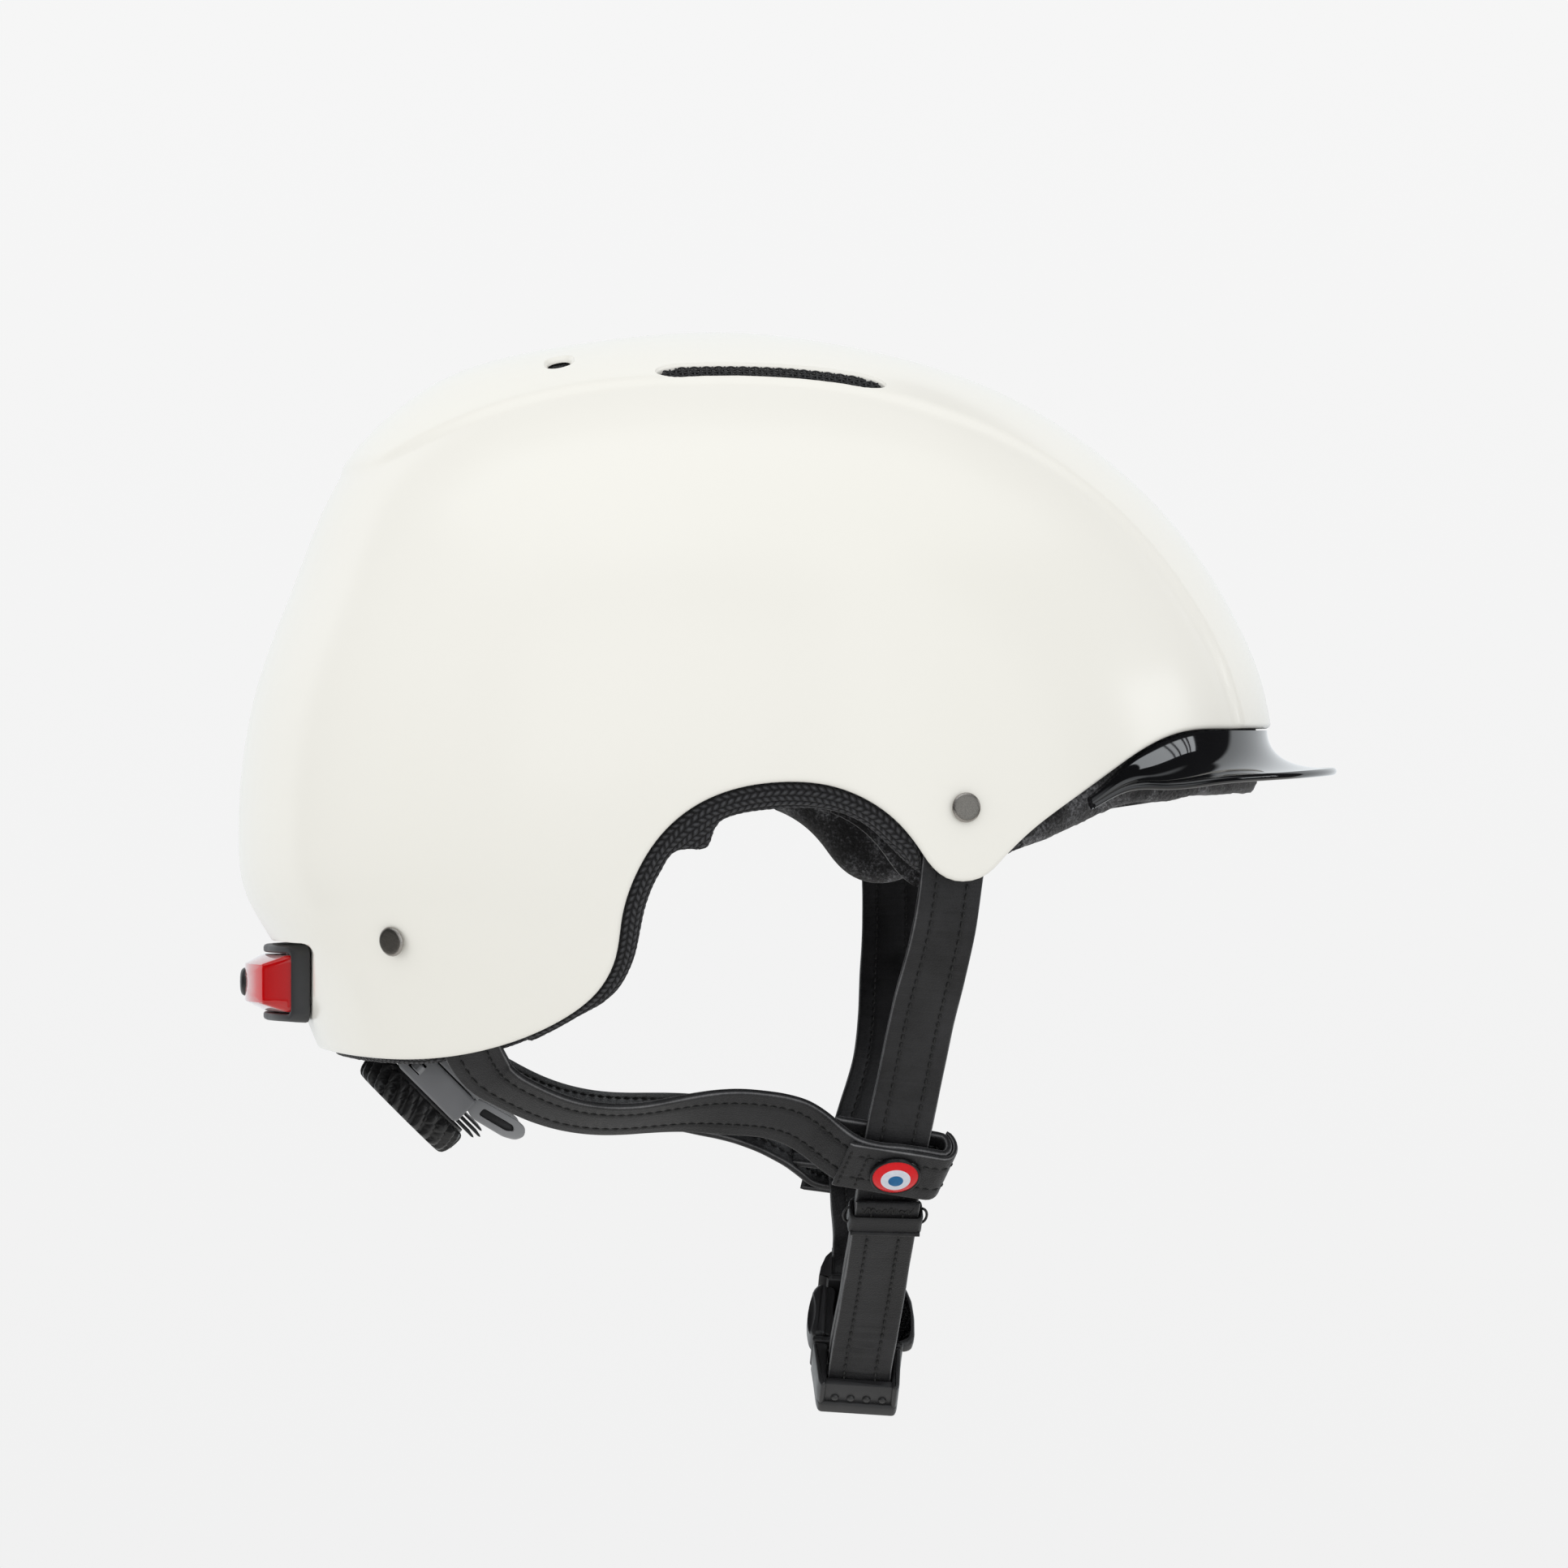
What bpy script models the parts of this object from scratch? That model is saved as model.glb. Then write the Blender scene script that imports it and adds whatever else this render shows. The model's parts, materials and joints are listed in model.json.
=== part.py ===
"""Urban cycling helmet: moulded shell over a foam liner, short gloss visor,
leather-look straps with a side-release buckle, a dial-tightened nape cradle and
a clip-on rear light.  +Y is the front, +X the wearer's right, +Z up.  Drawn in
millimetres and written to the meshes in metres."""

import math

import bmesh
import bpy
import numpy as np
from mathutils import Vector

MM = 0.001
GAP = 0.3

# ---- shell: half-profiles as (distance, height) pairs, front, rear and side
APEX_Y, APEX_Z, BASE_Z = -12.0, 112.0, -90.0
FRONT = [(16, 109.3), (49, 101), (82, 83.3), (102.5, 64.6), (117, 43.5), (125.2, 25), (127.8, 13), (129, -5), (128, -28), (124, -55), (117, -90)]
REAR = [(-41, 109.7), (-71, 103.8), (-90, 94), (-104.6, 79.5), (-112.5, 65), (-119, 48), (-127.4, 25), (-131.8, 2), (-132.6, -15), (-130.2, -30), (-122.5, -43.5), (-115.8, -59.5), (-110.8, -72), (-106, -90)]
SIDE = [(20, 110.0), (40, 104.6), (56, 97), (72, 84.5), (85, 67), (94, 47), (100, 25), (103, 5), (103.6, -10), (102.2, -28), (98, -48), (91, -68), (82, -90)]
FULLNESS = 0.036
SHELL_T = 2.5
# lower edge of the shell in side view, front centre to rear centre
EDGE = [(127.8, 14), (112, 13.7), (98.5, 12.8), (91.5, 10.6), (85.4, 7.5), (78.4, 3.0), (71.7, -1.5), (63, -7.4), (57.9, -11.2), (54, -14.6), (50.1, -18.5), (46.7, -21.8), (43.8, -23.2), (41, -23.6), (38, -23.1), (35, -21.2), (31, -16), (25, -9), (16, -3), (8, -0.3), (-3, 0.5), (-14, -1), (-24, -5), (-33, -12.5), (-39, -22), (-42.5, -33), (-44, -43), (-47.5, -50), (-55, -56.5), (-66, -62), (-80, -66), (-95, -67.5), (-106, -67.2), (-111.5, -66.8)]
# how far the fabric rim shows below that edge, at fractions of its length
RIM_SHOW = [(0.0, 17.0), (0.05, 17.2), (0.10, 17.6), (0.1175, 17.4), (0.137, 16.2), (0.157, 13.8), (0.176, 11.6), (0.195, 9.8), (0.216, 8.3), (0.235, 7.1), (0.26, 5.6), (0.285, 2.6), (0.31, 0.9), (0.335, 0.9), (0.365, 3.8), (0.43, 5.6), (0.50, 7.0), (0.565, 6.8), (0.64, 4.6), (0.71, 4.0), (0.80, 1.8), (1.0, 1.0)]
LINER_OFF, LINER_THIN, LINER_THICK = 4.0, 11.0, 16.5
RIM_BACK, LINER_BACK = 2.7, 3.2
PAD_GAP = 1.2

# ---- vents
VENT_X, VENT_Y0, VENT_Y1, VENT_W = 50.0, -30.0, 26.0, 5.2
REAR_VENT = (36.0, -53.2, 9.0, 6.6)

# ---- straps
STRAP_W, STRAP_T = 16.0, 2.2
FRONT_RIVET, REAR_RIVET = (41.0, -6.8), (-95.0, -38.9)
RIVET_R, RIVET_SHANK_R, HOLE_R = 3.6, 1.5, 1.8
JUNCTION_R, JUNCTION_L = (50.0, 27.6, -96.9), (-50.0, 29.0, -105.0)
CAP_R = 5.7
KEEPER_AT, KEEPER_L = 17.5, 6.2

# ---- buckle, in its own frame: u across, v up its length, n out of its face
BUCKLE_O, BUCKLE_V, BUCKLE_N = (0.0, 24.0, -156.8), (-0.667, 0.09, 0.74), (0.743, 0.0, 0.669)
BUCKLE_H, BASE_L, BASE_HALF, BUCKLE_L = 5.5, 13.0, 10.0, 42.0
BAR_V, BAR_HALF, TURN_R = 7.2, 1.7, 3.4
ARM_U, ARM_V = 5.6, 13.4

# ---- nape cradle and dial: the dial axis points back and down
DIAL_O, DIAL_TILT = (0.0, -89.7, -81.9), 45.0
DIAL_R, DIAL_T, DIAL_RIBS = 15.5, 5.0, 18
PINION_TEETH, PINION_PITCH_R = 10, 4.0

# ---- rear light
LIGHT_Z, LIGHT_HALF_X, LIGHT_HALF_Z = -50.8, 22.0, 9.7


# ------------------------------------------------------------------ helpers
def spline(xs, ys):
    """Natural cubic spline through the points, as a function of x."""
    x, y = np.asarray(xs, float), np.asarray(ys, float)
    n, h = len(x), np.diff(x)
    a, r = np.zeros((n, n)), np.zeros(n)
    a[0, 0] = a[-1, -1] = 1.0
    for i in range(1, n - 1):
        a[i, i - 1], a[i, i], a[i, i + 1] = h[i - 1], 2 * (h[i - 1] + h[i]), h[i]
        r[i] = 6 * ((y[i + 1] - y[i]) / h[i] - (y[i] - y[i - 1]) / h[i - 1])
    m = np.linalg.solve(a, r)

    def at(q):
        q = np.asarray(q, float)
        i = np.clip(np.searchsorted(x, q) - 1, 0, n - 2)
        d0, d1 = q - x[i], x[i + 1] - q
        return (m[i] * d1**3 + m[i + 1] * d0**3) / (6 * h[i]) + (y[i] / h[i] - m[i] * h[i] / 6) * d1 + (y[i + 1] / h[i] - m[i + 1] * h[i] / 6) * d0

    return at


def unit(v):
    v = np.asarray(v, float)
    return v / np.linalg.norm(v, axis=-1, keepdims=True)


def smooth(x, lo, hi):
    q = np.clip((np.asarray(x, float) - lo) / (hi - lo), 0, 1)
    return q * q * (3 - 2 * q)


def through(points, count):
    """Points at even spacing on a smooth curve through the given ones."""
    p = np.asarray(points, float)
    s = np.concatenate([[0], np.cumsum(np.linalg.norm(np.diff(p, axis=0), axis=1))])
    fine = np.linspace(0, s[-1], 400)
    q = np.stack([spline(s, p[:, k])(fine) for k in range(p.shape[1])], 1)
    w = np.concatenate([[0], np.cumsum(np.linalg.norm(np.diff(q, axis=0), axis=1))])
    at = np.linspace(0, w[-1], count)
    return np.stack([np.interp(at, w, q[:, k]) for k in range(p.shape[1])], 1)


# ------------------------------------------------------------ shell surface
def z_of(t):
    return APEX_Z - (APEX_Z - BASE_Z) * (1 - np.cos(np.asarray(t, float) * math.pi / 2))


def t_of(z):
    return np.arccos(np.clip(1 - (APEX_Z - np.asarray(z, float)) / (APEX_Z - BASE_Z), -1, 1)) * 2 / math.pi


_ft, _rt, _st = (t_of([p[1] for p in c]) for c in (FRONT, REAR, SIDE))
_fore_aft = spline(np.concatenate([-_rt[::-1], [0], _ft]), [p[0] for p in REAR[::-1]] + [APEX_Y] + [p[0] for p in FRONT])
_half = spline(np.concatenate([-_st[::-1], [0], _st]), [-p[0] for p in SIDE[::-1]] + [0] + [p[0] for p in SIDE])


def skin(theta, t):
    """A point of the shell's outer surface: theta 90 degrees is the front, t runs from 0 at the crown."""
    theta, t = np.broadcast_arrays(np.asarray(theta, float), np.asarray(t, float))
    fore, aft = _fore_aft(t) - APEX_Y, APEX_Y - _fore_aft(-t)
    s, c = np.sin(theta), np.cos(theta)
    full = 1 + FULLNESS * np.sin(2 * theta) ** 2
    y = APEX_Y + ((fore + aft) / 2 * s + (fore - aft) / 2 * s * s) * full
    return np.stack([_half(t) * c * full, y, z_of(t)], -1)


def skin_normal(theta, t):
    e = 1e-4
    t = np.maximum(np.asarray(t, float), 2e-3)
    n = np.cross(skin(theta, t + e) - skin(theta, t - e), skin(theta + e, t) - skin(theta - e, t))
    n = unit(n)
    flip = np.sum(n * (skin(theta, t) - np.array([0, APEX_Y, 0])), -1) < 0
    n[flip] *= -1
    return n


def inset(theta, t, depth):
    theta, t = np.broadcast_arrays(np.asarray(theta, float), np.asarray(t, float))
    return skin(theta, t) - skin_normal(theta, t) * np.asarray(depth, float)[..., None]


def theta_of(y, t):
    """The right-hand theta at which the ring t passes y."""
    y, t = np.broadcast_arrays(np.asarray(y, float), np.asarray(t, float))
    lo, hi = np.full(y.shape, -math.pi / 2), np.full(y.shape, math.pi / 2)
    for _ in range(44):
        mid = (lo + hi) / 2
        below = skin(mid, t)[..., 1] < y
        lo, hi = np.where(below, mid, lo), np.where(below, hi, mid)
    return (lo + hi) / 2


def side_point(y, z, depth=0.0, left=False):
    """(point, outward normal) of the shell at a place given in side view."""
    t = np.array([t_of(z)])
    th = theta_of(np.array([y]), t)
    p, n = inset(th, t, np.array([depth]))[0], skin_normal(th, t)[0]
    if left:
        p, n = p * [-1, 1, 1], n * [-1, 1, 1]
    return p, n


def rear_y(x, z, depth=0.0):
    """The shell's rear surface at (x, z), moved back by -depth."""
    x, z = np.broadcast_arrays(np.asarray(x, float), np.asarray(z, float))
    t = t_of(z)
    lo, hi = np.full(x.shape, -math.pi / 2), np.zeros(x.shape)
    for _ in range(44):
        mid = (lo + hi) / 2
        inside = skin(mid, t)[..., 0] < np.abs(x)
        lo, hi = np.where(inside, mid, lo), np.where(inside, hi, mid)
    return skin((lo + hi) / 2, t)[..., 1] + depth


def liner_depth(z):
    return LINER_OFF + LINER_THIN + (LINER_THICK - LINER_THIN) * smooth(z, -35, 55)


def edge_half(offset, count):
    """(theta, t) along the right half of the lower edge, moved out by offset(fraction)."""
    p = through(EDGE, 500)
    d = np.gradient(p, axis=0)
    out = unit(np.stack([d[:, 1], -d[:, 0]], 1)) * [-1, -1]
    out[out[:, 1] > 0] *= np.where(np.abs(out[out[:, 1] > 0][:, :1]) > 0.94, 1, -1)
    f = np.linspace(0, 1, 500)
    p = p + out * offset(f)[:, None]
    t = t_of(p[:, 1])
    th = theta_of(p[:, 0], t)
    th[0], th[-1] = math.pi / 2, -math.pi / 2
    q = skin(th, t)
    w = np.concatenate([[0], np.cumsum(np.linalg.norm(np.diff(q, axis=0), axis=1))])
    at = np.linspace(0, w[-1], count)
    return np.interp(at, w, th), np.interp(at, w, t), np.interp(at, w, f)


def edge_loop(offset, count):
    th, t, f = edge_half(offset, count)
    return (np.concatenate([th, math.pi - th[-2:0:-1]]), np.concatenate([t, t[-2:0:-1]]), np.concatenate([f, f[-2:0:-1]]))


rim_show = spline([p[0] for p in RIM_SHOW], [p[1] for p in RIM_SHOW])

# ------------------------------------------------------------ object helpers
for old in list(bpy.data.objects):
    bpy.data.objects.remove(old, do_unlink=True)

helmet = bpy.data.objects.new("helmet", None)
bpy.context.scene.collection.objects.link(helmet)


def colour(name, rgb, roughness, metallic=0.0, alpha=1.0):
    m = bpy.data.materials.new(name)
    m.use_nodes = True
    b = m.node_tree.nodes["Principled BSDF"]
    b.inputs["Base Color"].default_value = (*rgb, 1)
    b.inputs["Roughness"].default_value = roughness
    b.inputs["Metallic"].default_value = metallic
    b.inputs["Alpha"].default_value = alpha
    return m


CREAM = colour("cream_gloss", (0.86, 0.84, 0.76), 0.15)
FOAM = colour("black_foam", (0.03, 0.03, 0.032), 0.8)
KNIT = colour("black_knit", (0.018, 0.018, 0.02), 0.9)
VELOUR = colour("black_velour", (0.012, 0.012, 0.013), 0.95)
GLOSS = colour("black_gloss", (0.006, 0.006, 0.007), 0.08)
LEATHER = colour("black_leather", (0.02, 0.02, 0.02), 0.5)
GUNMETAL = colour("gunmetal", (0.19, 0.17, 0.15), 0.4, 1.0)
MATTE = colour("black_matte", (0.02, 0.02, 0.021), 0.45)
GREY = colour("grey_plastic", (0.09, 0.09, 0.095), 0.4)
GRIP = colour("black_rubber", (0.014, 0.014, 0.015), 0.7)
RED = colour("red_lens", (0.6, 0.008, 0.01), 0.08, 0.0, 0.8)
GREEN = colour("green_board", (0.02, 0.12, 0.05), 0.5)
STEEL = colour("steel", (0.6, 0.6, 0.6), 0.3, 1.0)
ENAMEL = colour("enamel_cap", (0.7, 0.03, 0.03), 0.12)


def make(name, points, faces, material, pivot=(0, 0, 0), parent=None, cutter=False):
    """A closed mesh from points in millimetres, with its object's origin at pivot."""
    mesh = bpy.data.meshes.new(name)
    pivot = np.asarray(pivot, float)
    mesh.from_pydata([tuple((np.asarray(p) - pivot) * MM) for p in points], [], [tuple(int(i) for i in f) for f in faces])
    bm = bmesh.new()
    bm.from_mesh(mesh)
    bmesh.ops.remove_doubles(bm, verts=bm.verts, dist=1e-7)
    bmesh.ops.recalc_face_normals(bm, faces=bm.faces)
    if bm.calc_volume(signed=True) < 0:
        bmesh.ops.reverse_faces(bm, faces=bm.faces)
    bm.to_mesh(mesh)
    bm.free()
    obj = bpy.data.objects.new(name, mesh)
    bpy.context.scene.collection.objects.link(obj)
    obj.location = Vector(pivot * MM)
    if cutter:
        obj.hide_render, obj.display_type = True, "WIRE"
    else:
        mesh.materials.append(material)
        mesh.shade_smooth()
        mesh.set_sharp_from_angle(angle=math.radians(35))
        obj.parent = parent or helmet
        if parent is not None:
            obj.location = Vector(pivot * MM) - parent.location
    return obj


def pivot_empty(name, at):
    e = bpy.data.objects.new(name, None)
    bpy.context.scene.collection.objects.link(e)
    e.location = Vector(np.asarray(at, float) * MM)
    e.parent = helmet
    return e


def cut(obj, *cutters):
    for c in cutters:
        m = obj.modifiers.new("cut_" + c.name, "BOOLEAN")
        m.operation, m.object, m.solver = "DIFFERENCE", c, "EXACT"


def ring_faces(rows, count, closed=True):
    """Quads between rows of count points, each row a closed ring."""
    f = []
    for j in range(rows - 1):
        for i in range(count if closed else count - 1):
            k = (i + 1) % count
            f.append((j * count + i, j * count + k, (j + 1) * count + k, (j + 1) * count + i))
    return f


def dome(name, theta, t, rings, out, inn, rim, material):
    """A bowl between depths out and inn, closed at the crown and round its edge."""
    n = len(theta)
    fr = 1 - np.linspace(0.0, 1.0, rings + 1)[:-1] ** 1.25
    rows = []
    outer = [inset(theta, t * f, np.full(n, out)) for f in fr]
    inner = [inset(theta, t * f, inn(z_of(t * f)) if callable(inn) else np.full(n, inn)) for f in fr]
    rows += outer[::-1]
    edge_o, edge_i = outer[0], inner[0]
    if rim > 0:
        along = np.roll(edge_o, -1, 0) - np.roll(edge_o, 1, 0)
        nrm = skin_normal(theta, t)
        away = unit(np.cross(along, nrm))
        down = skin(theta, t + 1e-3) - skin(theta, t)
        away[np.sum(away * down, 1) < 0] *= -1
        rows.append((edge_o + edge_i) / 2 + away * rim)
    rows += inner
    pts = list(np.concatenate(rows))
    faces = ring_faces(len(rows), n)
    crown_o = inset(np.array([0.0]), np.array([0.0]), np.array([out]))[0]
    depth_i = inn(np.array([APEX_Z]))[0] if callable(inn) else inn
    crown_i = inset(np.array([0.0]), np.array([0.0]), np.array([depth_i]))[0]
    a, b = len(pts), len(pts) + 1
    pts += [crown_o, crown_i]
    last = (len(rows) - 1) * n
    for i in range(n):
        k = (i + 1) % n
        faces += [(a, k, i), (b, last + i, last + k)]
    return make(name, pts, faces, material)


def patch(name, theta, t_low, t_high, rows, depth0, thick, material, edge=0.55):
    """A pad on the liner's inner face: columns at theta, from t_low up to t_high, thinner at its border."""
    n = len(theta)
    q = np.linspace(0, 1, rows)
    back, face = [], []
    for j, r in enumerate(q):
        t = t_low + (t_high - t_low) * r
        d0 = depth0(z_of(t))
        puff = np.full(n, 1.0)
        puff[[0, -1]] = edge
        if j in (0, rows - 1):
            puff *= edge
        back.append(inset(theta, t, d0))
        face.append(inset(theta, t, d0 + thick * puff))
    return slab(name, np.array(back), np.array(face), material)


def slab(name, a, b, material, **kw):
    """A closed solid between two grids of the same size."""
    r, c = a.shape[:2]
    pts = list(a.reshape(-1, 3)) + list(b.reshape(-1, 3))
    o = r * c
    faces = []
    for j in range(r - 1):
        for i in range(c - 1):
            p = (j * c + i, j * c + i + 1, (j + 1) * c + i + 1, (j + 1) * c + i)
            faces += [p[::-1], tuple(o + x for x in p)]
    border = [i for i in range(c)] + [j * c + c - 1 for j in range(1, r)] + [(r - 1) * c + i for i in range(c - 2, -1, -1)] + [j * c for j in range(r - 2, 0, -1)]
    for i, x in enumerate(border):
        y = border[(i + 1) % len(border)]
        faces.append((x, y, o + y, o + x))
    return make(name, pts, faces, material, **kw)


def ribbon(name, centre, across, width, thick, material, **kw):
    """A flat strap along centre, its width along across."""
    c = np.asarray(centre, float)
    tan = unit(np.gradient(c, axis=0))
    w = np.asarray(across, float)
    w = unit(w - np.sum(w * tan, 1, keepdims=True) * tan)
    n = np.cross(tan, w)
    rows = []
    for p, ww, nn in zip(c, w, n):
        rows.append([p + ww * width / 2 + nn * thick / 2, p - ww * width / 2 + nn * thick / 2, p - ww * width / 2 - nn * thick / 2, p + ww * width / 2 - nn * thick / 2])
    k = len(rows)
    faces = ring_faces(k, 4) + [(3, 2, 1, 0), tuple(4 * (k - 1) + i for i in range(4))]
    return make(name, np.concatenate(rows), faces, material, **kw)


def basis(axis, hint=(0, 0, 1)):
    w = unit(np.asarray(axis, float))
    u = np.cross(np.asarray(hint, float), w)
    if np.linalg.norm(u) < 1e-6:
        u = np.cross([0, 1.0, 0], w)
    u = unit(u)
    return u, np.cross(w, u), w


def turned(name, origin, axis, profile, sides, material, **kw):
    """A solid of revolution: profile is (radius, height along axis) from the axis out and back to it, or a closed ring."""
    u, v, w = basis(axis)
    o = np.asarray(origin, float)
    pts, rows = [], []
    for r, h in profile:
        if r < 1e-6:
            rows.append([len(pts)])
            pts.append(o + w * h)
        else:
            rows.append(list(range(len(pts), len(pts) + sides)))
            for i in range(sides):
                a = 2 * math.pi * i / sides
                pts.append(o + w * h + (u * math.cos(a) + v * math.sin(a)) * r)
    pairs = list(zip(rows, rows[1:]))
    if len(rows[0]) > 1:
        pairs.append((rows[-1], rows[0]))
    faces = []
    for a, b in pairs:
        for i in range(sides):
            k = (i + 1) % sides
            if len(a) == 1 and len(b) == 1:
                continue
            if len(a) == 1:
                faces.append((a[0], b[i], b[k]))
            elif len(b) == 1:
                faces.append((a[i], a[k], b[0]))
            else:
                faces.append((a[i], a[k], b[k], b[i]))
    return make(name, pts, faces, material, **kw)


def rod(name, origin, axis, r, h0, h1, sides=16):
    return turned(name, origin, axis, [(0, h0), (r, h0), (r, h1), (0, h1)], sides, None, cutter=True)


def prism(name, frame, outline, w0, w1, material, bevel=0.0, **kw):
    """A 2D outline in the frame's first two axes, pulled between w0 and w1 on its third."""
    o, e1, e2, e3 = (np.asarray(x, float) for x in frame)
    k = len(outline)
    pts = [o + e1 * a + e2 * b + e3 * w0 for a, b in outline] + [o + e1 * a + e2 * b + e3 * w1 for a, b in outline]
    faces = [tuple(range(k))[::-1], tuple(range(k, 2 * k))] + [(i, (i + 1) % k, k + (i + 1) % k, k + i) for i in range(k)]
    obj = make(name, pts, faces, material, **kw)
    if bevel:
        m = obj.modifiers.new("soft_edges", "BEVEL")
        m.width, m.segments, m.limit_method = bevel * MM, 1, "ANGLE"
        m.angle_limit = math.radians(40)
    return obj


def box2(a0, b0, a1, b1):
    return [(a0, b0), (a1, b0), (a1, b1), (a0, b1)]


def slot2(x, y, half_x, half_y, seg=5):
    """A round-ended slot along the longer half."""
    r, out = min(half_x, half_y), []
    dx, dy = half_x - r, half_y - r
    for cx, cy, a0 in ((dx, dy, 0), (-dx, dy, 90), (-dx, -dy, 180), (dx, -dy, 270)):
        for i in range(seg + 1):
            a = math.radians(a0 + 90 * i / seg)
            p = (x + cx + r * math.cos(a), y + cy + r * math.sin(a))
            if not out or math.dist(p, out[-1]) > 1e-3:
                out.append(p)
    return out if math.dist(out[0], out[-1]) > 1e-3 else out[:-1]


WORLD = ((0, 0, 0), (1, 0, 0), (0, 1, 0), (0, 0, 1))

# --------------------------------------------------------- shell, liner, rim
COLS = 30
th, t, f = edge_loop(lambda q: 0 * q, COLS)
shell = dome("outer_shell", th, t, 10, 0.0, SHELL_T, SHELL_T * 0.45, CREAM)
th, t, f = edge_loop(lambda q: 0 * q - LINER_BACK, COLS)
liner = dome("eps_liner", th, t, 9, LINER_OFF, liner_depth, 0.0, FOAM)
th, t, f = edge_loop(lambda q: 0 * q - RIM_BACK, COLS)
h_th, h_t, h_f = edge_half(rim_show, 400)
th2, t2 = np.interp(f[:COLS], h_f, h_th), np.interp(f[:COLS], h_f, h_t)
th2, t2 = np.concatenate([th2, math.pi - th2[-2:0:-1]]), np.concatenate([t2, t2[-2:0:-1]])
rows = [
    inset(th, t, np.full(len(th), LINER_OFF)),
    inset(th2, t2, np.full(len(th), LINER_OFF)),
    inset(th2, t2, liner_depth(z_of(t2)) - 3.0),
    inset(th, t, liner_depth(z_of(t))),
]
n = len(th)
trim = make("edge_trim", np.concatenate(rows), ring_faces(4, n) + [(3 * n + i, 3 * n + (i + 1) % n, (i + 1) % n, i) for i in range(n)], KNIT)

# vents: slots through the shell, wider channels through the liner, a mesh in each
for side, s in (("right", 1), ("left", -1)):
    vx, vy, hx, hy = VENT_X * s, (VENT_Y0 + VENT_Y1) / 2, VENT_W / 2, (VENT_Y1 - VENT_Y0) / 2
    cut(shell, prism("cut_vent_" + side, WORLD, slot2(vx, vy, hx, hy), 80, 125, None, cutter=True))
    cut(liner, prism("cut_duct_" + side, WORLD, slot2(vx, vy, hx + 2.6, hy + 2.6), 60, 125, None, cutter=True))
    ys = np.linspace(vy - hy - 0.6, vy + hy + 0.6, 9)
    xs = np.linspace(VENT_X - hx - 0.8, VENT_X + hx + 0.8, 3)

    def under(x, y, depth):
        """Height of the surface depth below the shell's skin, over (x, y)."""
        lo, hi = 40.0, APEX_Z - 1e-6
        for _ in range(50):
            z = (lo + hi) / 2
            tt = np.array([t_of(z)])
            p = inset(theta_of(np.array([y]), tt), tt, np.array([depth]))[0]
            lo, hi = (z, hi) if p[0] > abs(x) else (lo, z)
        return p[2]

    for label, X, Y in (("vent_mesh_", xs, ys), ("rear_vent_mesh_", np.linspace(REAR_VENT[0] - 5.6, REAR_VENT[0] + 5.6, 4), np.linspace(REAR_VENT[1] - 4.4, REAR_VENT[1] + 4.4, 4))):
        top = np.array([[(x * s, y, under(x, y, 4.2)) for x in X] for y in Y])
        slab(label + side, top, top - [0, 0, 0.8], KNIT)
    rx, ry, rw, rl = REAR_VENT
    cut(shell, prism("cut_rear_vent_" + side, WORLD, slot2(rx * s, ry, rw / 2, rl / 2), 80, 125, None, cutter=True))
    cut(liner, prism("cut_rear_duct_" + side, WORLD, slot2(rx * s, ry, rw / 2 + 3.0, rl / 2 + 3.0), 60, 125, None, cutter=True))

# -------------------------------------------------------------------- visor
VISOR_END = 0.205  # fraction of the edge where each arm of the visor ends
VISOR = [(0, 9.5, 16.6), (0.04, 10.2, 15.2), (0.078, 10.9, 12.0), (0.099, 10.9, 9.6), (0.1175, 10.4, 7.2), (0.137, 8.6, 5.0), (0.157, 5.6, 3.4), (0.176, 3.2, 2.2), (0.205, 1.8, 1.0)]  # fraction, drop, reach
vis_n = 31
ev_th, ev_t, ev_f = edge_half(lambda q: SHELL_T * 0.45 + GAP + 0.25 + 1.4 * smooth(q, 0.145, 0.205), 400)
fr = np.linspace(-1, 1, vis_n) * VISOR_END
a_th = np.where(fr >= 0, np.interp(np.abs(fr), ev_f, ev_th), math.pi - np.interp(np.abs(fr), ev_f, ev_th))
a_t = np.interp(np.abs(fr), ev_f, ev_t)
top = inset(a_th, a_t, np.full(vis_n, 0.6))
out_n = skin_normal(a_th, a_t) * [1, 1, 0]
out_n = unit(out_n)
drop = spline([v[0] for v in VISOR], [v[1] for v in VISOR])(np.abs(fr))
reach = spline([v[0] for v in VISOR], [v[2] for v in VISOR])(np.abs(fr))
grid = []
for q in np.linspace(0, 1, 6):
    hang = 1 - (1 - q) ** 2.1
    throw = q**1.9
    grid.append(top + out_n * (reach * throw)[:, None] - np.array([0, 0, 1.0]) * (drop * hang)[:, None])
grid = np.array(grid)
under_side = grid - out_n[None] * 2.0 * np.linspace(1, 0.25, 6)[:, None, None] - np.array([0, 0, 1.0]) * (1.7 * np.linspace(0, 1, 6))[:, None, None]
slab("visor", grid, under_side, GLOSS)

# --------------------------------------------------------------------- pads
inner_face = lambda z: liner_depth(z) + PAD_GAP
bt = np.radians(np.linspace(29, 151, 17))
low = spline([-70, -50, -30, 0, 30, 50, 70], [-15.5, -8.5, -4.5, -0.8, -4.5, -8.5, -15.5])(np.degrees(bt) - 90)
patch("brow_pad", bt, t_of(low), np.full(17, t_of(30.0)), 5, inner_face, 7.5, VELOUR)
for side, left in (("right", False), ("left", True)):
    e_th, e_t, e_f = edge_half(lambda q: 0 * q + 6.4, 400)
    ff = np.linspace(0.25, 0.455, 11)
    p_th, p_t = np.interp(ff, e_f, e_th), np.interp(ff, e_f, e_t)
    keep = p_th < math.radians(27.4)
    p_th, p_t = p_th[keep], p_t[keep]
    patch("temple_pad_" + side, math.pi - p_th if left else p_th, p_t, np.full(len(p_th), t_of(24.0)), 4, inner_face, 6.5, VELOUR)
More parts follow.
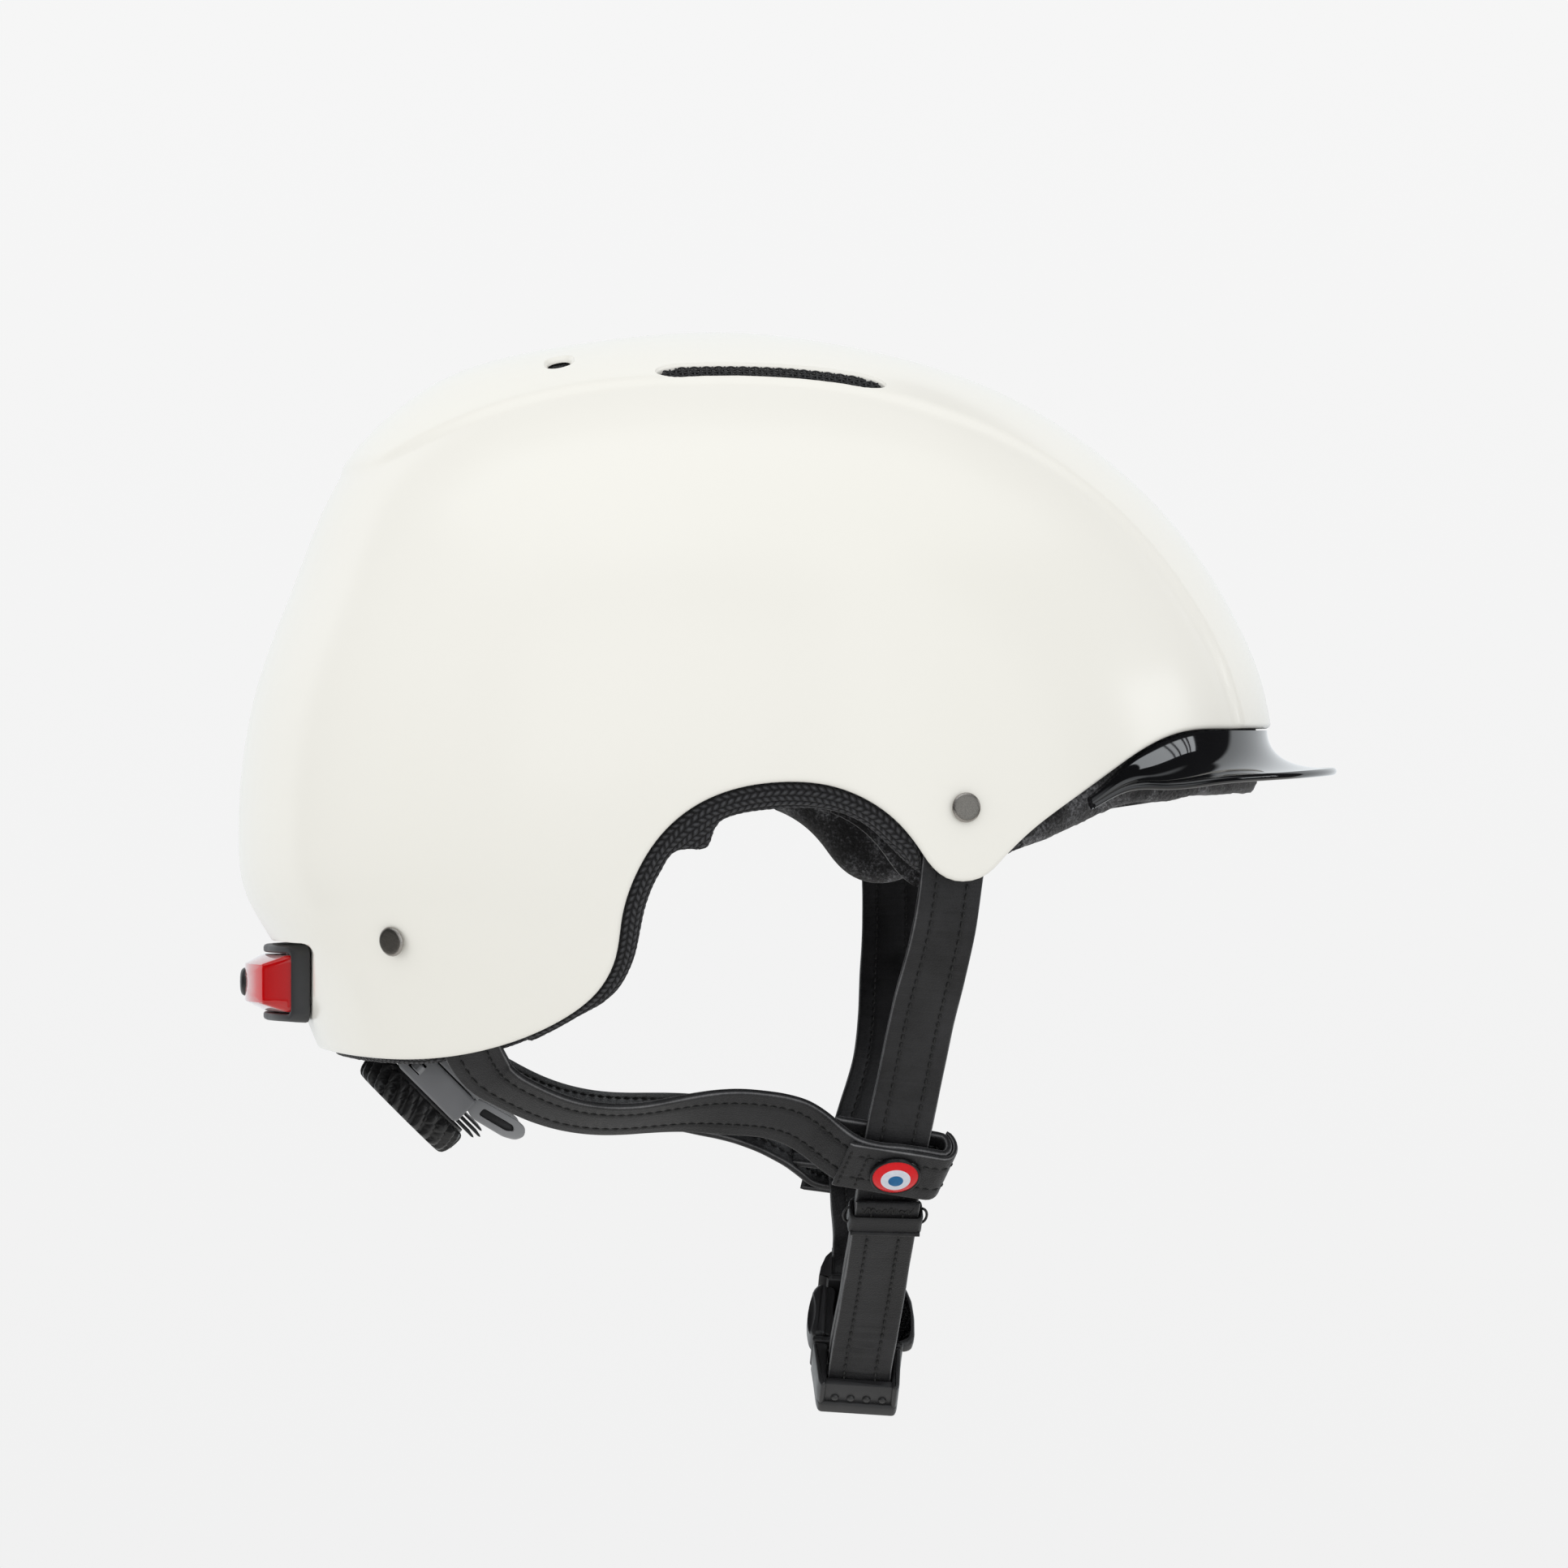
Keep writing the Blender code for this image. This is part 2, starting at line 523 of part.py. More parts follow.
ct = np.linspace(0, 2 * math.pi, 25)[:-1]
dome("crown_pad", ct, np.full(24, t_of(103.0)), 4, LINER_OFF + LINER_THICK + PAD_GAP + 0.7, lambda z: np.full(np.shape(z), LINER_OFF + LINER_THICK + PAD_GAP + 6.7), 0.0, VELOUR)
nt = np.radians(np.linspace(-128, -52, 9))
patch("nape_pad", nt, np.full(9, t_of(-14.0)), np.full(9, t_of(34.0)), 4, inner_face, 7.0, VELOUR)

# ------------------------------------------------------------------- rivets
strap_hole = {}
for side, left in (("right", False), ("left", True)):
    for label, (ry, rz) in (("front", FRONT_RIVET), ("rear", REAR_RIVET)):
        p, nrm = side_point(ry, rz, 0, left)
        name = f"{label}_rivet_{side}"
        turned(name, p, nrm, [(0, 1.7), (RIVET_R - 0.7, 1.7), (RIVET_R, 1.1), (RIVET_R, GAP), (RIVET_SHANK_R, GAP), (RIVET_SHANK_R, -7.9), (0, -7.9)], 14, GUNMETAL)
        turned(f"{label}_washer_{side}", p, nrm, [(HOLE_R, -6.4), (3.6, -6.4), (3.6, -7.2), (HOLE_R, -7.2)], 14, STEEL)
        hole = rod(f"cut_{name}", p, nrm, HOLE_R, -9, 6, 14)
        cut(shell, hole)
        strap_hole[name] = hole
        cut(liner, rod(f"cut_seat_{name}", p, nrm, 4.6, -10.5, -1, 14))

# ------------------------------------------------------------------- straps
ub, nb = unit(np.cross(BUCKLE_V, BUCKLE_N)), None
vb = unit(BUCKLE_V)
nb = unit(np.cross(ub, vb))
ob = np.asarray(BUCKLE_O)
BF = (ob, ub, vb, nb)


def in_buckle(u, v, n):
    return ob + ub * u + vb * v + nb * n


def strap_inside(ys, zs, left):
    return [side_point(y, z, LINER_OFF + STRAP_T / 2, left)[0] for y, z in zip(ys, zs)]


def strap_across(path, n_in, left, end, swap):
    """Width directions: along the shell for the first n_in points, then fore and aft, then along end from point swap on."""
    k = len(path)
    tan = unit(np.gradient(path, axis=0))
    nrm = np.array([side_point(y, z, 0, left)[1] for y, z in zip(path[:, 1], np.clip(path[:, 2], -24, 110))])
    hug = np.cross(nrm, tan)
    hug *= np.sign(hug[:, 1:2])
    q1 = smooth(np.arange(k), n_in, n_in + 6)[:, None]
    q2 = smooth(np.arange(k), swap - 3, swap)[:, None]
    free_w = np.tile(np.array([0, 1.0, 0]), (k, 1)) * (1 - q2) + np.asarray(end) * q2
    return hug * (1 - q1) + free_w * q1


# right front strap: rivet, junction, keeper, through the buckle's two slots and back up
PJ = np.asarray(JUNCTION_R)
low_in, low_out = in_buckle(0, BAR_V + TURN_R, BUCKLE_H + 2), in_buckle(0, BAR_V - TURN_R, BUCKLE_H + 2)
leg = unit(PJ - (low_in * 0.62 + low_out * 0.38))
leg_w = unit(np.array([0, 1.0, 0]) - leg * leg[1])
leg_n = unit(np.cross(leg, leg_w))
if leg_n[0] < 0:
    leg_n = -leg_n
upper = strap_inside([41.5, 41.2, 40.7], [2.5, -9, -19], False)
free = [(88.0, 38.6, -35), (76.5, 35.1, -55), (65.0, 31.6, -75)]
down = through(upper + free + [tuple(PJ + leg * d) for d in (11, 0, -12)], 20)
straight = [PJ - leg * d for d in (22, 34, 46)]
foot = in_buckle(0, BAR_V + TURN_R, BUCKLE_H + 6)
bend = [foot, in_buckle(0, BAR_V + TURN_R, BUCKLE_H - 1), in_buckle(0, BAR_V + TURN_R, 1.5)]
turn = [in_buckle(0, BAR_V + TURN_R * math.cos(a), -1 - TURN_R * math.sin(a)) for a in np.radians(np.linspace(0, 180, 9))]
tail_gap = STRAP_T + 0.4
back = [in_buckle(0, BAR_V - TURN_R, 1.5), in_buckle(0, BAR_V - TURN_R, BUCKLE_H - 1), in_buckle(0, BAR_V - TURN_R, BUCKLE_H + 4)]
tail = [PJ - leg * d + leg_n * tail_gap for d in (46, 36, 27, 19, 11.6)]
right_path = np.array(list(down) + straight + bend + turn + back + tail)
right_across = strap_across(right_path, 5, False, ub, len(down) + len(straight))
right_across[len(down) + len(straight) + len(bend) + len(turn) + len(back):] = (0, 1, 0)
front_right = ribbon("front_strap_right", right_path, right_across, STRAP_W, STRAP_T, LEATHER)

# left front strap: rivet, junction, round the buckle's upper bar and sewn back on itself
PL = np.asarray(JUNCTION_L)
TOP_V = BUCKLE_L - 1.8
upper_l = strap_inside([41.5, 41.2, 40.7], [2.5, -9, -19], True)
wrap_r = 3.1
enter = in_buckle(0, TOP_V + 9, wrap_r)
leg_l = unit(PL - enter)
free_l = [(-88.0, 38.6, -35), (-77.0, 36.0, -56), (-66.0, 32.9, -78)]
down_l = through(upper_l + free_l + [tuple(PL + leg_l * d) for d in (11, 0, -11)], 20)
hook = [in_buckle(0, TOP_V + 5, wrap_r), in_buckle(0, TOP_V + 2, wrap_r)]
hook += [in_buckle(0, TOP_V - wrap_r * math.sin(a), wrap_r * math.cos(a)) for a in np.radians(np.linspace(0, 180, 9))]
hook += [in_buckle(0, TOP_V + 4, -wrap_r), in_buckle(0, TOP_V + 10, -wrap_r + 0.3)]
left_path = np.array(list(down_l) + [enter] + hook)
left_across = strap_across(left_path, 5, True, ub, len(down_l) + 1)
front_left = ribbon("front_strap_left", left_path, left_across, STRAP_W, STRAP_T, LEATHER)

# rear straps: rear rivet, below the shell, forward, and round the front strap in a loop
REAR_RUN = [(67.5, -73.5, -72.5), (66.5, -66, -78), (64.5, -55, -81.8), (62, -40, -82.6), (59.5, -24, -81.3), (57.2, -8, -81.4), (55, 6, -85.0)]
rear = {}
for side, s, P, L in (("right", 1, PJ, leg), ("left", -1, PL, leg_l)):
    ins = strap_inside([-97.5, -92, -86, -80], [-33, -44, -55, -63.5], s < 0)
    W = unit(np.array([0, 1.0, 0]) - L * L[1])
    N = unit(np.cross(L, W))
    if N[0] * s < 0:
        N = -N
    drop_z = PL[2] + 96.9 if s < 0 else 0.0
    fwd = unit(W - L * 0.2)
    run = [np.array([x * s, y, z + drop_z * smooth(y, -70, 12)]) for x, y, z in REAR_RUN]
    over = STRAP_T + 0.8
    reach_in = [P + N * over + fwd * d for d in (-11, 0, 9.5)]
    path1 = through(ins + run + reach_in, 32)
    edge_c = P + fwd * 9.9
    arc = [edge_c + N * over * math.cos(a) + fwd * 1.9 * math.sin(a) for a in np.radians(np.linspace(12, 168, 7))]
    back_in = [P - N * over + fwd * d for d in (9.5, 0, -9, -17)]
    path = np.array(list(path1) + arc + back_in)
    nn = len(path1)
    q = smooth(np.arange(nn), 6, 12)[:, None]
    inner_n = np.array([side_point(y, max(z, -66), 0, s < 0)[1] for y, z in zip(np.clip(path1[:, 1], -110, -60), path1[:, 2])])
    hang = 0.55 * smooth(path1[:, 1], -72, -58) * (1 - smooth(path1[:, 1], -36, -10))  # the loose run turns its face down
    face = unit(inner_n * (1 - q) + N * q + np.outer(hang, [0, 0, -1.0]))
    tan = unit(np.gradient(path1, axis=0))
    across = np.cross(face, tan)
    across = np.concatenate([across, np.tile(across[-1], (len(path) - nn, 1))])
    rear[side] = (path, across, N, fwd)
    obj = ribbon("rear_strap_" + side, path, across, STRAP_W, STRAP_T - 0.2, LEATHER)
    cap_at = P + N * (over + STRAP_T / 2)
    turned("snap_cap_" + side, cap_at, N, [(0, 2.6), (3.2, 2.35), (CAP_R - 0.6, 1.7), (CAP_R, 1.0), (CAP_R, GAP), (1.5, GAP), (1.5, -9.3), (0, -9.3)], 16, ENAMEL)
    turned("snap_base_" + side, cap_at, N, [(HOLE_R, -8.6), (4.6, -8.6), (4.6, -9.6), (HOLE_R, -9.6)], 16, GUNMETAL)
    post = rod("cut_post_" + side, cap_at, N, HOLE_R, -10.9, 4)
    cut(obj, strap_hole["rear_rivet_" + side], post)
    cut(front_right if s > 0 else front_left, strap_hole["front_rivet_" + side], post)

# pockets for the strap ends in the liner and the rim
for side, s, path, wide in (("right", 1, right_path, right_across), ("left", -1, left_path, left_across)):
    seg = path[:7].copy()
    seg[0] += unit(seg[0] - seg[1]) * 1.2
    seg[:, 0] += 0.9 * s
    c = ribbon("cut_pocket_front_" + side, seg, wide[:7], STRAP_W + 1.4, STRAP_T + 2.8, None, cutter=True)
    cut(liner, c)
    cut(trim, c)
    rp, ra = rear[side][0][:10].copy(), rear[side][1][:10]
    rp[0] += unit(rp[0] - rp[1]) * 1.2
    rp += np.array([0.9 * s, -0.5, 0])
    c = ribbon("cut_pocket_rear_" + side, rp, ra, STRAP_W + 1.6, STRAP_T + 3.0, None, cutter=True)
    cut(liner, c)
    cut(trim, c)

# keeper: a closed band round both layers of the right strap, sliding along them
KC = PJ - leg * KEEPER_AT + leg_n * tail_gap / 2
keeper_pivot = pivot_empty("keeper_origin", KC)
KF = (KC, leg_w, leg_n, leg)
kh, kw_ = (STRAP_T + tail_gap) / 2 + 0.55, STRAP_W / 2 + 0.7
ko = slot2(0, 0, kw_ + 1.5, kh + 1.4, 4)
keeper = prism("strap_keeper", KF, ko, -KEEPER_L / 2, KEEPER_L / 2, LEATHER, pivot=KC, parent=keeper_pivot)
cut(keeper, prism("cut_keeper", KF, box2(-kw_, -kh, kw_, kh), -KEEPER_L, KEEPER_L, None, cutter=True))

# ------------------------------------------------------------------- buckle
base_outline = [(-BASE_HALF + 1.2, 0), (BASE_HALF - 1.2, 0), (BASE_HALF, 1.5), (BASE_HALF + 0.4, BASE_L - 1), (BASE_HALF - 0.6, BASE_L), (2.1, BASE_L), (1.6, 33.0), (-1.6, 33.0), (-2.1, BASE_L), (-BASE_HALF + 0.6, BASE_L), (-BASE_HALF - 0.4, BASE_L - 1), (-BASE_HALF, 1.5)]
male = prism("buckle_male", BF, base_outline, -BUCKLE_H, BUCKLE_H, MATTE)
sw = STRAP_W / 2 + 0.5
cut(
    male,
    prism("cut_slot_upper", BF, box2(-sw, BAR_V + BAR_HALF + 0.3, sw, BAR_V + TURN_R + STRAP_T / 2 + 0.5), -9, 9, None, cutter=True),
    prism("cut_slot_lower", BF, box2(-sw, BAR_V - TURN_R - STRAP_T / 2 - 0.3, sw, BAR_V - BAR_HALF - 0.3), -9, 9, None, cutter=True),
    prism("cut_turn", BF, box2(-sw - 0.01, 2.2, sw + 0.01, 12.2), -9, -1.9, None, cutter=True),
    prism("cut_front_bar", BF, box2(-sw - 0.02, BAR_V - BAR_HALF - 1, sw + 0.02, BAR_V + BAR_HALF + 1), 2.4, 9, None, cutter=True),
    prism("cut_tongue_front", BF, box2(-4, BASE_L + 0.2, 4, 36), 2.4, 9, None, cutter=True),
    prism("cut_tongue_back", BF, box2(-4, BASE_L + 0.2, 4, 36), -9, -2.4, None, cutter=True),
)
fem_outline = [(-10.6, BASE_L + 0.5), (10.6, BASE_L + 0.5), (10.9, 16.6), (8.6, 18.2), (8.2, 25), (8.6, 31.2), (10.7, 33.6), (10.9, BUCKLE_L - 1.5), (9.8, BUCKLE_L), (-9.8, BUCKLE_L), (-10.9, BUCKLE_L - 1.5), (-10.7, 33.6), (-8.6, 31.2), (-8.2, 25), (-8.6, 18.2), (-10.9, 16.6)]
female = prism("buckle_female", BF, fem_outline, -BUCKLE_H, BUCKLE_H, MATTE)
slot_lo, slot_hi, sh = TOP_V - wrap_r - STRAP_T / 2 - 0.4, TOP_V - 1.1, STRAP_W / 2 + 0.6
cut(
    female,
    prism("cut_mouth", BF, box2(-8.9, BASE_L - 2, 8.9, 18.0), -3.6, 3.6, None, cutter=True),
    prism("cut_windows", BF, box2(-16, 16.9, 16, 33.2), -3.5, 3.5, None, cutter=True),
    prism("cut_bar_slot", BF, box2(-sh, slot_lo, sh, slot_hi), -9.1, 9.1, None, cutter=True),
    prism("cut_bar_front", BF, box2(-sh + 0.05, slot_hi - 0.5, sh - 0.05, TOP_V + 9), 1.3, 9, None, cutter=True),
    prism("cut_bar_back", BF, box2(-sh + 0.05, slot_hi - 0.5, sh - 0.05, TOP_V + 9), -9, -1.3, None, cutter=True),
)
for label, s in (("front", 1), ("rear", -1)):
    hinge = in_buckle(ARM_U * s, ARM_V, 0)
    stem = [(ARM_U - 1.4, BASE_L + 0.35), (ARM_U + 1.6, BASE_L + 0.35), (8.2, 16.9), (9.5, 17.6), (11.4, 20), (12.9, 23.2), (13.4, 26), (12.7, 29), (10.2, 32.2), (7.6, 32.8), (6.6, 31.4), (7.2, 26), (6.6, 20.5), (5.2, 17)]
    ring = [(a * s, b) for a, b in stem][:: 1 if s > 0 else -1]
    piv = pivot_empty(f"release_arm_{label}_hinge", hinge)
    prism(f"release_arm_{label}", BF, ring, -3.2, 3.2, MATTE, pivot=hinge, parent=piv)

# ----------------------------------------------------------- cradle and dial
tilt = math.radians(DIAL_TILT)
da = np.array([0, -math.cos(tilt), -math.sin(tilt)])  # out of the dial
di = -da  # towards the head
db = np.array([0, math.sin(tilt), -math.cos(tilt)])  # forward and down along the dial's face
dx = np.array([1.0, 0, 0])
do = np.asarray(DIAL_O)
CF = (do, db, di, dx)  # outlines in (along the face, towards the head), pulled sideways
FF = (do, dx, db, di)  # outlines in the dial's plane, pulled towards the head
cradle_o = pivot_empty("cradle_origin", do)
dial_o = pivot_empty("dial_axis", do)
HX = 24.0
housing_outline = [(-9.2, 5.5), (9.6, 5.5), (10.4, 6.3), (10.4, 13.0), (8.2, 13.0), (8.2, 7.3), (-8.2, 7.3), (-8.2, 13.0), (-10.0, 13.0), (-10.0, 6.3)]
housing = prism("cradle_housing", CF, housing_outline, -HX, HX, GREY, pivot=do, parent=cradle_o)
for s in (1, -1):
    wall = prism(f"tmp_wall_{s}", CF, box2(-9.0, 6.6, 9.2, 12.9), min(22.0 * s, 23.9 * s), max(22.0 * s, 23.9 * s), None, cutter=True)
    m = housing.modifiers.new("end_wall", "BOOLEAN")
    m.operation, m.object, m.solver = "UNION", wall, "EXACT"
    cut(housing, prism(f"cut_rack_way_{s}", CF, box2(*((-8.1, 7.5, -4.5, 10.5) if s > 0 else (4.5, 7.5, 8.1, 10.5))), min(21.0 * s, 25.0 * s), max(21.0 * s, 25.0 * s), None, cutter=True))
cut(housing, rod("cut_shaft", do, di, 3.6, 3, 9))
prism("cradle_cover", CF, [(-10.0, 13.3), (10.4, 13.3), (10.4, 14.6), (9.4, 15.2), (-9.0, 15.2), (-10.0, 14.6)], -HX, HX, GREY, pivot=do, parent=cradle_o)
for side, s in (("right", 1), ("left", -1)):
    wing = prism("cradle_loop_" + side, CF, [(10.8, 11.2), (13.5, 10.6), (22.5, 13.0), (25.2, 14.6), (26.0, 16.6), (24.6, 18.2), (21.8, 18.0), (12.8, 15.4), (10.8, 14.6)], 18.2 * s, 20.6 * s, GREY, pivot=do, parent=cradle_o)
    cut(wing, prism("cut_loop_" + side, CF, [(15.4, 12.8), (22.6, 14.7), (23.6, 15.9), (22.4, 16.4), (15.2, 14.4)], 16 * s, 23 * s, None, cutter=True))

core = turned("dial_core", do, di, [(0, 0.6), (11.0, 0.6), (12.0, 1.4), (12.0, DIAL_T - 0.2), (3.2, DIAL_T - 0.2), (3.2, 7.4), (1.5, 7.4), (1.5, 2.6), (0, 2.6)], 20, MATTE, pivot=do, parent=dial_o)
rib_ring, NR = [], DIAL_RIBS
for i in range(NR):
    for frac, r in ((0.0, DIAL_R), (0.36, DIAL_R), (0.5, DIAL_R - 1.5), (0.86, DIAL_R - 1.5)):
        a = 2 * math.pi * (i + frac) / NR
        rib_ring.append((r, a))
rows = []
for inner_r, scale, w in ((None, 0.955, 0.0), (None, 1.0, 1.2), (None, 0.98, DIAL_T), (12.3, 1, DIAL_T), (12.3, 1, 0.2)):
    rows.append([do + (dx * math.cos(a) + db * math.sin(a)) * (inner_r or r * scale) + di * w for r, a in rib_ring])
n = len(rib_ring)
make("dial_grip", np.concatenate(rows), ring_faces(5, n) + [(4 * n + i, 4 * n + (i + 1) % n, (i + 1) % n, i) for i in range(n)], GRIP, pivot=do, parent=dial_o)

pitch = 2 * math.pi * PINION_PITCH_R / PINION_TEETH
pin = []
for i in range(PINION_TEETH):
    for off, r in ((-0.29, 3.05), (-0.2, PINION_PITCH_R), (-0.1, 4.7), (0.1, 4.7), (0.2, PINION_PITCH_R), (0.29, 3.05)):
        a = 2 * math.pi * (i + off) / PINION_TEETH + math.pi / 2 + math.pi / PINION_TEETH
        pin.append((r * math.cos(a), r * math.sin(a)))
pinion = prism("dial_pinion", FF, pin, 7.7, 10.2, MATTE, pivot=do, parent=dial_o)
cut(pinion, rod("cut_pinion", do, di, 1.6, 6, 12))
turned("dial_screw", do, di, [(0, 3.0), (1.2, 3.0), (1.2, 10.6), (2.6, 10.6), (2.6, 11.6), (2.0, 12.0), (0, 12.0)], 16, STEEL, pivot=do, parent=dial_o)
for side, s in (("right", 1), ("left", -1)):
    # the right rack runs on one side of the pinion and the left on the other
    line = [(-9.0, -7.6), (38.4, -7.6), (39.8, -6.6), (39.8, -5.9), (38.4, -5.0)]
    teeth = []
    for i in range(4, -4, -1):
        for off, y in ((0.29, -5.0), (0.2, -4.0), (0.1, -3.35), (-0.1, -3.35), (-0.2, -4.0), (-0.29, -5.0)):
            teeth.append(((i + off) * pitch, y))
    line += [p for p in teeth if p[0] > -8.6] + [(-9.0, -5.0)]
    pts = [(x * s, y * s) for x, y in line]
    rack_o = pivot_empty(f"rack_{side}_origin", do)
    prism("rack_" + side, FF, pts, 8.0, 10.0, GREY, pivot=do, parent=rack_o)
prism("detent_spring", FF, [(5.2, -0.9), (6.0, -0.5), (10.5, -1.9), (15.5, -1.3), (15.5, -0.7), (10.4, -1.3), (6.0, 0.3), (5.4, 0.7)], 8.2, 9.8, STEEL, pivot=do, parent=cradle_o)

# headband arms: flat plastic bands from the liner behind each ear down to the nape
for side, s in (("right", 1), ("left", -1)):
    hb = [side_point(y, z, float(liner_depth(z)) + 3.8)[0] for y, z in ((-30, 22), (-46, 10), (-57, -10), (-66, -32), (-77, -50))]
    hb += [(52.6, -75.6, -61.5), (44.8, -78.6, -69.0)]
    path = through(hb, 18) * [s, 1, 1]
    hub = np.array([0, -30.0, -20.0])
    ribbon("headband_" + side, path, np.cross(unit(hub - path), unit(np.gradient(path, axis=0))), 11.0, 1.4, GREY)

# --------------------------------------------------------------- rear light
# a flat-backed recess in the shell's nape, with its own wall behind it
SEAT_Z = -59.5
seat_y = lambda x: rear_y(np.clip(x, -LIGHT_HALF_X, LIGHT_HALF_X), np.full(np.shape(x), SEAT_Z)) + 0.4
RX, RZ0, RZ1 = 54.0, LIGHT_Z - LIGHT_HALF_Z - 1.6, LIGHT_Z + LIGHT_HALF_Z + 0.9  # the notch runs out into the shell's sides


def wall_grid(half_x, z0, z1, y_of, cols=11, rows=4):
    A, B = np.meshgrid(np.linspace(-half_x, half_x, cols), np.linspace(z0, z1, rows))
    return np.stack([A, y_of(A, B), B], -1)


def loft(name, grids, material, **kw):
    """A closed solid through grids of one size: the first and last are its ends."""
    r, c = grids[0].shape[:2]
    o = r * c
    faces = []
    for j in range(r - 1):
        for i in range(c - 1):
            p = (j * c + i, j * c + i + 1, (j + 1) * c + i + 1, (j + 1) * c + i)
            faces += [p[::-1], tuple(o * (len(grids) - 1) + x for x in p)]
    ring = [i for i in range(c)] + [j * c + c - 1 for j in range(1, r)] + [(r - 1) * c + i for i in range(c - 2, -1, -1)] + [j * c for j in range(r - 2, 0, -1)]
    used = {}
    pts = []
    for k, g in enumerate(grids):
        flat = g.reshape(-1, 3)
        for i in range(o):
            if k in (0, len(grids) - 1) or i in ring:
                used[(k, i)] = len(pts)
                pts.append(flat[i])
    out_faces = [tuple(used[(f // o, f % o)] for f in face) for face in faces]
    for k in range(len(grids) - 1):
        for i, x in enumerate(ring):
            y = ring[(i + 1) % len(ring)]
            out_faces.append((used[(k, x)], used[(k, y)], used[(k + 1, y)], used[(k + 1, x)]))
    return make(name, pts, out_faces, material, **kw)


wide = dict(cols=23, rows=5)
pocket = slab("tmp_pocket", wall_grid(RX + 2.4, RZ0 - 0.4, RZ1 + 2.4, lambda x, z: rear_y(x, z) + 1.1, **wide), wall_grid(RX + 2.4, RZ0 - 0.4, RZ1 + 2.4, lambda x, z: np.maximum(seat_y(x) + SHELL_T, rear_y(x, z) + SHELL_T + 0.2), **wide), None, cutter=True)
m = shell.modifiers.new("pocket_wall", "BOOLEAN")
m.operation, m.object, m.solver = "UNION", pocket, "EXACT"
cut(shell, slab("cut_recess", wall_grid(RX, RZ0, RZ1, lambda x, z: seat_y(x), **wide), wall_grid(RX, RZ0, RZ1, lambda x, z: 0 * x - 145.0, **wide), None, cutter=True))
room = slab("cut_room", wall_grid(RX + 3.4, RZ0 - 6, RZ1 + 3.4, lambda x, z: rear_y(x, z) - 2.0, **wide), wall_grid(RX + 3.4, RZ0 - 6, RZ1 + 3.4, lambda x, z: np.maximum(seat_y(x) + SHELL_T, rear_y(x, z) + SHELL_T + 0.2) + 0.8, **wide), None, cutter=True)
cut(liner, room)
cut(trim, room)

LZ0, LZ1 = LIGHT_Z - LIGHT_HALF_Z, LIGHT_Z + LIGHT_HALF_Z
bracket = slab("light_bracket", wall_grid(18.9, LIGHT_Z - 7.0, LIGHT_Z + 7.0, lambda x, z: seat_y(x) - 0.4), wall_grid(18.9, LIGHT_Z - 7.0, LIGHT_Z + 7.0, lambda x, z: seat_y(x) - 1.8), MATTE)
seat0 = float(seat_y(np.array(0.0)))
boss_y = seat0 - 3.2
boss = prism("tmp_boss", ((0, 0, 0), (1, 0, 0), (0, 0, 1), (0, 1, 0)), slot2(0, LIGHT_Z, 9, 4.5, 3), boss_y, seat0 - 1.0, None, cutter=True)
m = bracket.modifiers.new("boss", "BOOLEAN")
m.operation, m.object, m.solver = "UNION", boss, "EXACT"

light_at = (0, boss_y, LIGHT_Z)
light_o = pivot_empty("light_origin", light_at)
floor_y = lambda x: seat_y(x) - 4.4
bezel_y = lambda x: seat_y(x) - 4.6 - 5.8 * (1 - (x / LIGHT_HALF_X) ** 2)
face_y = lambda x: -130.5 + 0.0125 * x * x
base = slab("light_base", wall_grid(LIGHT_HALF_X, LZ0, LZ1, lambda x, z: seat_y(x) - 0.5), wall_grid(LIGHT_HALF_X - 0.4, LZ0 + 0.3, LZ1 - 0.3, lambda x, z: bezel_y(x)), MATTE, pivot=light_at, parent=light_o)
cut(base, slab("cut_bracket_seat", wall_grid(19.3, LIGHT_Z - 7.4, LIGHT_Z + 7.4, lambda x, z: seat_y(x) + 1.0), wall_grid(19.3, LIGHT_Z - 7.4, LIGHT_Z + 7.4, lambda x, z: seat_y(x) - 2.1), None, cutter=True))
cut(base, prism("cut_boss_seat", ((0, 0, 0), (1, 0, 0), (0, 0, 1), (0, 1, 0)), slot2(0, LIGHT_Z, 9.3, 4.8, 3), boss_y - 0.3, -105, None, cutter=True))
cut(base, slab("cut_tray", wall_grid(20.6, LIGHT_Z - 7.5, LIGHT_Z + 7.5, lambda x, z: floor_y(x)), wall_grid(20.6, LIGHT_Z - 7.5, LIGHT_Z + 7.5, lambda x, z: 0 * x - 140), None, cutter=True))
lens = loft("light_lens", [
    wall_grid(20.2, LIGHT_Z - 7.1, LIGHT_Z + 7.1, lambda x, z: floor_y(x) - GAP, 9, 3),
    wall_grid(20.1, LIGHT_Z - 7.0, LIGHT_Z + 7.0, lambda x, z: bezel_y(x) - 0.2, 9, 3),
    wall_grid(18.6, LIGHT_Z - 4.5, LIGHT_Z + 4.5, lambda x, z: face_y(x), 9, 3),
], RED, pivot=light_at, parent=light_o)
cut(lens, loft("cut_lens", [
    wall_grid(18.4, LIGHT_Z - 5.4, LIGHT_Z + 5.4, lambda x, z: floor_y(x) + 3, 9, 3),
    wall_grid(18.2, LIGHT_Z - 5.2, LIGHT_Z + 5.2, lambda x, z: bezel_y(x) + 0.8, 9, 3),
    wall_grid(16.6, LIGHT_Z - 3.3, LIGHT_Z + 3.3, lambda x, z: face_y(x) + 2.0, 9, 3),
], None, cutter=True))
LF = ((0, 0, LIGHT_Z), (1, 0, 0), (0, 0, 1), (0, 1, 0))
fl = float(floor_y(np.array(0.0)))
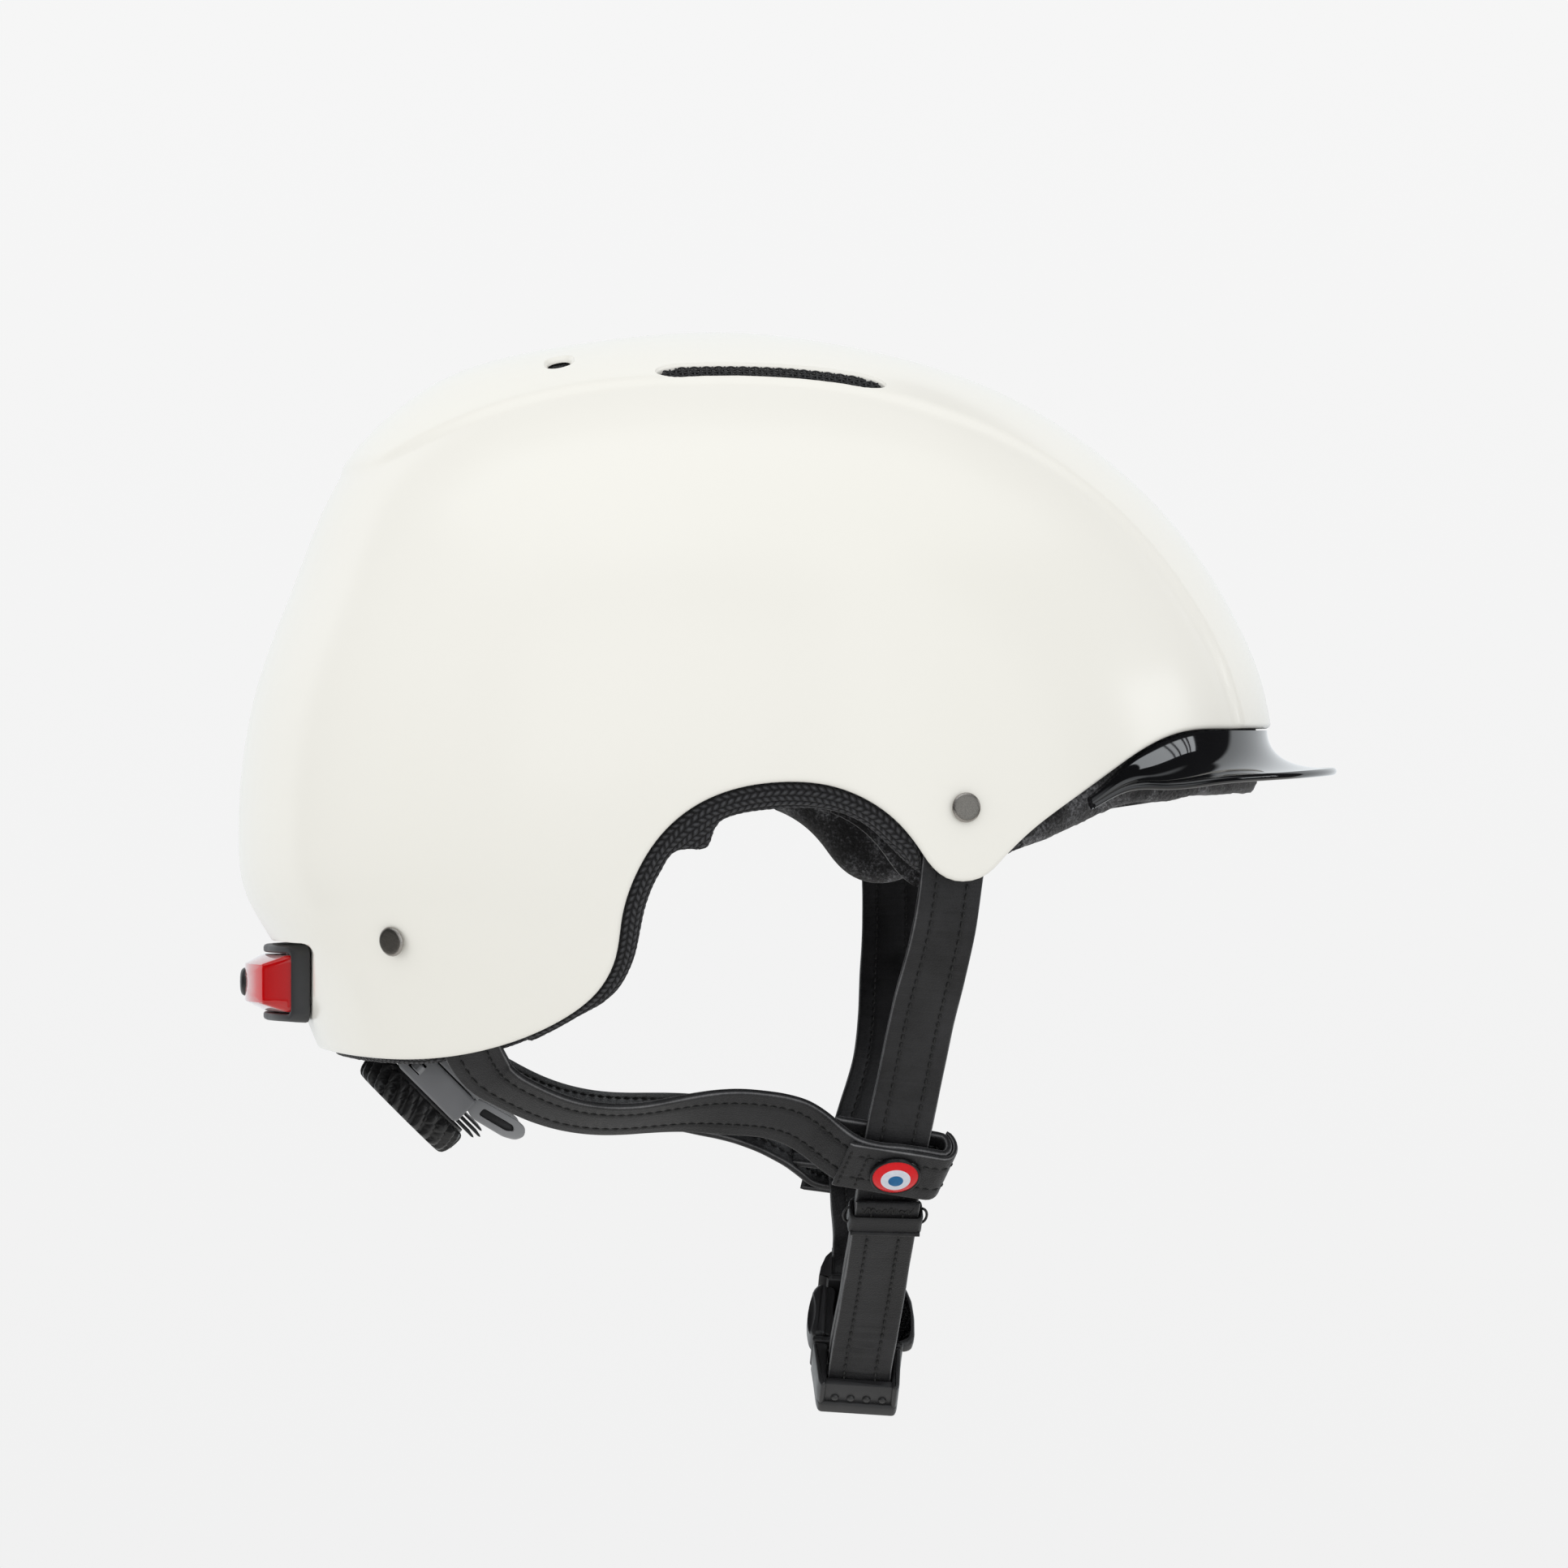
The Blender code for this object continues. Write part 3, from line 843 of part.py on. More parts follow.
prism("light_board", LF, box2(-11, -4.4, 11, 4.4), fl - 1.5, fl - 0.5, GREEN, pivot=light_at, parent=light_o)
prism("light_battery", LF, slot2(0, 0, 8.5, 3.6, 3), fl - 5.0, fl - 1.9, STEEL, pivot=light_at, parent=light_o)
press_o = (0, -130.4, LIGHT_Z)
button_o = pivot_empty("light_button_origin", press_o)
turned("light_button", press_o, (0, -1, 0), [(0, 1.3), (2.8, 1.2), (4.1, 0.6), (4.1, -2.2), (0, -2.2)], 16, GRIP, pivot=press_o, parent=button_o)
cut(lens, rod("cut_button", press_o, (0, -1, 0), 4.4, -3.4, 5, 16))
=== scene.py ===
"""Looks for the cycling helmet: fine shell, knitted rim, velour pads, gloss visor,
grained straps with stitching, buckle, dial cradle and rear light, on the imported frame."""

import json
import math

import bmesh
import bpy
import numpy as np
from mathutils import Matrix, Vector

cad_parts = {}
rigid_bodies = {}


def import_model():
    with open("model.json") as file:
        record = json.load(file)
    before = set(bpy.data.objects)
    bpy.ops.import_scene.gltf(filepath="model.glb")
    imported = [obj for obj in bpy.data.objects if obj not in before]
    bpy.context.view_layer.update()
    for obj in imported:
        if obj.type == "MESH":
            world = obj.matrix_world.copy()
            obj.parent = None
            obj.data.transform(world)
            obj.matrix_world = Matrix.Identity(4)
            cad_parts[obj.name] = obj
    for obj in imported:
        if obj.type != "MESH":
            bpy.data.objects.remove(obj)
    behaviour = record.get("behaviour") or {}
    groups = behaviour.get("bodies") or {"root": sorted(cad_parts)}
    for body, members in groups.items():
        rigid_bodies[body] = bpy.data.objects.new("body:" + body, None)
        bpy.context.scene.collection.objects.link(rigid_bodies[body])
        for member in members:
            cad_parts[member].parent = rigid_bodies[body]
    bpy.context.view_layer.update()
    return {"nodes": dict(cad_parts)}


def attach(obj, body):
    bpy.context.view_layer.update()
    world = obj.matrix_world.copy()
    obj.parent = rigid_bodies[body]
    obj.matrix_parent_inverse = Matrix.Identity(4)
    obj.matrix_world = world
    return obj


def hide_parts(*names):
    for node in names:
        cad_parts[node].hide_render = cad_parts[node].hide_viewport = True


for old in list(bpy.data.objects):
    bpy.data.objects.remove(old, do_unlink=True)

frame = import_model()
NODES = frame["nodes"]
MM = 0.001
GAP = 0.3
scene = bpy.context.scene

# ------------------------------------------------------------------- camera
YAW, DIST = math.radians(4.6), 1.7
aim = Vector((0, 0.0053, -0.0012))
back = Vector((math.cos(YAW), -math.sin(YAW), 0))
cam_data = bpy.data.cameras.new("camera")
cam_data.sensor_width, cam_data.lens = 36.0, 154.5
cam_data.clip_start, cam_data.clip_end = 0.05, 60
cam = bpy.data.objects.new("camera", cam_data)
scene.collection.objects.link(cam)
cam.location = aim + back * DIST
cam.rotation_mode = "QUATERNION"
cam.rotation_quaternion = (-back).to_track_quat("-Z", "Y")
scene.camera = cam

# ------------------------------------------------- dimensions, as in the CAD
APEX_Y, APEX_Z, BASE_Z = -12.0, 112.0, -90.0
FRONT = [(16, 109.3), (49, 101), (82, 83.3), (102.5, 64.6), (117, 43.5), (125.2, 25), (127.8, 13), (129, -5), (128, -28), (124, -55), (117, -90)]
REAR = [(-41, 109.7), (-71, 103.8), (-90, 94), (-104.6, 79.5), (-112.5, 65), (-119, 48), (-127.4, 25), (-131.8, 2), (-132.6, -15), (-130.2, -30), (-122.5, -43.5), (-115.8, -59.5), (-110.8, -72), (-106, -90)]
SIDE = [(20, 110.0), (40, 104.6), (56, 97), (72, 84.5), (85, 67), (94, 47), (100, 25), (103, 5), (103.6, -10), (102.2, -28), (98, -48), (91, -68), (82, -90)]
FULLNESS = 0.036
SHELL_T = 2.5
EDGE = [(127.8, 14), (112, 13.7), (98.5, 12.8), (91.5, 10.6), (85.4, 7.5), (78.4, 3.0), (71.7, -1.5), (63, -7.4), (57.9, -11.2), (54, -14.6), (50.1, -18.5), (46.7, -21.8), (43.8, -23.2), (41, -23.6), (38, -23.1), (35, -21.2), (31, -16), (25, -9), (16, -3), (8, -0.3), (-3, 0.5), (-14, -1), (-24, -5), (-33, -12.5), (-39, -22), (-42.5, -33), (-44, -43), (-47.5, -50), (-55, -56.5), (-66, -62), (-80, -66), (-95, -67.5), (-106, -67.2), (-111.5, -66.8)]
RIM_SHOW = [(0.0, 17.0), (0.05, 17.2), (0.10, 17.6), (0.1175, 17.4), (0.137, 16.2), (0.157, 13.8), (0.176, 11.6), (0.195, 9.8), (0.216, 8.3), (0.235, 7.1), (0.26, 5.6), (0.285, 2.6), (0.31, 0.9), (0.335, 0.9), (0.365, 3.8), (0.43, 5.6), (0.50, 7.0), (0.565, 6.8), (0.64, 4.6), (0.71, 4.0), (0.80, 1.8), (1.0, 1.0)]
LINER_OFF, LINER_THIN, LINER_THICK = 4.0, 11.0, 16.5
RIM_BACK, LINER_BACK, PAD_GAP = 2.7, 3.2, 1.2
VENT_X, VENT_Y0, VENT_Y1, VENT_W = 50.7, -30.2, 26.2, 6.6
REAR_VENT = (36.0, -53.2, 9.0, 6.6)
STRAP_W, STRAP_T = 16.0, 2.2
FRONT_RIVET, REAR_RIVET = (41.0, -6.8), (-95.0, -38.9)
RIVET_R = 3.6
KNIT_ROW = 1.4
JUNCTION_R, JUNCTION_L = (50.0, 27.6, -96.9), (-50.0, 29.0, -105.0)
CAP_R = 5.7
KEEPER_AT, KEEPER_L = 17.5, 6.2
BUCKLE_O, BUCKLE_V, BUCKLE_N = (0.0, 24.0, -156.8), (-0.667, 0.09, 0.74), (0.743, 0.0, 0.669)
BUCKLE_H, BASE_L, BASE_HALF, BUCKLE_L = 5.5, 13.0, 10.0, 42.0
BAR_V, BAR_HALF, TURN_R = 7.2, 1.7, 3.4
ARM_U, ARM_V = 5.6, 13.4
DIAL_O, DIAL_TILT = (0.0, -89.7, -81.9), 45.0
DIAL_R, DIAL_T = 15.5, 5.0
LIGHT_Z, LIGHT_HALF_X, LIGHT_HALF_Z = -50.8, 22.0, 9.7


# ------------------------------------------------------------------ helpers
def spline(xs, ys):
    x, y = np.asarray(xs, float), np.asarray(ys, float)
    n, h = len(x), np.diff(x)
    a, r = np.zeros((n, n)), np.zeros(n)
    a[0, 0] = a[-1, -1] = 1.0
    for i in range(1, n - 1):
        a[i, i - 1], a[i, i], a[i, i + 1] = h[i - 1], 2 * (h[i - 1] + h[i]), h[i]
        r[i] = 6 * ((y[i + 1] - y[i]) / h[i] - (y[i] - y[i - 1]) / h[i - 1])
    m = np.linalg.solve(a, r)

    def at(q):
        q = np.asarray(q, float)
        i = np.clip(np.searchsorted(x, q) - 1, 0, n - 2)
        d0, d1 = q - x[i], x[i + 1] - q
        return (m[i] * d1**3 + m[i + 1] * d0**3) / (6 * h[i]) + (y[i] / h[i] - m[i] * h[i] / 6) * d1 + (y[i + 1] / h[i] - m[i + 1] * h[i] / 6) * d0

    return at


def unit(v):
    v = np.asarray(v, float)
    return v / np.linalg.norm(v, axis=-1, keepdims=True)


def smooth(x, lo, hi):
    q = np.clip((np.asarray(x, float) - lo) / (hi - lo), 0, 1)
    return q * q * (3 - 2 * q)


def through(points, count):
    p = np.asarray(points, float)
    s = np.concatenate([[0], np.cumsum(np.linalg.norm(np.diff(p, axis=0), axis=1))])
    fine = np.linspace(0, s[-1], 400)
    q = np.stack([spline(s, p[:, k])(fine) for k in range(p.shape[1])], 1)
    w = np.concatenate([[0], np.cumsum(np.linalg.norm(np.diff(q, axis=0), axis=1))])
    at = np.linspace(0, w[-1], count)
    return np.stack([np.interp(at, w, q[:, k]) for k in range(p.shape[1])], 1)


def catmull(points, step=None, count=None, lead=3):
    """A smooth curve through points of any size, evenly spaced by its first lead numbers."""
    p = np.asarray(points, float)
    keep = np.concatenate([[True], np.linalg.norm(np.diff(p[:, :lead], axis=0), axis=1) > 1e-6])
    p = p[keep]
    s = np.concatenate([[0], np.cumsum(np.sqrt(np.linalg.norm(np.diff(p[:, :lead], axis=0), axis=1)))])
    d = np.diff(p, axis=0) / np.diff(s)[:, None]
    m = np.zeros_like(p)
    m[0], m[-1] = d[0], d[-1]
    h0, h1 = np.diff(s)[:-1, None], np.diff(s)[1:, None]
    m[1:-1] = (d[:-1] * h1 + d[1:] * h0) / (h0 + h1)
    out = []
    for i in range(len(p) - 1):
        h = s[i + 1] - s[i]
        u = np.linspace(0, 1, 24, endpoint=(i == len(p) - 2))[:, None]
        out.append((2 * u**3 - 3 * u**2 + 1) * p[i] + (u**3 - 2 * u**2 + u) * h * m[i] + (-2 * u**3 + 3 * u**2) * p[i + 1] + (u**3 - u**2) * h * m[i + 1])
    q = np.concatenate(out)
    w = np.concatenate([[0], np.cumsum(np.linalg.norm(np.diff(q[:, :lead], axis=0), axis=1))])
    n = count or max(8, int(w[-1] / step) + 1)
    at = np.linspace(0, w[-1], n)
    return np.stack([np.interp(at, w, q[:, k]) for k in range(q.shape[1])], 1)


# ------------------------------------------------------------ shell surface
def z_of(t):
    return APEX_Z - (APEX_Z - BASE_Z) * (1 - np.cos(np.asarray(t, float) * math.pi / 2))


def t_of(z):
    return np.arccos(np.clip(1 - (APEX_Z - np.asarray(z, float)) / (APEX_Z - BASE_Z), -1, 1)) * 2 / math.pi


_ft, _rt, _st = (t_of([p[1] for p in c]) for c in (FRONT, REAR, SIDE))
_fore_aft = spline(np.concatenate([-_rt[::-1], [0], _ft]), [p[0] for p in REAR[::-1]] + [APEX_Y] + [p[0] for p in FRONT])
_half = spline(np.concatenate([-_st[::-1], [0], _st]), [-p[0] for p in SIDE[::-1]] + [0] + [p[0] for p in SIDE])


def skin(theta, t):
    theta, t = np.broadcast_arrays(np.asarray(theta, float), np.asarray(t, float))
    fore, aft = _fore_aft(t) - APEX_Y, APEX_Y - _fore_aft(-t)
    s, c = np.sin(theta), np.cos(theta)
    full = 1 + FULLNESS * np.sin(2 * theta) ** 2
    y = APEX_Y + ((fore + aft) / 2 * s + (fore - aft) / 2 * s * s) * full
    return np.stack([_half(t) * c * full, y, z_of(t)], -1)


def skin_normal(theta, t):
    e = 1e-4
    t = np.maximum(np.asarray(t, float), 2e-3)
    n = np.cross(skin(theta, t + e) - skin(theta, t - e), skin(theta + e, t) - skin(theta - e, t))
    n = unit(n)
    flip = np.sum(n * (skin(theta, t) - np.array([0, APEX_Y, 0])), -1) < 0
    n[flip] *= -1
    return n


def inset(theta, t, depth):
    theta, t = np.broadcast_arrays(np.asarray(theta, float), np.asarray(t, float))
    return skin(theta, t) - skin_normal(theta, t) * np.asarray(depth, float)[..., None]


def theta_of(y, t):
    y, t = np.broadcast_arrays(np.asarray(y, float), np.asarray(t, float))
    lo, hi = np.full(y.shape, -math.pi / 2), np.full(y.shape, math.pi / 2)
    for _ in range(40):
        mid = (lo + hi) / 2
        below = skin(mid, t)[..., 1] < y
        lo, hi = np.where(below, mid, lo), np.where(below, hi, mid)
    return (lo + hi) / 2


def side_point(y, z, depth=0.0, left=False):
    t = np.array([t_of(z)])
    th = theta_of(np.array([y]), t)
    p, n = inset(th, t, np.array([depth]))[0], skin_normal(th, t)[0]
    if left:
        p, n = p * [-1, 1, 1], n * [-1, 1, 1]
    return p, n


def rear_y(x, z):
    x, z = np.broadcast_arrays(np.asarray(x, float), np.asarray(z, float))
    t = t_of(z)
    lo, hi = np.full(x.shape, -math.pi / 2), np.zeros(x.shape)
    for _ in range(40):
        mid = (lo + hi) / 2
        inside = skin(mid, t)[..., 0] < np.abs(x)
        lo, hi = np.where(inside, mid, lo), np.where(inside, hi, mid)
    return skin((lo + hi) / 2, t)[..., 1]


def top_z(x, y, depth=0.0):
    """Height of the surface depth below the skin, over (x, y)."""
    x, y = np.broadcast_arrays(np.asarray(x, float), np.asarray(y, float))
    lo, hi = np.full(x.shape, 30.0), np.full(x.shape, APEX_Z - 1e-6)
    for _ in range(34):
        z = (lo + hi) / 2
        t = t_of(z)
        p = inset(theta_of(y, t), t, np.full(x.shape, depth))
        wide = p[..., 0] > np.abs(x)
        lo, hi = np.where(wide, z, lo), np.where(wide, hi, z)
    return p[..., 2]


def liner_depth(z):
    return LINER_OFF + LINER_THIN + (LINER_THICK - LINER_THIN) * smooth(z, -35, 55)


_edge_p = through(EDGE, 500)
_edge_d = np.gradient(_edge_p, axis=0)
_edge_out = unit(np.stack([_edge_d[:, 1], -_edge_d[:, 0]], 1)) * [-1, -1]
_up = _edge_out[:, 1] > 0
_edge_out[_up] *= np.where(np.abs(_edge_out[_up][:, :1]) > 0.94, 1, -1)
_edge_f = np.linspace(0, 1, 500)


def edge_fine(offset):
    """(theta, t) at 500 even fractions of the right half of the lower edge, moved out by offset."""
    p = _edge_p + _edge_out * offset[:, None]
    t = t_of(p[:, 1])
    th = theta_of(p[:, 0], t)
    th[0], th[-1] = math.pi / 2, -math.pi / 2
    return th, t


def edge_loop(offset, count):
    """Round the whole edge: (theta, t, fraction), evenly spaced by length."""
    th, t = edge_fine(np.full(500, float(offset)) if np.isscalar(offset) else offset(_edge_f))
    q = skin(th, t)
    w = np.concatenate([[0], np.cumsum(np.linalg.norm(np.diff(q, axis=0), axis=1))])
    at = np.linspace(0, w[-1], count)
    th, t, f = np.interp(at, w, th), np.interp(at, w, t), np.interp(at, w, _edge_f)
    return mirror_loop(th, t, f)


def mirror_loop(th, t, f):
    return np.concatenate([th, math.pi - th[-2:0:-1]]), np.concatenate([t, t[-2:0:-1]]), np.concatenate([f, f[-2:0:-1]])


def edge_at(offset, f):
    """(theta, t) of the edge moved out by offset(f), at the fractions f, round the whole loop."""
    th, t = edge_fine(offset(_edge_f))
    a, b = np.interp(f, _edge_f, th), np.interp(f, _edge_f, t)
    return mirror_loop(a, b, f)


rim_show = spline([p[0] for p in RIM_SHOW], [p[1] for p in RIM_SHOW])


def band(p):
    """Height of the raised band over the crown, with its soft crease."""
    x, y, z = np.abs(p[..., 0]), p[..., 1], p[..., 2]
    half = np.interp(y, [-140, -90, -60, -20, 40, 90, 130], [50, 50, 52.5, 55.5, 55.5, 51, 46])
    d1 = x - half
    d2 = np.where(y < -30, 77.0 - z, -60.0)
    r = 20.0
    d = np.hypot(np.maximum(d1 + r, 0), np.maximum(d2 + r, 0)) - r
    return 1.05 * (1 - smooth(d, -1.9, 1.5)) - 0.5


# --------------------------------------------------------------- materials
class Graph:
    """A small builder for one material's nodes."""

    def __init__(self, name):
        self.m = bpy.data.materials.new(name)
        self.m.use_nodes = True
        self.t = self.m.node_tree
        self.p = self.t.nodes["Principled BSDF"]

    def node(self, kind, **values):
        n = self.t.nodes.new(kind)
        for k, v in values.items():
            if k in n.inputs:
                n.inputs[k].default_value = v
            else:
                setattr(n, k, v)
        return n

    def link(self, a, b):
        self.t.links.new(a, b)

    def coords(self, kind="Object", scale=(1, 1, 1)):
        c = self.node("ShaderNodeTexCoord")
        mp = self.node("ShaderNodeMapping")
        mp.inputs["Scale"].default_value = scale
        self.link(c.outputs[kind], mp.inputs["Vector"])
        return mp.outputs["Vector"]

    def noise(self, vec, scale, detail=3.0, rough=0.55):
        n = self.node("ShaderNodeTexNoise")
        n.inputs["Scale"].default_value = scale
        n.inputs["Detail"].default_value = detail
        n.inputs["Roughness"].default_value = rough
        self.link(vec, n.inputs["Vector"])
        return n.outputs["Fac"]

    def voronoi(self, vec, scale, feature="F1", out="Distance", smoothness=None):
        n = self.node("ShaderNodeTexVoronoi")
        n.feature = feature
        n.inputs["Scale"].default_value = scale
        self.link(vec, n.inputs["Vector"])
        return n.outputs[out]

    def ramp(self, fac, stops):
        n = self.node("ShaderNodeValToRGB")
        e = n.color_ramp.elements
        while len(e) < len(stops):
            e.new(0.5)
        for x, (pos, col) in zip(e, stops):
            x.position = pos
            x.color = (*col, 1) if len(col) == 3 else col
        self.link(fac, n.inputs["Fac"])
        return n.outputs["Color"]

    def remap(self, fac, lo, hi, a=0.3, b=0.7):
        n = self.node("ShaderNodeMapRange")
        n.inputs["From Min"].default_value, n.inputs["From Max"].default_value = a, b
        n.inputs["To Min"].default_value, n.inputs["To Max"].default_value = lo, hi
        self.link(fac, n.inputs["Value"])
        return n.outputs["Result"]

    def maths(self, op, a, b=None):
        n = self.node("ShaderNodeMath")
        n.operation = op
        for i, v in enumerate((a, b)):
            if v is None:
                continue
            if isinstance(v, (int, float)):
                n.inputs[i].default_value = v
            else:
                self.link(v, n.inputs[i])
        return n.outputs[0]

    def bump(self, height, strength, distance, normal=None):
        n = self.node("ShaderNodeBump")
        n.inputs["Strength"].default_value = strength
        n.inputs["Distance"].default_value = distance
        self.link(height, n.inputs["Height"])
        if normal is not None:
            self.link(normal, n.inputs["Normal"])
        self.link(n.outputs["Normal"], self.p.inputs["Normal"])
        return n.outputs["Normal"]

    def set(self, **values):
        for k, v in values.items():
            self.p.inputs[k.replace("_", " ")].default_value = v


def tones(g, vec, lo, hi, scale, detail=3.0):
    g.link(g.ramp(g.noise(vec, scale, detail), [(0.3, lo), (0.7, hi)]), g.p.inputs["Base Color"])


def plastic(name, lo, hi, rough=(0.35, 0.5), grain=900, strength=0.12, depth=0.00008, scale=60, coat=0.0, spec=0.5):
    g = Graph(name)
    v = g.coords()
    tones(g, v, lo, hi, scale)
    g.link(g.remap(g.noise(v, scale * 3), *rough), g.p.inputs["Roughness"])
    g.bump(g.noise(v, grain, 4), strength, depth)
    g.p.inputs["Coat Weight"].default_value = coat
    g.p.inputs["Specular IOR Level"].default_value = spec
    return g.m


def cream_shell():
    g = Graph("shell_gloss_cream")
    v = g.coords()
    tones(g, v, (0.867, 0.857, 0.798), (0.879, 0.869, 0.818), 9, 2)
    g.link(g.remap(g.noise(v, 45), 0.19, 0.24), g.p.inputs["Roughness"])
    g.bump(g.noise(v, 420, 2), 0.03, 0.00006)
    g.p.inputs["Specular IOR Level"].default_value = 0.32
    return g.m


def leather(name, lo=(0.0045, 0.0045, 0.005), hi=(0.026, 0.026, 0.028)):
    g = Graph(name)
    v = g.coords()
    grain = g.voronoi(v, 1500, "DISTANCE_TO_EDGE")
    fine = g.noise(v, 2600, 4)
    wear = g.noise(v, 75, 5, 0.62)
    # fold: transverse folds, used in the bump and in the colour, where their hollows come out darker: painted shade;
    # wear and fine add random tone
    fold = g.noise(g.coords("UV", (16.0, 0.22, 1)), 1.0, 4, 0.6)
    # edge_highlight: a painted highlight, the edge attribute lightens the colour towards grey 0.17 along the strap's
    # rounded edges
    edge_highlight = g.node("ShaderNodeAttribute", attribute_name="edge").outputs["Fac"]
    g.link(g.ramp(g.maths("ADD", g.maths("MULTIPLY", edge_highlight, 0.42), g.maths("ADD", g.maths("MULTIPLY", wear, 0.62), g.maths("ADD", g.maths("MULTIPLY", fine, 0.22), g.maths("MULTIPLY", fold, 0.16)))), [(0.34, lo), (0.66, hi), (1.0, (0.17, 0.17, 0.175))]), g.p.inputs["Base Color"])
    g.link(g.remap(g.maths("ADD", g.maths("MULTIPLY", fine, 0.45), g.maths("MULTIPLY", wear, 0.55)), 0.32, 0.6), g.p.inputs["Roughness"])
    h = g.maths("ADD", g.maths("MULTIPLY", g.remap(grain, 0, 1, 0.0, 0.25), 0.5), g.maths("ADD", g.maths("MULTIPLY", fine, 0.4), g.maths("MULTIPLY", fold, 1.1)))
    g.bump(h, 0.6, 0.00016)
    g.p.inputs["Specular IOR Level"].default_value = 0.32
    return g.m


def velour():
    g = Graph("pad_velour")
    v = g.coords()
    pile = g.noise(v, 1150, 5, 0.75)
    lay = g.noise(v, 120, 3)
    g.link(g.ramp(g.maths("ADD", g.maths("MULTIPLY", pile, 0.65), g.maths("MULTIPLY", lay, 0.35)), [(0.42, (0.003, 0.003, 0.0035)), (0.5, (0.016, 0.016, 0.0175)), (0.565, (0.085, 0.086, 0.093)), (0.63, (0.2, 0.202, 0.212))]), g.p.inputs["Base Color"])
    g.p.inputs["Roughness"].default_value = 0.95
    g.p.inputs["Sheen Weight"].default_value = 0.35
    g.p.inputs["Sheen Roughness"].default_value = 0.5
    g.p.inputs["Specular IOR Level"].default_value = 0.15
    g.bump(pile, 0.9, 0.0007)
    return g.m


def knit():
    """Braided rows that follow the edge (u along it, v across, in millimetres), slanted the other way in every second row."""
    g = Graph("rim_knit")
    c = g.node("ShaderNodeTexCoord")
    sp = g.node("ShaderNodeSeparateXYZ")
    g.link(c.outputs["UV"], sp.inputs[0])
    row = g.maths("DIVIDE", sp.outputs[1], KNIT_ROW)
    part = g.maths("FRACT", row)
    lean = g.maths("SUBTRACT", g.maths("MULTIPLY", g.maths("FLOORED_MODULO", g.maths("FLOOR", row), 2.0), 2.0), 1.0)
    along = g.maths("ADD", g.maths("DIVIDE", sp.outputs[0], 1.75), g.maths("MULTIPLY", g.maths("MULTIPLY", lean, part), 0.62))
    loop = g.maths("POWER", g.maths("SINE", g.maths("MULTIPLY", g.maths("FRACT", along), math.pi)), 0.8)
    across = g.maths("POWER", g.maths("SINE", g.maths("MULTIPLY", part, math.pi)), 0.6)
    yarn = g.maths("MULTIPLY", loop, across)
    o = g.coords()
    fuzz = g.noise(o, 2600, 4)
    # the colour follows the yarn: darkest in the hollows between the loops and rows, lighter on their crests: painted
    # shade and painted highlight; fuzz adds random tone
    tone = g.maths("ADD", g.maths("MULTIPLY", yarn, 0.72), g.maths("MULTIPLY", fuzz, 0.34))
    g.link(g.ramp(tone, [(0.16, (0.0025, 0.0025, 0.003)), (0.55, (0.016, 0.016, 0.018)), (0.95, (0.07, 0.071, 0.077))]), g.p.inputs["Base Color"])
    g.p.inputs["Roughness"].default_value = 0.82
    g.p.inputs["Specular IOR Level"].default_value = 0.25
    g.p.inputs["Sheen Weight"].default_value = 0.12
    g.bump(g.maths("ADD", g.maths("MULTIPLY", yarn, 0.85), g.maths("MULTIPLY", fuzz, 0.25)), 0.9, 0.0006)
    return g.m


def foam():
    g = Graph("liner_foam")
    v = g.coords()
    bead = g.voronoi(v, 300, "DISTANCE_TO_EDGE")
    tint = g.voronoi(v, 300, "F1", "Color")
    sep = g.node("ShaderNodeSeparateColor")
    g.link(tint, sep.inputs[0])
    g.link(g.ramp(sep.outputs[0], [(0.0, (0.018, 0.018, 0.019)), (1.0, (0.034, 0.034, 0.036))]), g.p.inputs["Base Color"])
    g.link(g.remap(g.noise(v, 900), 0.6, 0.85), g.p.inputs["Roughness"])
    g.bump(g.remap(bead, 0, 1, 0.0, 0.12), 0.6, 0.0003)
    return g.m


def gloss_black():
    g = Graph("visor_gloss_black")
    v = g.coords()
    tones(g, v, (0.0035, 0.0035, 0.004), (0.006, 0.006, 0.007), 30)
    g.link(g.remap(g.noise(v, 60), 0.03, 0.06), g.p.inputs["Roughness"])
    g.bump(g.noise(v, 160, 2), 0.015, 0.00005)
    g.p.inputs["Coat Weight"].default_value = 0.4
    g.p.inputs["Coat Roughness"].default_value = 0.02
    return g.m


def sand_metal(name, lo, hi, rough=(0.3, 0.5)):
    g = Graph(name)
    v = g.coords()
    grit = g.noise(v, 5200, 4, 0.7)
    g.link(g.ramp(grit, [(0.32, lo), (0.68, hi)]), g.p.inputs["Base Color"])
    g.link(g.remap(grit, *rough), g.p.inputs["Roughness"])
    g.p.inputs["Metallic"].default_value = 1.0
    g.bump(grit, 0.5, 0.00009)
    return g.m


def enamel(name, lo, hi):
    g = Graph(name)
    v = g.coords()
    tones(g, v, lo, hi, 700)
    g.link(g.remap(g.noise(v, 300), 0.08, 0.14), g.p.inputs["Roughness"])
    g.p.inputs["Specular IOR Level"].default_value = 0.3
    g.bump(g.noise(v, 900, 2), 0.02, 0.00004)
    return g.m


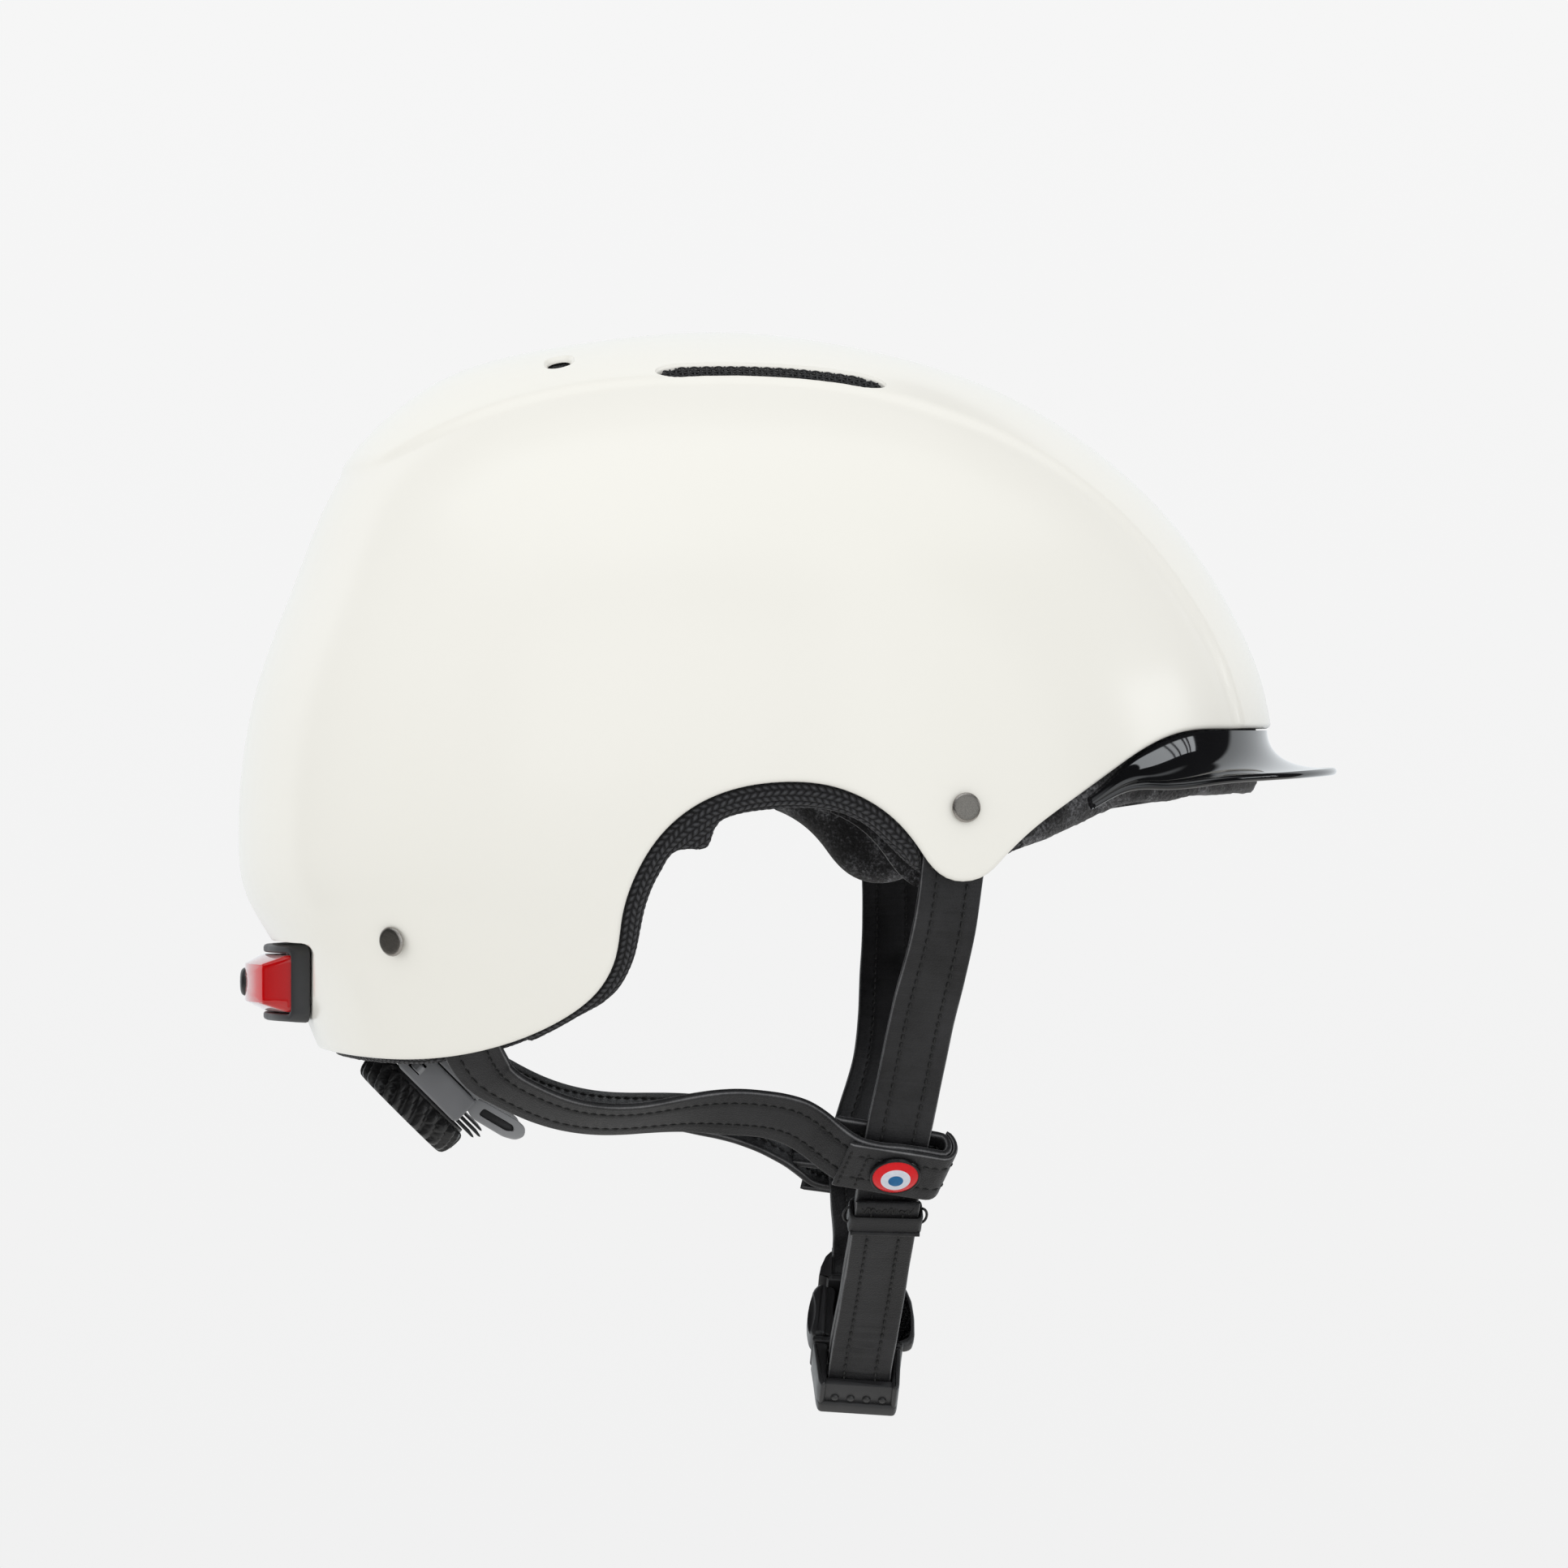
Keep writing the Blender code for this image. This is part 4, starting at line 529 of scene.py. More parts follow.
def red_lens():
    g = Graph("lens_red")
    v = g.coords()
    # facing drives the base colour from deep red to pale pink towards grazing angles: a painted reflection of the
    # bright surroundings; the noise adds random tone
    facing = g.node("ShaderNodeLayerWeight", Blend=0.5).outputs["Facing"]
    g.link(g.ramp(g.maths("ADD", facing, g.maths("MULTIPLY", g.noise(v, 90), 0.1)), [(0.05, (0.66, 0.002, 0.004)), (0.66, (0.86, 0.008, 0.010)), (0.86, (0.84, 0.42, 0.43)), (1.0, (0.88, 0.7, 0.7))]), g.p.inputs["Base Color"])
    g.link(g.remap(g.noise(v, 400), 0.05, 0.1), g.p.inputs["Roughness"])
    g.p.inputs["Coat Weight"].default_value = 0.5
    g.p.inputs["Coat Roughness"].default_value = 0.02
    g.p.inputs["Transmission Weight"].default_value = 0.35
    g.p.inputs["IOR"].default_value = 1.49
    g.bump(g.noise(v, 250, 2), 0.02, 0.00005)
    return g.m


def thread():
    g = Graph("thread_black")
    v = g.coords()
    twist = g.noise(v, 4200, 3)
    g.link(g.ramp(twist, [(0.3, (0.004, 0.004, 0.004)), (0.7, (0.02, 0.02, 0.02))]), g.p.inputs["Base Color"])
    g.p.inputs["Roughness"].default_value = 0.7
    g.bump(twist, 0.6, 0.0001)
    return g.m


def velvet_mesh():
    g = Graph("vent_mesh_black")
    v = g.coords()
    tones(g, v, (0.008, 0.008, 0.009), (0.03, 0.03, 0.032), 900)
    g.p.inputs["Roughness"].default_value = 0.6
    g.bump(g.noise(v, 3000, 3), 0.4, 0.0001)
    return g.m


M_SHELL, M_LEATHER, M_VELOUR, M_KNIT, M_FOAM, M_GLOSS = cream_shell(), leather("strap_leather"), velour(), knit(), foam(), gloss_black()
M_RIVET = sand_metal("rivet_gunmetal", (0.12, 0.11, 0.098), (0.3, 0.285, 0.26))
M_RIM = sand_metal("rivet_bevel", (0.32, 0.3, 0.28), (0.42, 0.4, 0.37), (0.2, 0.32))
M_STEEL = sand_metal("steel_plain", (0.5, 0.5, 0.5), (0.62, 0.62, 0.62), (0.25, 0.4))
M_MATTE = plastic("buckle_plastic", (0.016, 0.016, 0.017), (0.024, 0.024, 0.026), (0.34, 0.46), 1600, 0.25, 0.00006)
M_BEZEL = plastic("bezel_plastic", (0.03, 0.031, 0.033), (0.042, 0.043, 0.046), (0.36, 0.5), 1700, 0.25, 0.00006)
M_GREY = plastic("cradle_grey", (0.155, 0.158, 0.167), (0.2, 0.204, 0.214), (0.3, 0.42), 1400, 0.2, 0.00005)
M_BAND = plastic("headband_plastic", (0.03, 0.03, 0.032), (0.05, 0.05, 0.053), (0.4, 0.55), 1400, 0.22, 0.00006)
M_GRIP = plastic("dial_rubber", (0.013, 0.013, 0.0135), (0.027, 0.027, 0.028), (0.32, 0.44), 1900, 0.22, 0.00006)
M_LOOP = plastic("loop_grey", (0.25, 0.255, 0.265), (0.31, 0.315, 0.325), (0.32, 0.44), 1400, 0.2, 0.00005)
M_BOARD = plastic("board_green", (0.012, 0.09, 0.035), (0.02, 0.13, 0.055), (0.4, 0.5))
M_RED, M_WHITE, M_BLUE = enamel("cap_red", (0.62, 0.0015, 0.006), (0.7, 0.004, 0.010)), enamel("cap_white", (0.6, 0.63, 0.7), (0.68, 0.71, 0.78)), enamel("cap_blue", (0.002, 0.10, 0.27), (0.005, 0.135, 0.33))
M_CAPRIM = enamel("cap_rim_black", (0.006, 0.006, 0.007), (0.012, 0.012, 0.013))
M_LENS, M_THREAD, M_NET = red_lens(), thread(), velvet_mesh()


# ------------------------------------------------------------------- meshes
def piece(name, pts, faces, mats, body="helmet", replaces=(), slot=None, uv=None, sharp=None, index=None, fix=True):
    """A mesh from points in millimetres that rides on a body."""
    mesh = bpy.data.meshes.new(name)
    pts = np.asarray(pts, float)
    mesh.from_pydata((pts * MM).tolist(), [], [tuple(int(i) for i in f) for f in faces])
    for m in mats if isinstance(mats, (list, tuple)) else [mats]:
        mesh.materials.append(m)
    if index is not None:
        mesh.polygons.foreach_set("material_index", np.asarray(index, np.int32))
    if uv is not None:
        layer = mesh.uv_layers.new(name="UVMap")
        loops = np.zeros(len(mesh.loops), np.int32)
        mesh.loops.foreach_get("vertex_index", loops)
        layer.data.foreach_set("uv", np.asarray(uv, np.float32)[loops].ravel())
    if fix:
        bm = bmesh.new()
        bm.from_mesh(mesh)
        bmesh.ops.recalc_face_normals(bm, faces=bm.faces)
        if bm.calc_volume(signed=True) < 0:
            bmesh.ops.reverse_faces(bm, faces=bm.faces)
        bm.to_mesh(mesh)
        bm.free()
    mesh.shade_smooth()
    if sharp:
        mesh.set_sharp_from_angle(angle=math.radians(sharp))
    obj = bpy.data.objects.new(name, mesh)
    scene.collection.objects.link(obj)
    if body:
        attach(obj, body)
    if replaces:
        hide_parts(*replaces)
    return obj


def ring_faces(rows, count, closed=True, base=0):
    f = []
    for j in range(rows - 1):
        for i in range(count if closed else count - 1):
            k = (i + 1) % count
            f.append((base + j * count + i, base + j * count + k, base + (j + 1) * count + k, base + (j + 1) * count + i))
    return f


def solid_cut(obj, cutters, op="DIFFERENCE"):
    """Applies booleans to obj's mesh and removes the cutters."""
    for c in cutters:
        m = obj.modifiers.new("cut", "BOOLEAN")
        m.operation, m.object, m.solver = op, c, "EXACT"
    dg = bpy.context.evaluated_depsgraph_get()
    new = bpy.data.meshes.new_from_object(obj.evaluated_get(dg), preserve_all_data_layers=True, depsgraph=dg)
    obj.modifiers.clear()
    old = obj.data
    obj.data = new
    bpy.data.meshes.remove(old)
    for c in cutters:
        bpy.data.objects.remove(c, do_unlink=True)
    return obj


def tool(pts, faces):
    """A cutter, made outside the object's own pieces and removed after use."""
    mesh = bpy.data.meshes.new("tool")
    mesh.from_pydata((np.asarray(pts, float) * MM).tolist(), [], [tuple(int(i) for i in f) for f in faces])
    bm = bmesh.new()
    bm.from_mesh(mesh)
    bmesh.ops.recalc_face_normals(bm, faces=bm.faces)
    if bm.calc_volume(signed=True) < 0:
        bmesh.ops.reverse_faces(bm, faces=bm.faces)
    bm.to_mesh(mesh)
    bm.free()
    o = bpy.data.objects.new("tool", mesh)
    scene.collection.objects.link(o)
    o.hide_render = True
    return o


def rings_tool(rows):
    """A cutter from closed rings of one size, capped at both ends."""
    n = len(rows[0])
    k = len(rows)
    return tool(np.concatenate(rows), ring_faces(k, n) + [tuple(range(n))[::-1], tuple((k - 1) * n + i for i in range(n))])


def grid_solid(a, b):
    """(points, faces) of the closed solid between two grids."""
    r, c = a.shape[:2]
    pts = np.concatenate([a.reshape(-1, 3), b.reshape(-1, 3)])
    o = r * c
    f = []
    for j in range(r - 1):
        for i in range(c - 1):
            p = (j * c + i, j * c + i + 1, (j + 1) * c + i + 1, (j + 1) * c + i)
            f += [p[::-1], tuple(o + x for x in p)]
    border = list(range(c)) + [j * c + c - 1 for j in range(1, r)] + [(r - 1) * c + i for i in range(c - 2, -1, -1)] + [j * c for j in range(r - 2, 0, -1)]
    for i, x in enumerate(border):
        y = border[(i + 1) % len(border)]
        f.append((x, y, o + y, o + x))
    return pts, f


def slot_outline(x, y, hx, hy, seg=12, r=None, taper=None):
    """A rectangle with round corners, or with tapering ends, as points and outward directions."""
    if taper:
        a = np.radians(np.concatenate([np.linspace(0, 180, 33), np.linspace(180, 360, 33)]))
        mid = np.where(np.arange(66) < 33, hy - taper, taper - hy)
        p = np.stack([x + hx * np.cos(a), y + mid + taper * np.sin(a)], 1)
        return p, unit(np.stack([np.cos(a) / hx, np.sin(a) / taper], 1))
    r = min(hx, hy) if r is None else r
    p, n = [], []
    for cx, cy, a0 in ((hx - r, hy - r, 0), (-hx + r, hy - r, 90), (-hx + r, -hy + r, 180), (hx - r, -hy + r, 270)):
        for i in range(seg + 1):
            a = math.radians(a0 + 90 * i / seg)
            p.append((x + cx + r * math.cos(a), y + cy + r * math.sin(a)))
            n.append((math.cos(a), math.sin(a)))
    p, n = np.array(p), np.array(n)
    keep = np.concatenate([[True], np.linalg.norm(np.diff(p, axis=0), axis=1) > 1e-4])
    if np.linalg.norm(p[0] - p[-1]) < 1e-4:
        keep[-1] = False
    return p[keep], n[keep]


def densify(p, n, step):
    """Adds points along an outline's long straight runs."""
    out_p, out_n = [], []
    k = len(p)
    for i in range(k):
        a, b = p[i], p[(i + 1) % k]
        m = max(1, int(np.linalg.norm(b - a) / step))
        for j in range(m):
            out_p.append(a + (b - a) * j / m)
            out_n.append(n[i] + (n[(i + 1) % k] - n[i]) * j / m)
    return np.array(out_p), unit(np.array(out_n))


# -------------------------------------------------------------------- shell
COLS, RINGS = 211, 150
th, t, f = edge_loop(0.0, COLS)
n = len(th)
fr = 1 - np.linspace(0, 1, RINGS + 1)[:-1] ** 1.06
rows = []
for q in fr[::-1]:
    p = skin(th, t * q)
    nrm = skin_normal(th, t * q)
    rows.append(p + nrm * band(p)[:, None])
nrm = skin_normal(th, t)
edge_o = rows[-1]
along = np.roll(edge_o, -1, 0) - np.roll(edge_o, 1, 0)
away = unit(np.cross(along, nrm))
down = skin(th, t + 1e-3) - skin(th, t)
away[np.sum(away * down, 1) < 0] *= -1
mid = edge_o - nrm * SHELL_T / 2
for a in np.radians(np.linspace(20, 160, 8)):
    rows.append(mid + nrm * (SHELL_T / 2 * math.cos(a)) + away * (SHELL_T * 0.45 * math.sin(a)))
inner_fr = np.linspace(1, 0, 31)[:-1]
for q in inner_fr:
    rows.append(inset(th, t * q, np.full(n, SHELL_T)))
pts = np.concatenate(rows)
crown_o = skin(np.array([0.0]), np.array([0.0]))[0] + [0, 0, 0.4]
crown_i = inset(np.array([0.0]), np.array([0.0]), np.array([SHELL_T]))[0]
a, b = len(pts), len(pts) + 1
pts = np.concatenate([pts, [crown_o, crown_i]])
faces = ring_faces(len(rows), n)
last = (len(rows) - 1) * n
for i in range(n):
    k = (i + 1) % n
    faces += [(a, k, i), (b, last + i, last + k)]
shell = piece("shell", pts, faces, M_SHELL, replaces=["outer_shell"], slot="cream_shell", sharp=38)

# vents: cutters with a rounded mouth
cutters = []
for s in (1, -1):
    for (cx, cy, hx, hy, rr) in ((VENT_X, (VENT_Y0 + VENT_Y1) / 2, VENT_W / 2, (VENT_Y1 - VENT_Y0) / 2, 0.6), (REAR_VENT[0], REAR_VENT[1], REAR_VENT[2] / 2, REAR_VENT[3] / 2, 1.3)):
        p, o = slot_outline(cx, cy, hx - rr * 0.4, hy - rr * 0.4, taper=6.5 if rr < 1 else None)
        p, o = densify(p, o, 2.0)
        rows = []
        for off, dep in [(rr + 1.2, -4.0), (rr + 0.25, -0.9)] + [(rr * (1 - math.sin(q)), rr * (1 - math.cos(q))) for q in np.radians([28, 45, 62, 78, 90])] + [(0, 7.5)]:
            xy = p + o * off
            z = top_z(xy[:, 0], xy[:, 1], 0.0) + 0.35 - dep
            rows.append(np.stack([xy[:, 0] * s, xy[:, 1], z], 1))
        cutters.append(rings_tool(rows))
        rows = []
        for off, dep in ((2.2, 1.15), (2.4, 8.0)):
            xy = p + o * off
            z = top_z(xy[:, 0], xy[:, 1], 0.0) + 0.35 - dep
            rows.append(np.stack([xy[:, 0] * s, xy[:, 1], z], 1))
        cutters.append(rings_tool(rows))
# recess for the light
SEAT_Z = -59.5
seat_y = lambda x: rear_y(np.clip(x, -LIGHT_HALF_X, LIGHT_HALF_X), np.full(np.shape(x), SEAT_Z)) + 0.4
RX, RZ0, RZ1 = 54.0, LIGHT_Z - LIGHT_HALF_Z - 1.6, LIGHT_Z + LIGHT_HALF_Z + 0.9


def wall_grid(half_x, z0, z1, y_of, cols=25, rows=12):
    A, B = np.meshgrid(np.linspace(-half_x, half_x, cols), np.linspace(z0, z1, rows))
    return np.stack([A, y_of(A, B), B], -1)


NC = dict(cols=73, rows=12)
pocket = tool(*grid_solid(wall_grid(RX + 2.4, RZ0 - 0.4, RZ1 + 2.4, lambda x, z: rear_y(x, z) + 1.3, **NC), wall_grid(RX + 2.4, RZ0 - 0.4, RZ1 + 2.4, lambda x, z: np.maximum(seat_y(x) + SHELL_T, rear_y(x, z) + SHELL_T + 0.2), **NC)))
solid_cut(shell, [pocket], "UNION")
rows = []
for x in np.linspace(-RX, RX, 109):
    w0 = float(seat_y(np.array(x)))
    turn_ = [(w0 - 3.0 + 3.0 * math.cos(q), RZ1 - 3.0 + 3.0 * math.sin(q)) for q in np.radians(np.linspace(0, 90, 7))]
    rows.append(np.array([(x, y, z) for y, z in [(w0, RZ0)] + turn_ + [(-146.0, RZ1), (-146.0, RZ0)]]))
cutters.append(rings_tool(rows))
solid_cut(shell, cutters)
shell.data.shade_smooth()
shell.data.set_sharp_from_angle(angle=math.radians(38))


# --------------------------------------------------------------------- liner
def strap_room(p):
    """Extra depth behind the straps' ends, so the rim and liner stay clear of them."""
    y, z = p[..., 1], p[..., 2]
    front = smooth(y, 29, 33) * (1 - smooth(y, 49.5, 53.5)) * (1 - smooth(z, 3, 8))
    u = (y + 95.0) * 0.84 + (z + 38.9) * 0.45
    rear = (1 - smooth(np.abs(u - 4), 8.6, 11.5)) * (1 - smooth(z, -28, -24)) * (1 - smooth(y, -64, -60))
    return 2.9 * np.maximum(front, rear)


def channels(p):
    """Air channels along the inside of the liner."""
    x, y, z = np.abs(p[..., 0]), p[..., 1], p[..., 2]
    high = smooth(z, 12, 40)
    mid = np.exp(-((x - 0) / 7.0) ** 4)
    side = np.exp(-((x - 42) / 6.0) ** 4)
    cross = np.exp(-((y - 30) / 6.0) ** 4) + np.exp(-((y + 50) / 6.0) ** 4)
    return 5.0 * high * np.clip(mid + side + 0.7 * cross * (x < 44), 0, 1)


th, t, f = edge_loop(-LINER_BACK, 121)
n = len(th)
rows = []
lf = np.linspace(1, 0, 49)[:-1]
for q in lf[::-1]:
    p = skin(th, t * q)
    rows.append(p - skin_normal(th, t * q) * (LINER_OFF + strap_room(p))[:, None])
for q in lf:
    p = skin(th, t * q)
    d = liner_depth(z_of(t * q))
    rows.append(p - skin_normal(th, t * q) * (d - channels(p) * smooth(1 - q, 0.03, 0.12))[:, None])
pts = np.concatenate(rows)
ci = inset(np.array([0.0, 0.0]), np.array([0.0, 0.0]), np.array([LINER_OFF, LINER_OFF + LINER_THICK - 5.0]))
a, b = len(pts), len(pts) + 1
pts = np.concatenate([pts, ci])
faces = ring_faces(len(rows), n)
last = (len(rows) - 1) * n
for i in range(n):
    k = (i + 1) % n
    faces += [(a, k, i), (b, last + i, last + k)]
liner = piece("liner", pts, faces, M_FOAM, replaces=["eps_liner"], slot="black_foam", sharp=50)
ducts = []
for s in (1, -1):
    for cx, cy, hx, hy in ((VENT_X, (VENT_Y0 + VENT_Y1) / 2, VENT_W / 2 + 1.4, (VENT_Y1 - VENT_Y0) / 2 + 2.0), (REAR_VENT[0], REAR_VENT[1], REAR_VENT[2] / 2 + 3, REAR_VENT[3] / 2 + 3)):
        p, o = slot_outline(cx, cy, hx, hy)
        ducts.append(rings_tool([np.column_stack([p[:, 0] * s, p[:, 1], np.full(len(p), z)]) for z in (60, 125)]))
room = tool(*grid_solid(wall_grid(RX + 3.4, RZ0 - 6, RZ1 + 3.4, lambda x, z: rear_y(x, z) - 2.0, **NC), wall_grid(RX + 3.4, RZ0 - 6, RZ1 + 3.4, lambda x, z: np.maximum(seat_y(x) + SHELL_T, rear_y(x, z) + SHELL_T + 0.2) + 0.8, **NC)))
solid_cut(liner, ducts + [room])
liner.data.set_sharp_from_angle(angle=math.radians(50))

# ---------------------------------------------------- knitted rim at the edge
NF = 451
f = np.linspace(0, 1, NF)
show = lambda q: rim_show(q) + 5.4 * np.exp(-(((q - 0.607) / 0.021) ** 2)) + 1.5 * smooth(q, 0.62, 0.66) * (1 - smooth(q, 0.76, 0.80)) + 1.5 * smooth(q, 0.72, 0.82) + 1.3 * smooth(q, 0.80, 0.87)


def rim_row(off_fn, depth_fn):
    a_, b_, ff = edge_at(off_fn, f)
    p = skin(a_, b_)
    return p - skin_normal(a_, b_) * (depth_fn(ff, p) + 0 * ff)[:, None]


ld = lambda ff, p: liner_depth(p[:, 2])
control = [
    rim_row(lambda q: 0 * q - RIM_BACK, lambda ff, p: LINER_OFF + strap_room(p)),
    rim_row(lambda q: 0 * q - 0.6, lambda ff, p: LINER_OFF + strap_room(p)),
    rim_row(lambda q: 0.35 * show(q) + 0.4, lambda ff, p: LINER_OFF - 0.2 - 0.10 * show(ff) + strap_room(p)),
    rim_row(lambda q: 0.75 * show(q), lambda ff, p: LINER_OFF - 0.1 + strap_room(p)),
    rim_row(lambda q: 0.97 * show(q), lambda ff, p: LINER_OFF + 1.3 + strap_room(p)),
    rim_row(lambda q: 1.0 * show(q), lambda ff, p: LINER_OFF + 3.2 + 0.5 * strap_room(p)),
    rim_row(lambda q: 0.9 * show(q) - 0.3, lambda ff, p: ld(ff, p) - 4.0),
    rim_row(lambda q: 0.45 * show(q) - 1.0, lambda ff, p: ld(ff, p) - 1.0),
    rim_row(lambda q: 0 * q - 2.0, lambda ff, p: ld(ff, p) + 0.3),
    rim_row(lambda q: 0 * q - RIM_BACK - 0.3, lambda ff, p: ld(ff, p) - 1.5),
]
control = np.array(control)
NV, n = 62, control.shape[1]
sect = np.stack([catmull(control[:, i], count=NV) for i in range(n)], 1)  # (NV, n, 3)
arc = np.concatenate([np.zeros((1, n)), np.cumsum(np.linalg.norm(np.diff(sect, axis=0), axis=2), axis=0)])
dv = np.gradient(sect, axis=0)
du = np.roll(sect, -1, 1) - np.roll(sect, 1, 1)
out = unit(np.cross(du, dv))
centre = sect.mean(0, keepdims=True)
flip = np.sum(out * (sect - centre), -1) < 0
out[flip] *= -1
s_len = np.concatenate([[0], np.cumsum(np.linalg.norm(np.diff(sect[20], axis=0), axis=1))])
show_here = smooth(arc, 2.6, 4.2) * (1 - smooth(arc, arc[-1] - 3, arc[-1] - 1))
f_all = np.concatenate([f, f[-2:0:-1]])
woven = smooth(f_all, 0.262, 0.285)[None]
rib = 0.5 - 0.5 * np.cos(2 * math.pi * arc / KNIT_ROW)
lean = np.where(np.floor(arc / KNIT_ROW) % 2 > 0, 1.0, -1.0)
loop = np.abs(np.sin(math.pi * (s_len[None] / 1.75 + lean * 0.62 * ((arc / KNIT_ROW) % 1.0))))
pile = np.random.default_rng(7).random(arc.shape) - 0.35
puff = 0.45 * np.sin(s_len[None] / 6.5) * np.sin(arc / 4.0 + 1.0)
sect = sect + out * (show_here * (woven * 0.36 * rib * (0.62 + 0.38 * loop) + (1 - woven) * (0.42 * pile + puff)))[..., None]
uv = np.stack([np.broadcast_to(s_len[None], arc.shape), arc], -1).reshape(-1, 2)
pts = sect.reshape(-1, 3)
faces = ring_faces(NV, n) + [((NV - 1) * n + i, (NV - 1) * n + (i + 1) % n, (i + 1) % n, i) for i in range(n)]
kinds = [1 if f_all[fc[0] % n] < 0.272 else 0 for fc in faces]
rim = piece("rim_fabric", pts, faces, [M_KNIT, M_VELOUR], replaces=["edge_trim"], slot="black_knit", uv=uv, index=kinds, sharp=70)


# ------------------------------------------------------------- vent meshes
def tube(points, radius, sides=6):
    """(points, faces) of a thin wire along points."""
    c = np.asarray(points, float)
    tan = unit(np.gradient(c, axis=0))
    ref = np.array([0, 0, 1.0]) if abs(tan[0][2]) < 0.8 else np.array([1.0, 0, 0])
    u = unit(np.cross(np.broadcast_to(ref, tan.shape), tan))
    v = np.cross(tan, u)
    ang = np.linspace(0, 2 * math.pi, sides + 1)[:-1]
    p = c[:, None] + radius * (u[:, None] * np.cos(ang)[None, :, None] + v[:, None] * np.sin(ang)[None, :, None])
    k = len(c)
    return p.reshape(-1, 3), ring_faces(k, sides) + [tuple(range(sides))[::-1], tuple((k - 1) * sides + i for i in range(sides))]


def merge(parts):
    pts, faces, base = [], [], 0
    for p, fcs in parts:
        pts.append(p)
        faces += [tuple(base + i for i in q) for q in fcs]
        base += len(p)
    return np.concatenate(pts), faces


for side, s in (("right", 1), ("left", -1)):
    for label, cx, cy, hx, hy in (("vent_mesh_", VENT_X, (VENT_Y0 + VENT_Y1) / 2, VENT_W / 2 + 0.9, (VENT_Y1 - VENT_Y0) / 2 + 1.0), ("rear_vent_mesh_", REAR_VENT[0], REAR_VENT[1], 5.4, 4.3)):
        wires = []
        long_slot = label == "vent_mesh_"
        ys = np.arange(cy - hy, cy + hy + 0.01, 1.5)
        xs = cx + np.linspace(-2.5, 2.5, 5) if long_slot else np.arange(cx - hx, cx + hx + 0.01, 1.45)
        pitch = 1.2 if long_slot else 1.45
        lines = []
        for i, y in enumerate(ys):
            m_ = 57 if long_slot else 13
            near = hx * math.sqrt(max(1 - (max(abs(y - cy) - (hy - 7.5), 0) / 7.5) ** 2, 0)) if long_slot else hx
            if near < 0.5:
                continue
            g_ = np.linspace(cx - near, cx + near, m_)
            lines.append((g_, np.full(m_, y), 0.16 * np.cos(math.pi * (g_ - xs[0]) / pitch + math.pi * i)))
        for i, x in enumerate(xs):
            far = hy - 7.5 + 7.5 * math.sqrt(1 - ((x - cx) / hx) ** 2) if long_slot else hy
            g_ = np.linspace(cy - far, cy + far, max(9, int(hy * (9 if long_slot else 3))))
            lines.append((np.full(len(g_), x), g_, -0.16 * np.cos(math.pi * (g_ - ys[0]) / 1.5 + math.pi * i)))
        allx, ally = np.concatenate([l[0] for l in lines]), np.concatenate([l[1] for l in lines])
        allz = top_z(allx, ally, 1.75)
        if long_slot:
            # the net bulges up into the slot and dives under its lip
            r_ = VENT_W / 2 - 0.24
            past = (np.hypot((allx - cx) / r_, np.maximum(np.abs(ally - cy) - ((VENT_Y1 - VENT_Y0) / 2 - 0.24 - 6.5), 0) / 6.5) - 1) * r_
            up_ = 1 - smooth(past, -0.52, -0.34)
            allz = allz * (1 - up_) + top_z(allx, ally, 0.25) * up_
        k0 = 0
        for gx, gy, wob in lines:
            m_ = len(gx)
            wires.append(tube(np.column_stack([gx * s, gy, allz[k0 : k0 + m_] + wob]), 0.3, 6))
            k0 += m_
        # a frame round the mesh
        p, o = slot_outline(cx, cy, hx, hy, 6, 2.0, taper=7.5 if long_slot else None)
        p, o = densify(p, o, 2.0)
        ring_z = top_z(p[:, 0], p[:, 1], 1.75)
        loop_pts = np.column_stack([p[:, 0] * s, p[:, 1], ring_z])
        wires.append(tube(np.concatenate([loop_pts, loop_pts[:1]]), 0.45, 8))
        P, F = merge(wires)
        piece(label + "wires_" + side, P, F, M_NET, replaces=[label + side], slot="black_knit", fix=False)

# -------------------------------------------------------------------- visor
VISOR_END = 0.205
VISOR = [(0, 9.5, 16.6), (0.04, 10.2, 15.2), (0.078, 10.9, 12.0), (0.099, 10.9, 9.6), (0.1175, 10.4, 7.2), (0.137, 8.6, 5.0), (0.157, 5.6, 3.4), (0.176, 3.2, 2.2), (0.205, 1.8, 1.0)]
vn = 221
frv = np.linspace(-1, 1, vn) * VISOR_END
ev_th, ev_t = edge_fine(SHELL_T * 0.45 + GAP + 0.2 + 1.4 * smooth(_edge_f, 0.145, 0.205))
a_th = np.where(frv >= 0, np.interp(np.abs(frv), _edge_f, ev_th), math.pi - np.interp(np.abs(frv), _edge_f, ev_th))
a_t = np.interp(np.abs(frv), _edge_f, ev_t)
top = inset(a_th, a_t, np.full(vn, 0.5))
out_n = unit(skin_normal(a_th, a_t) * [1, 1, 0])
k = np.clip(np.abs(frv) / VISOR_END, 0, 1)
drop = spline([v[0] for v in VISOR], [v[1] for v in VISOR])(np.abs(frv))
reach = spline([v[0] for v in VISOR], [v[2] for v in VISOR])(np.abs(frv))
up = np.array([0, 0, 1.0])
rows = []
Q = np.linspace(0, 1, 26)
for q in Q:
    rows.append(top + out_n * (reach * q**1.9)[:, None] - up * (drop * (1 - (1 - q) ** 2.1))[:, None])
tip = rows[-1]
bead = 0.95 - 0.35 * smooth(k, 0.7, 1.0)
for a in np.radians([70, 35, 0, -35, -70, -105, -135]):
    rows.append(tip + out_n * (bead * math.cos(a))[:, None] + up * (bead * (math.sin(a) - 0.75))[:, None])
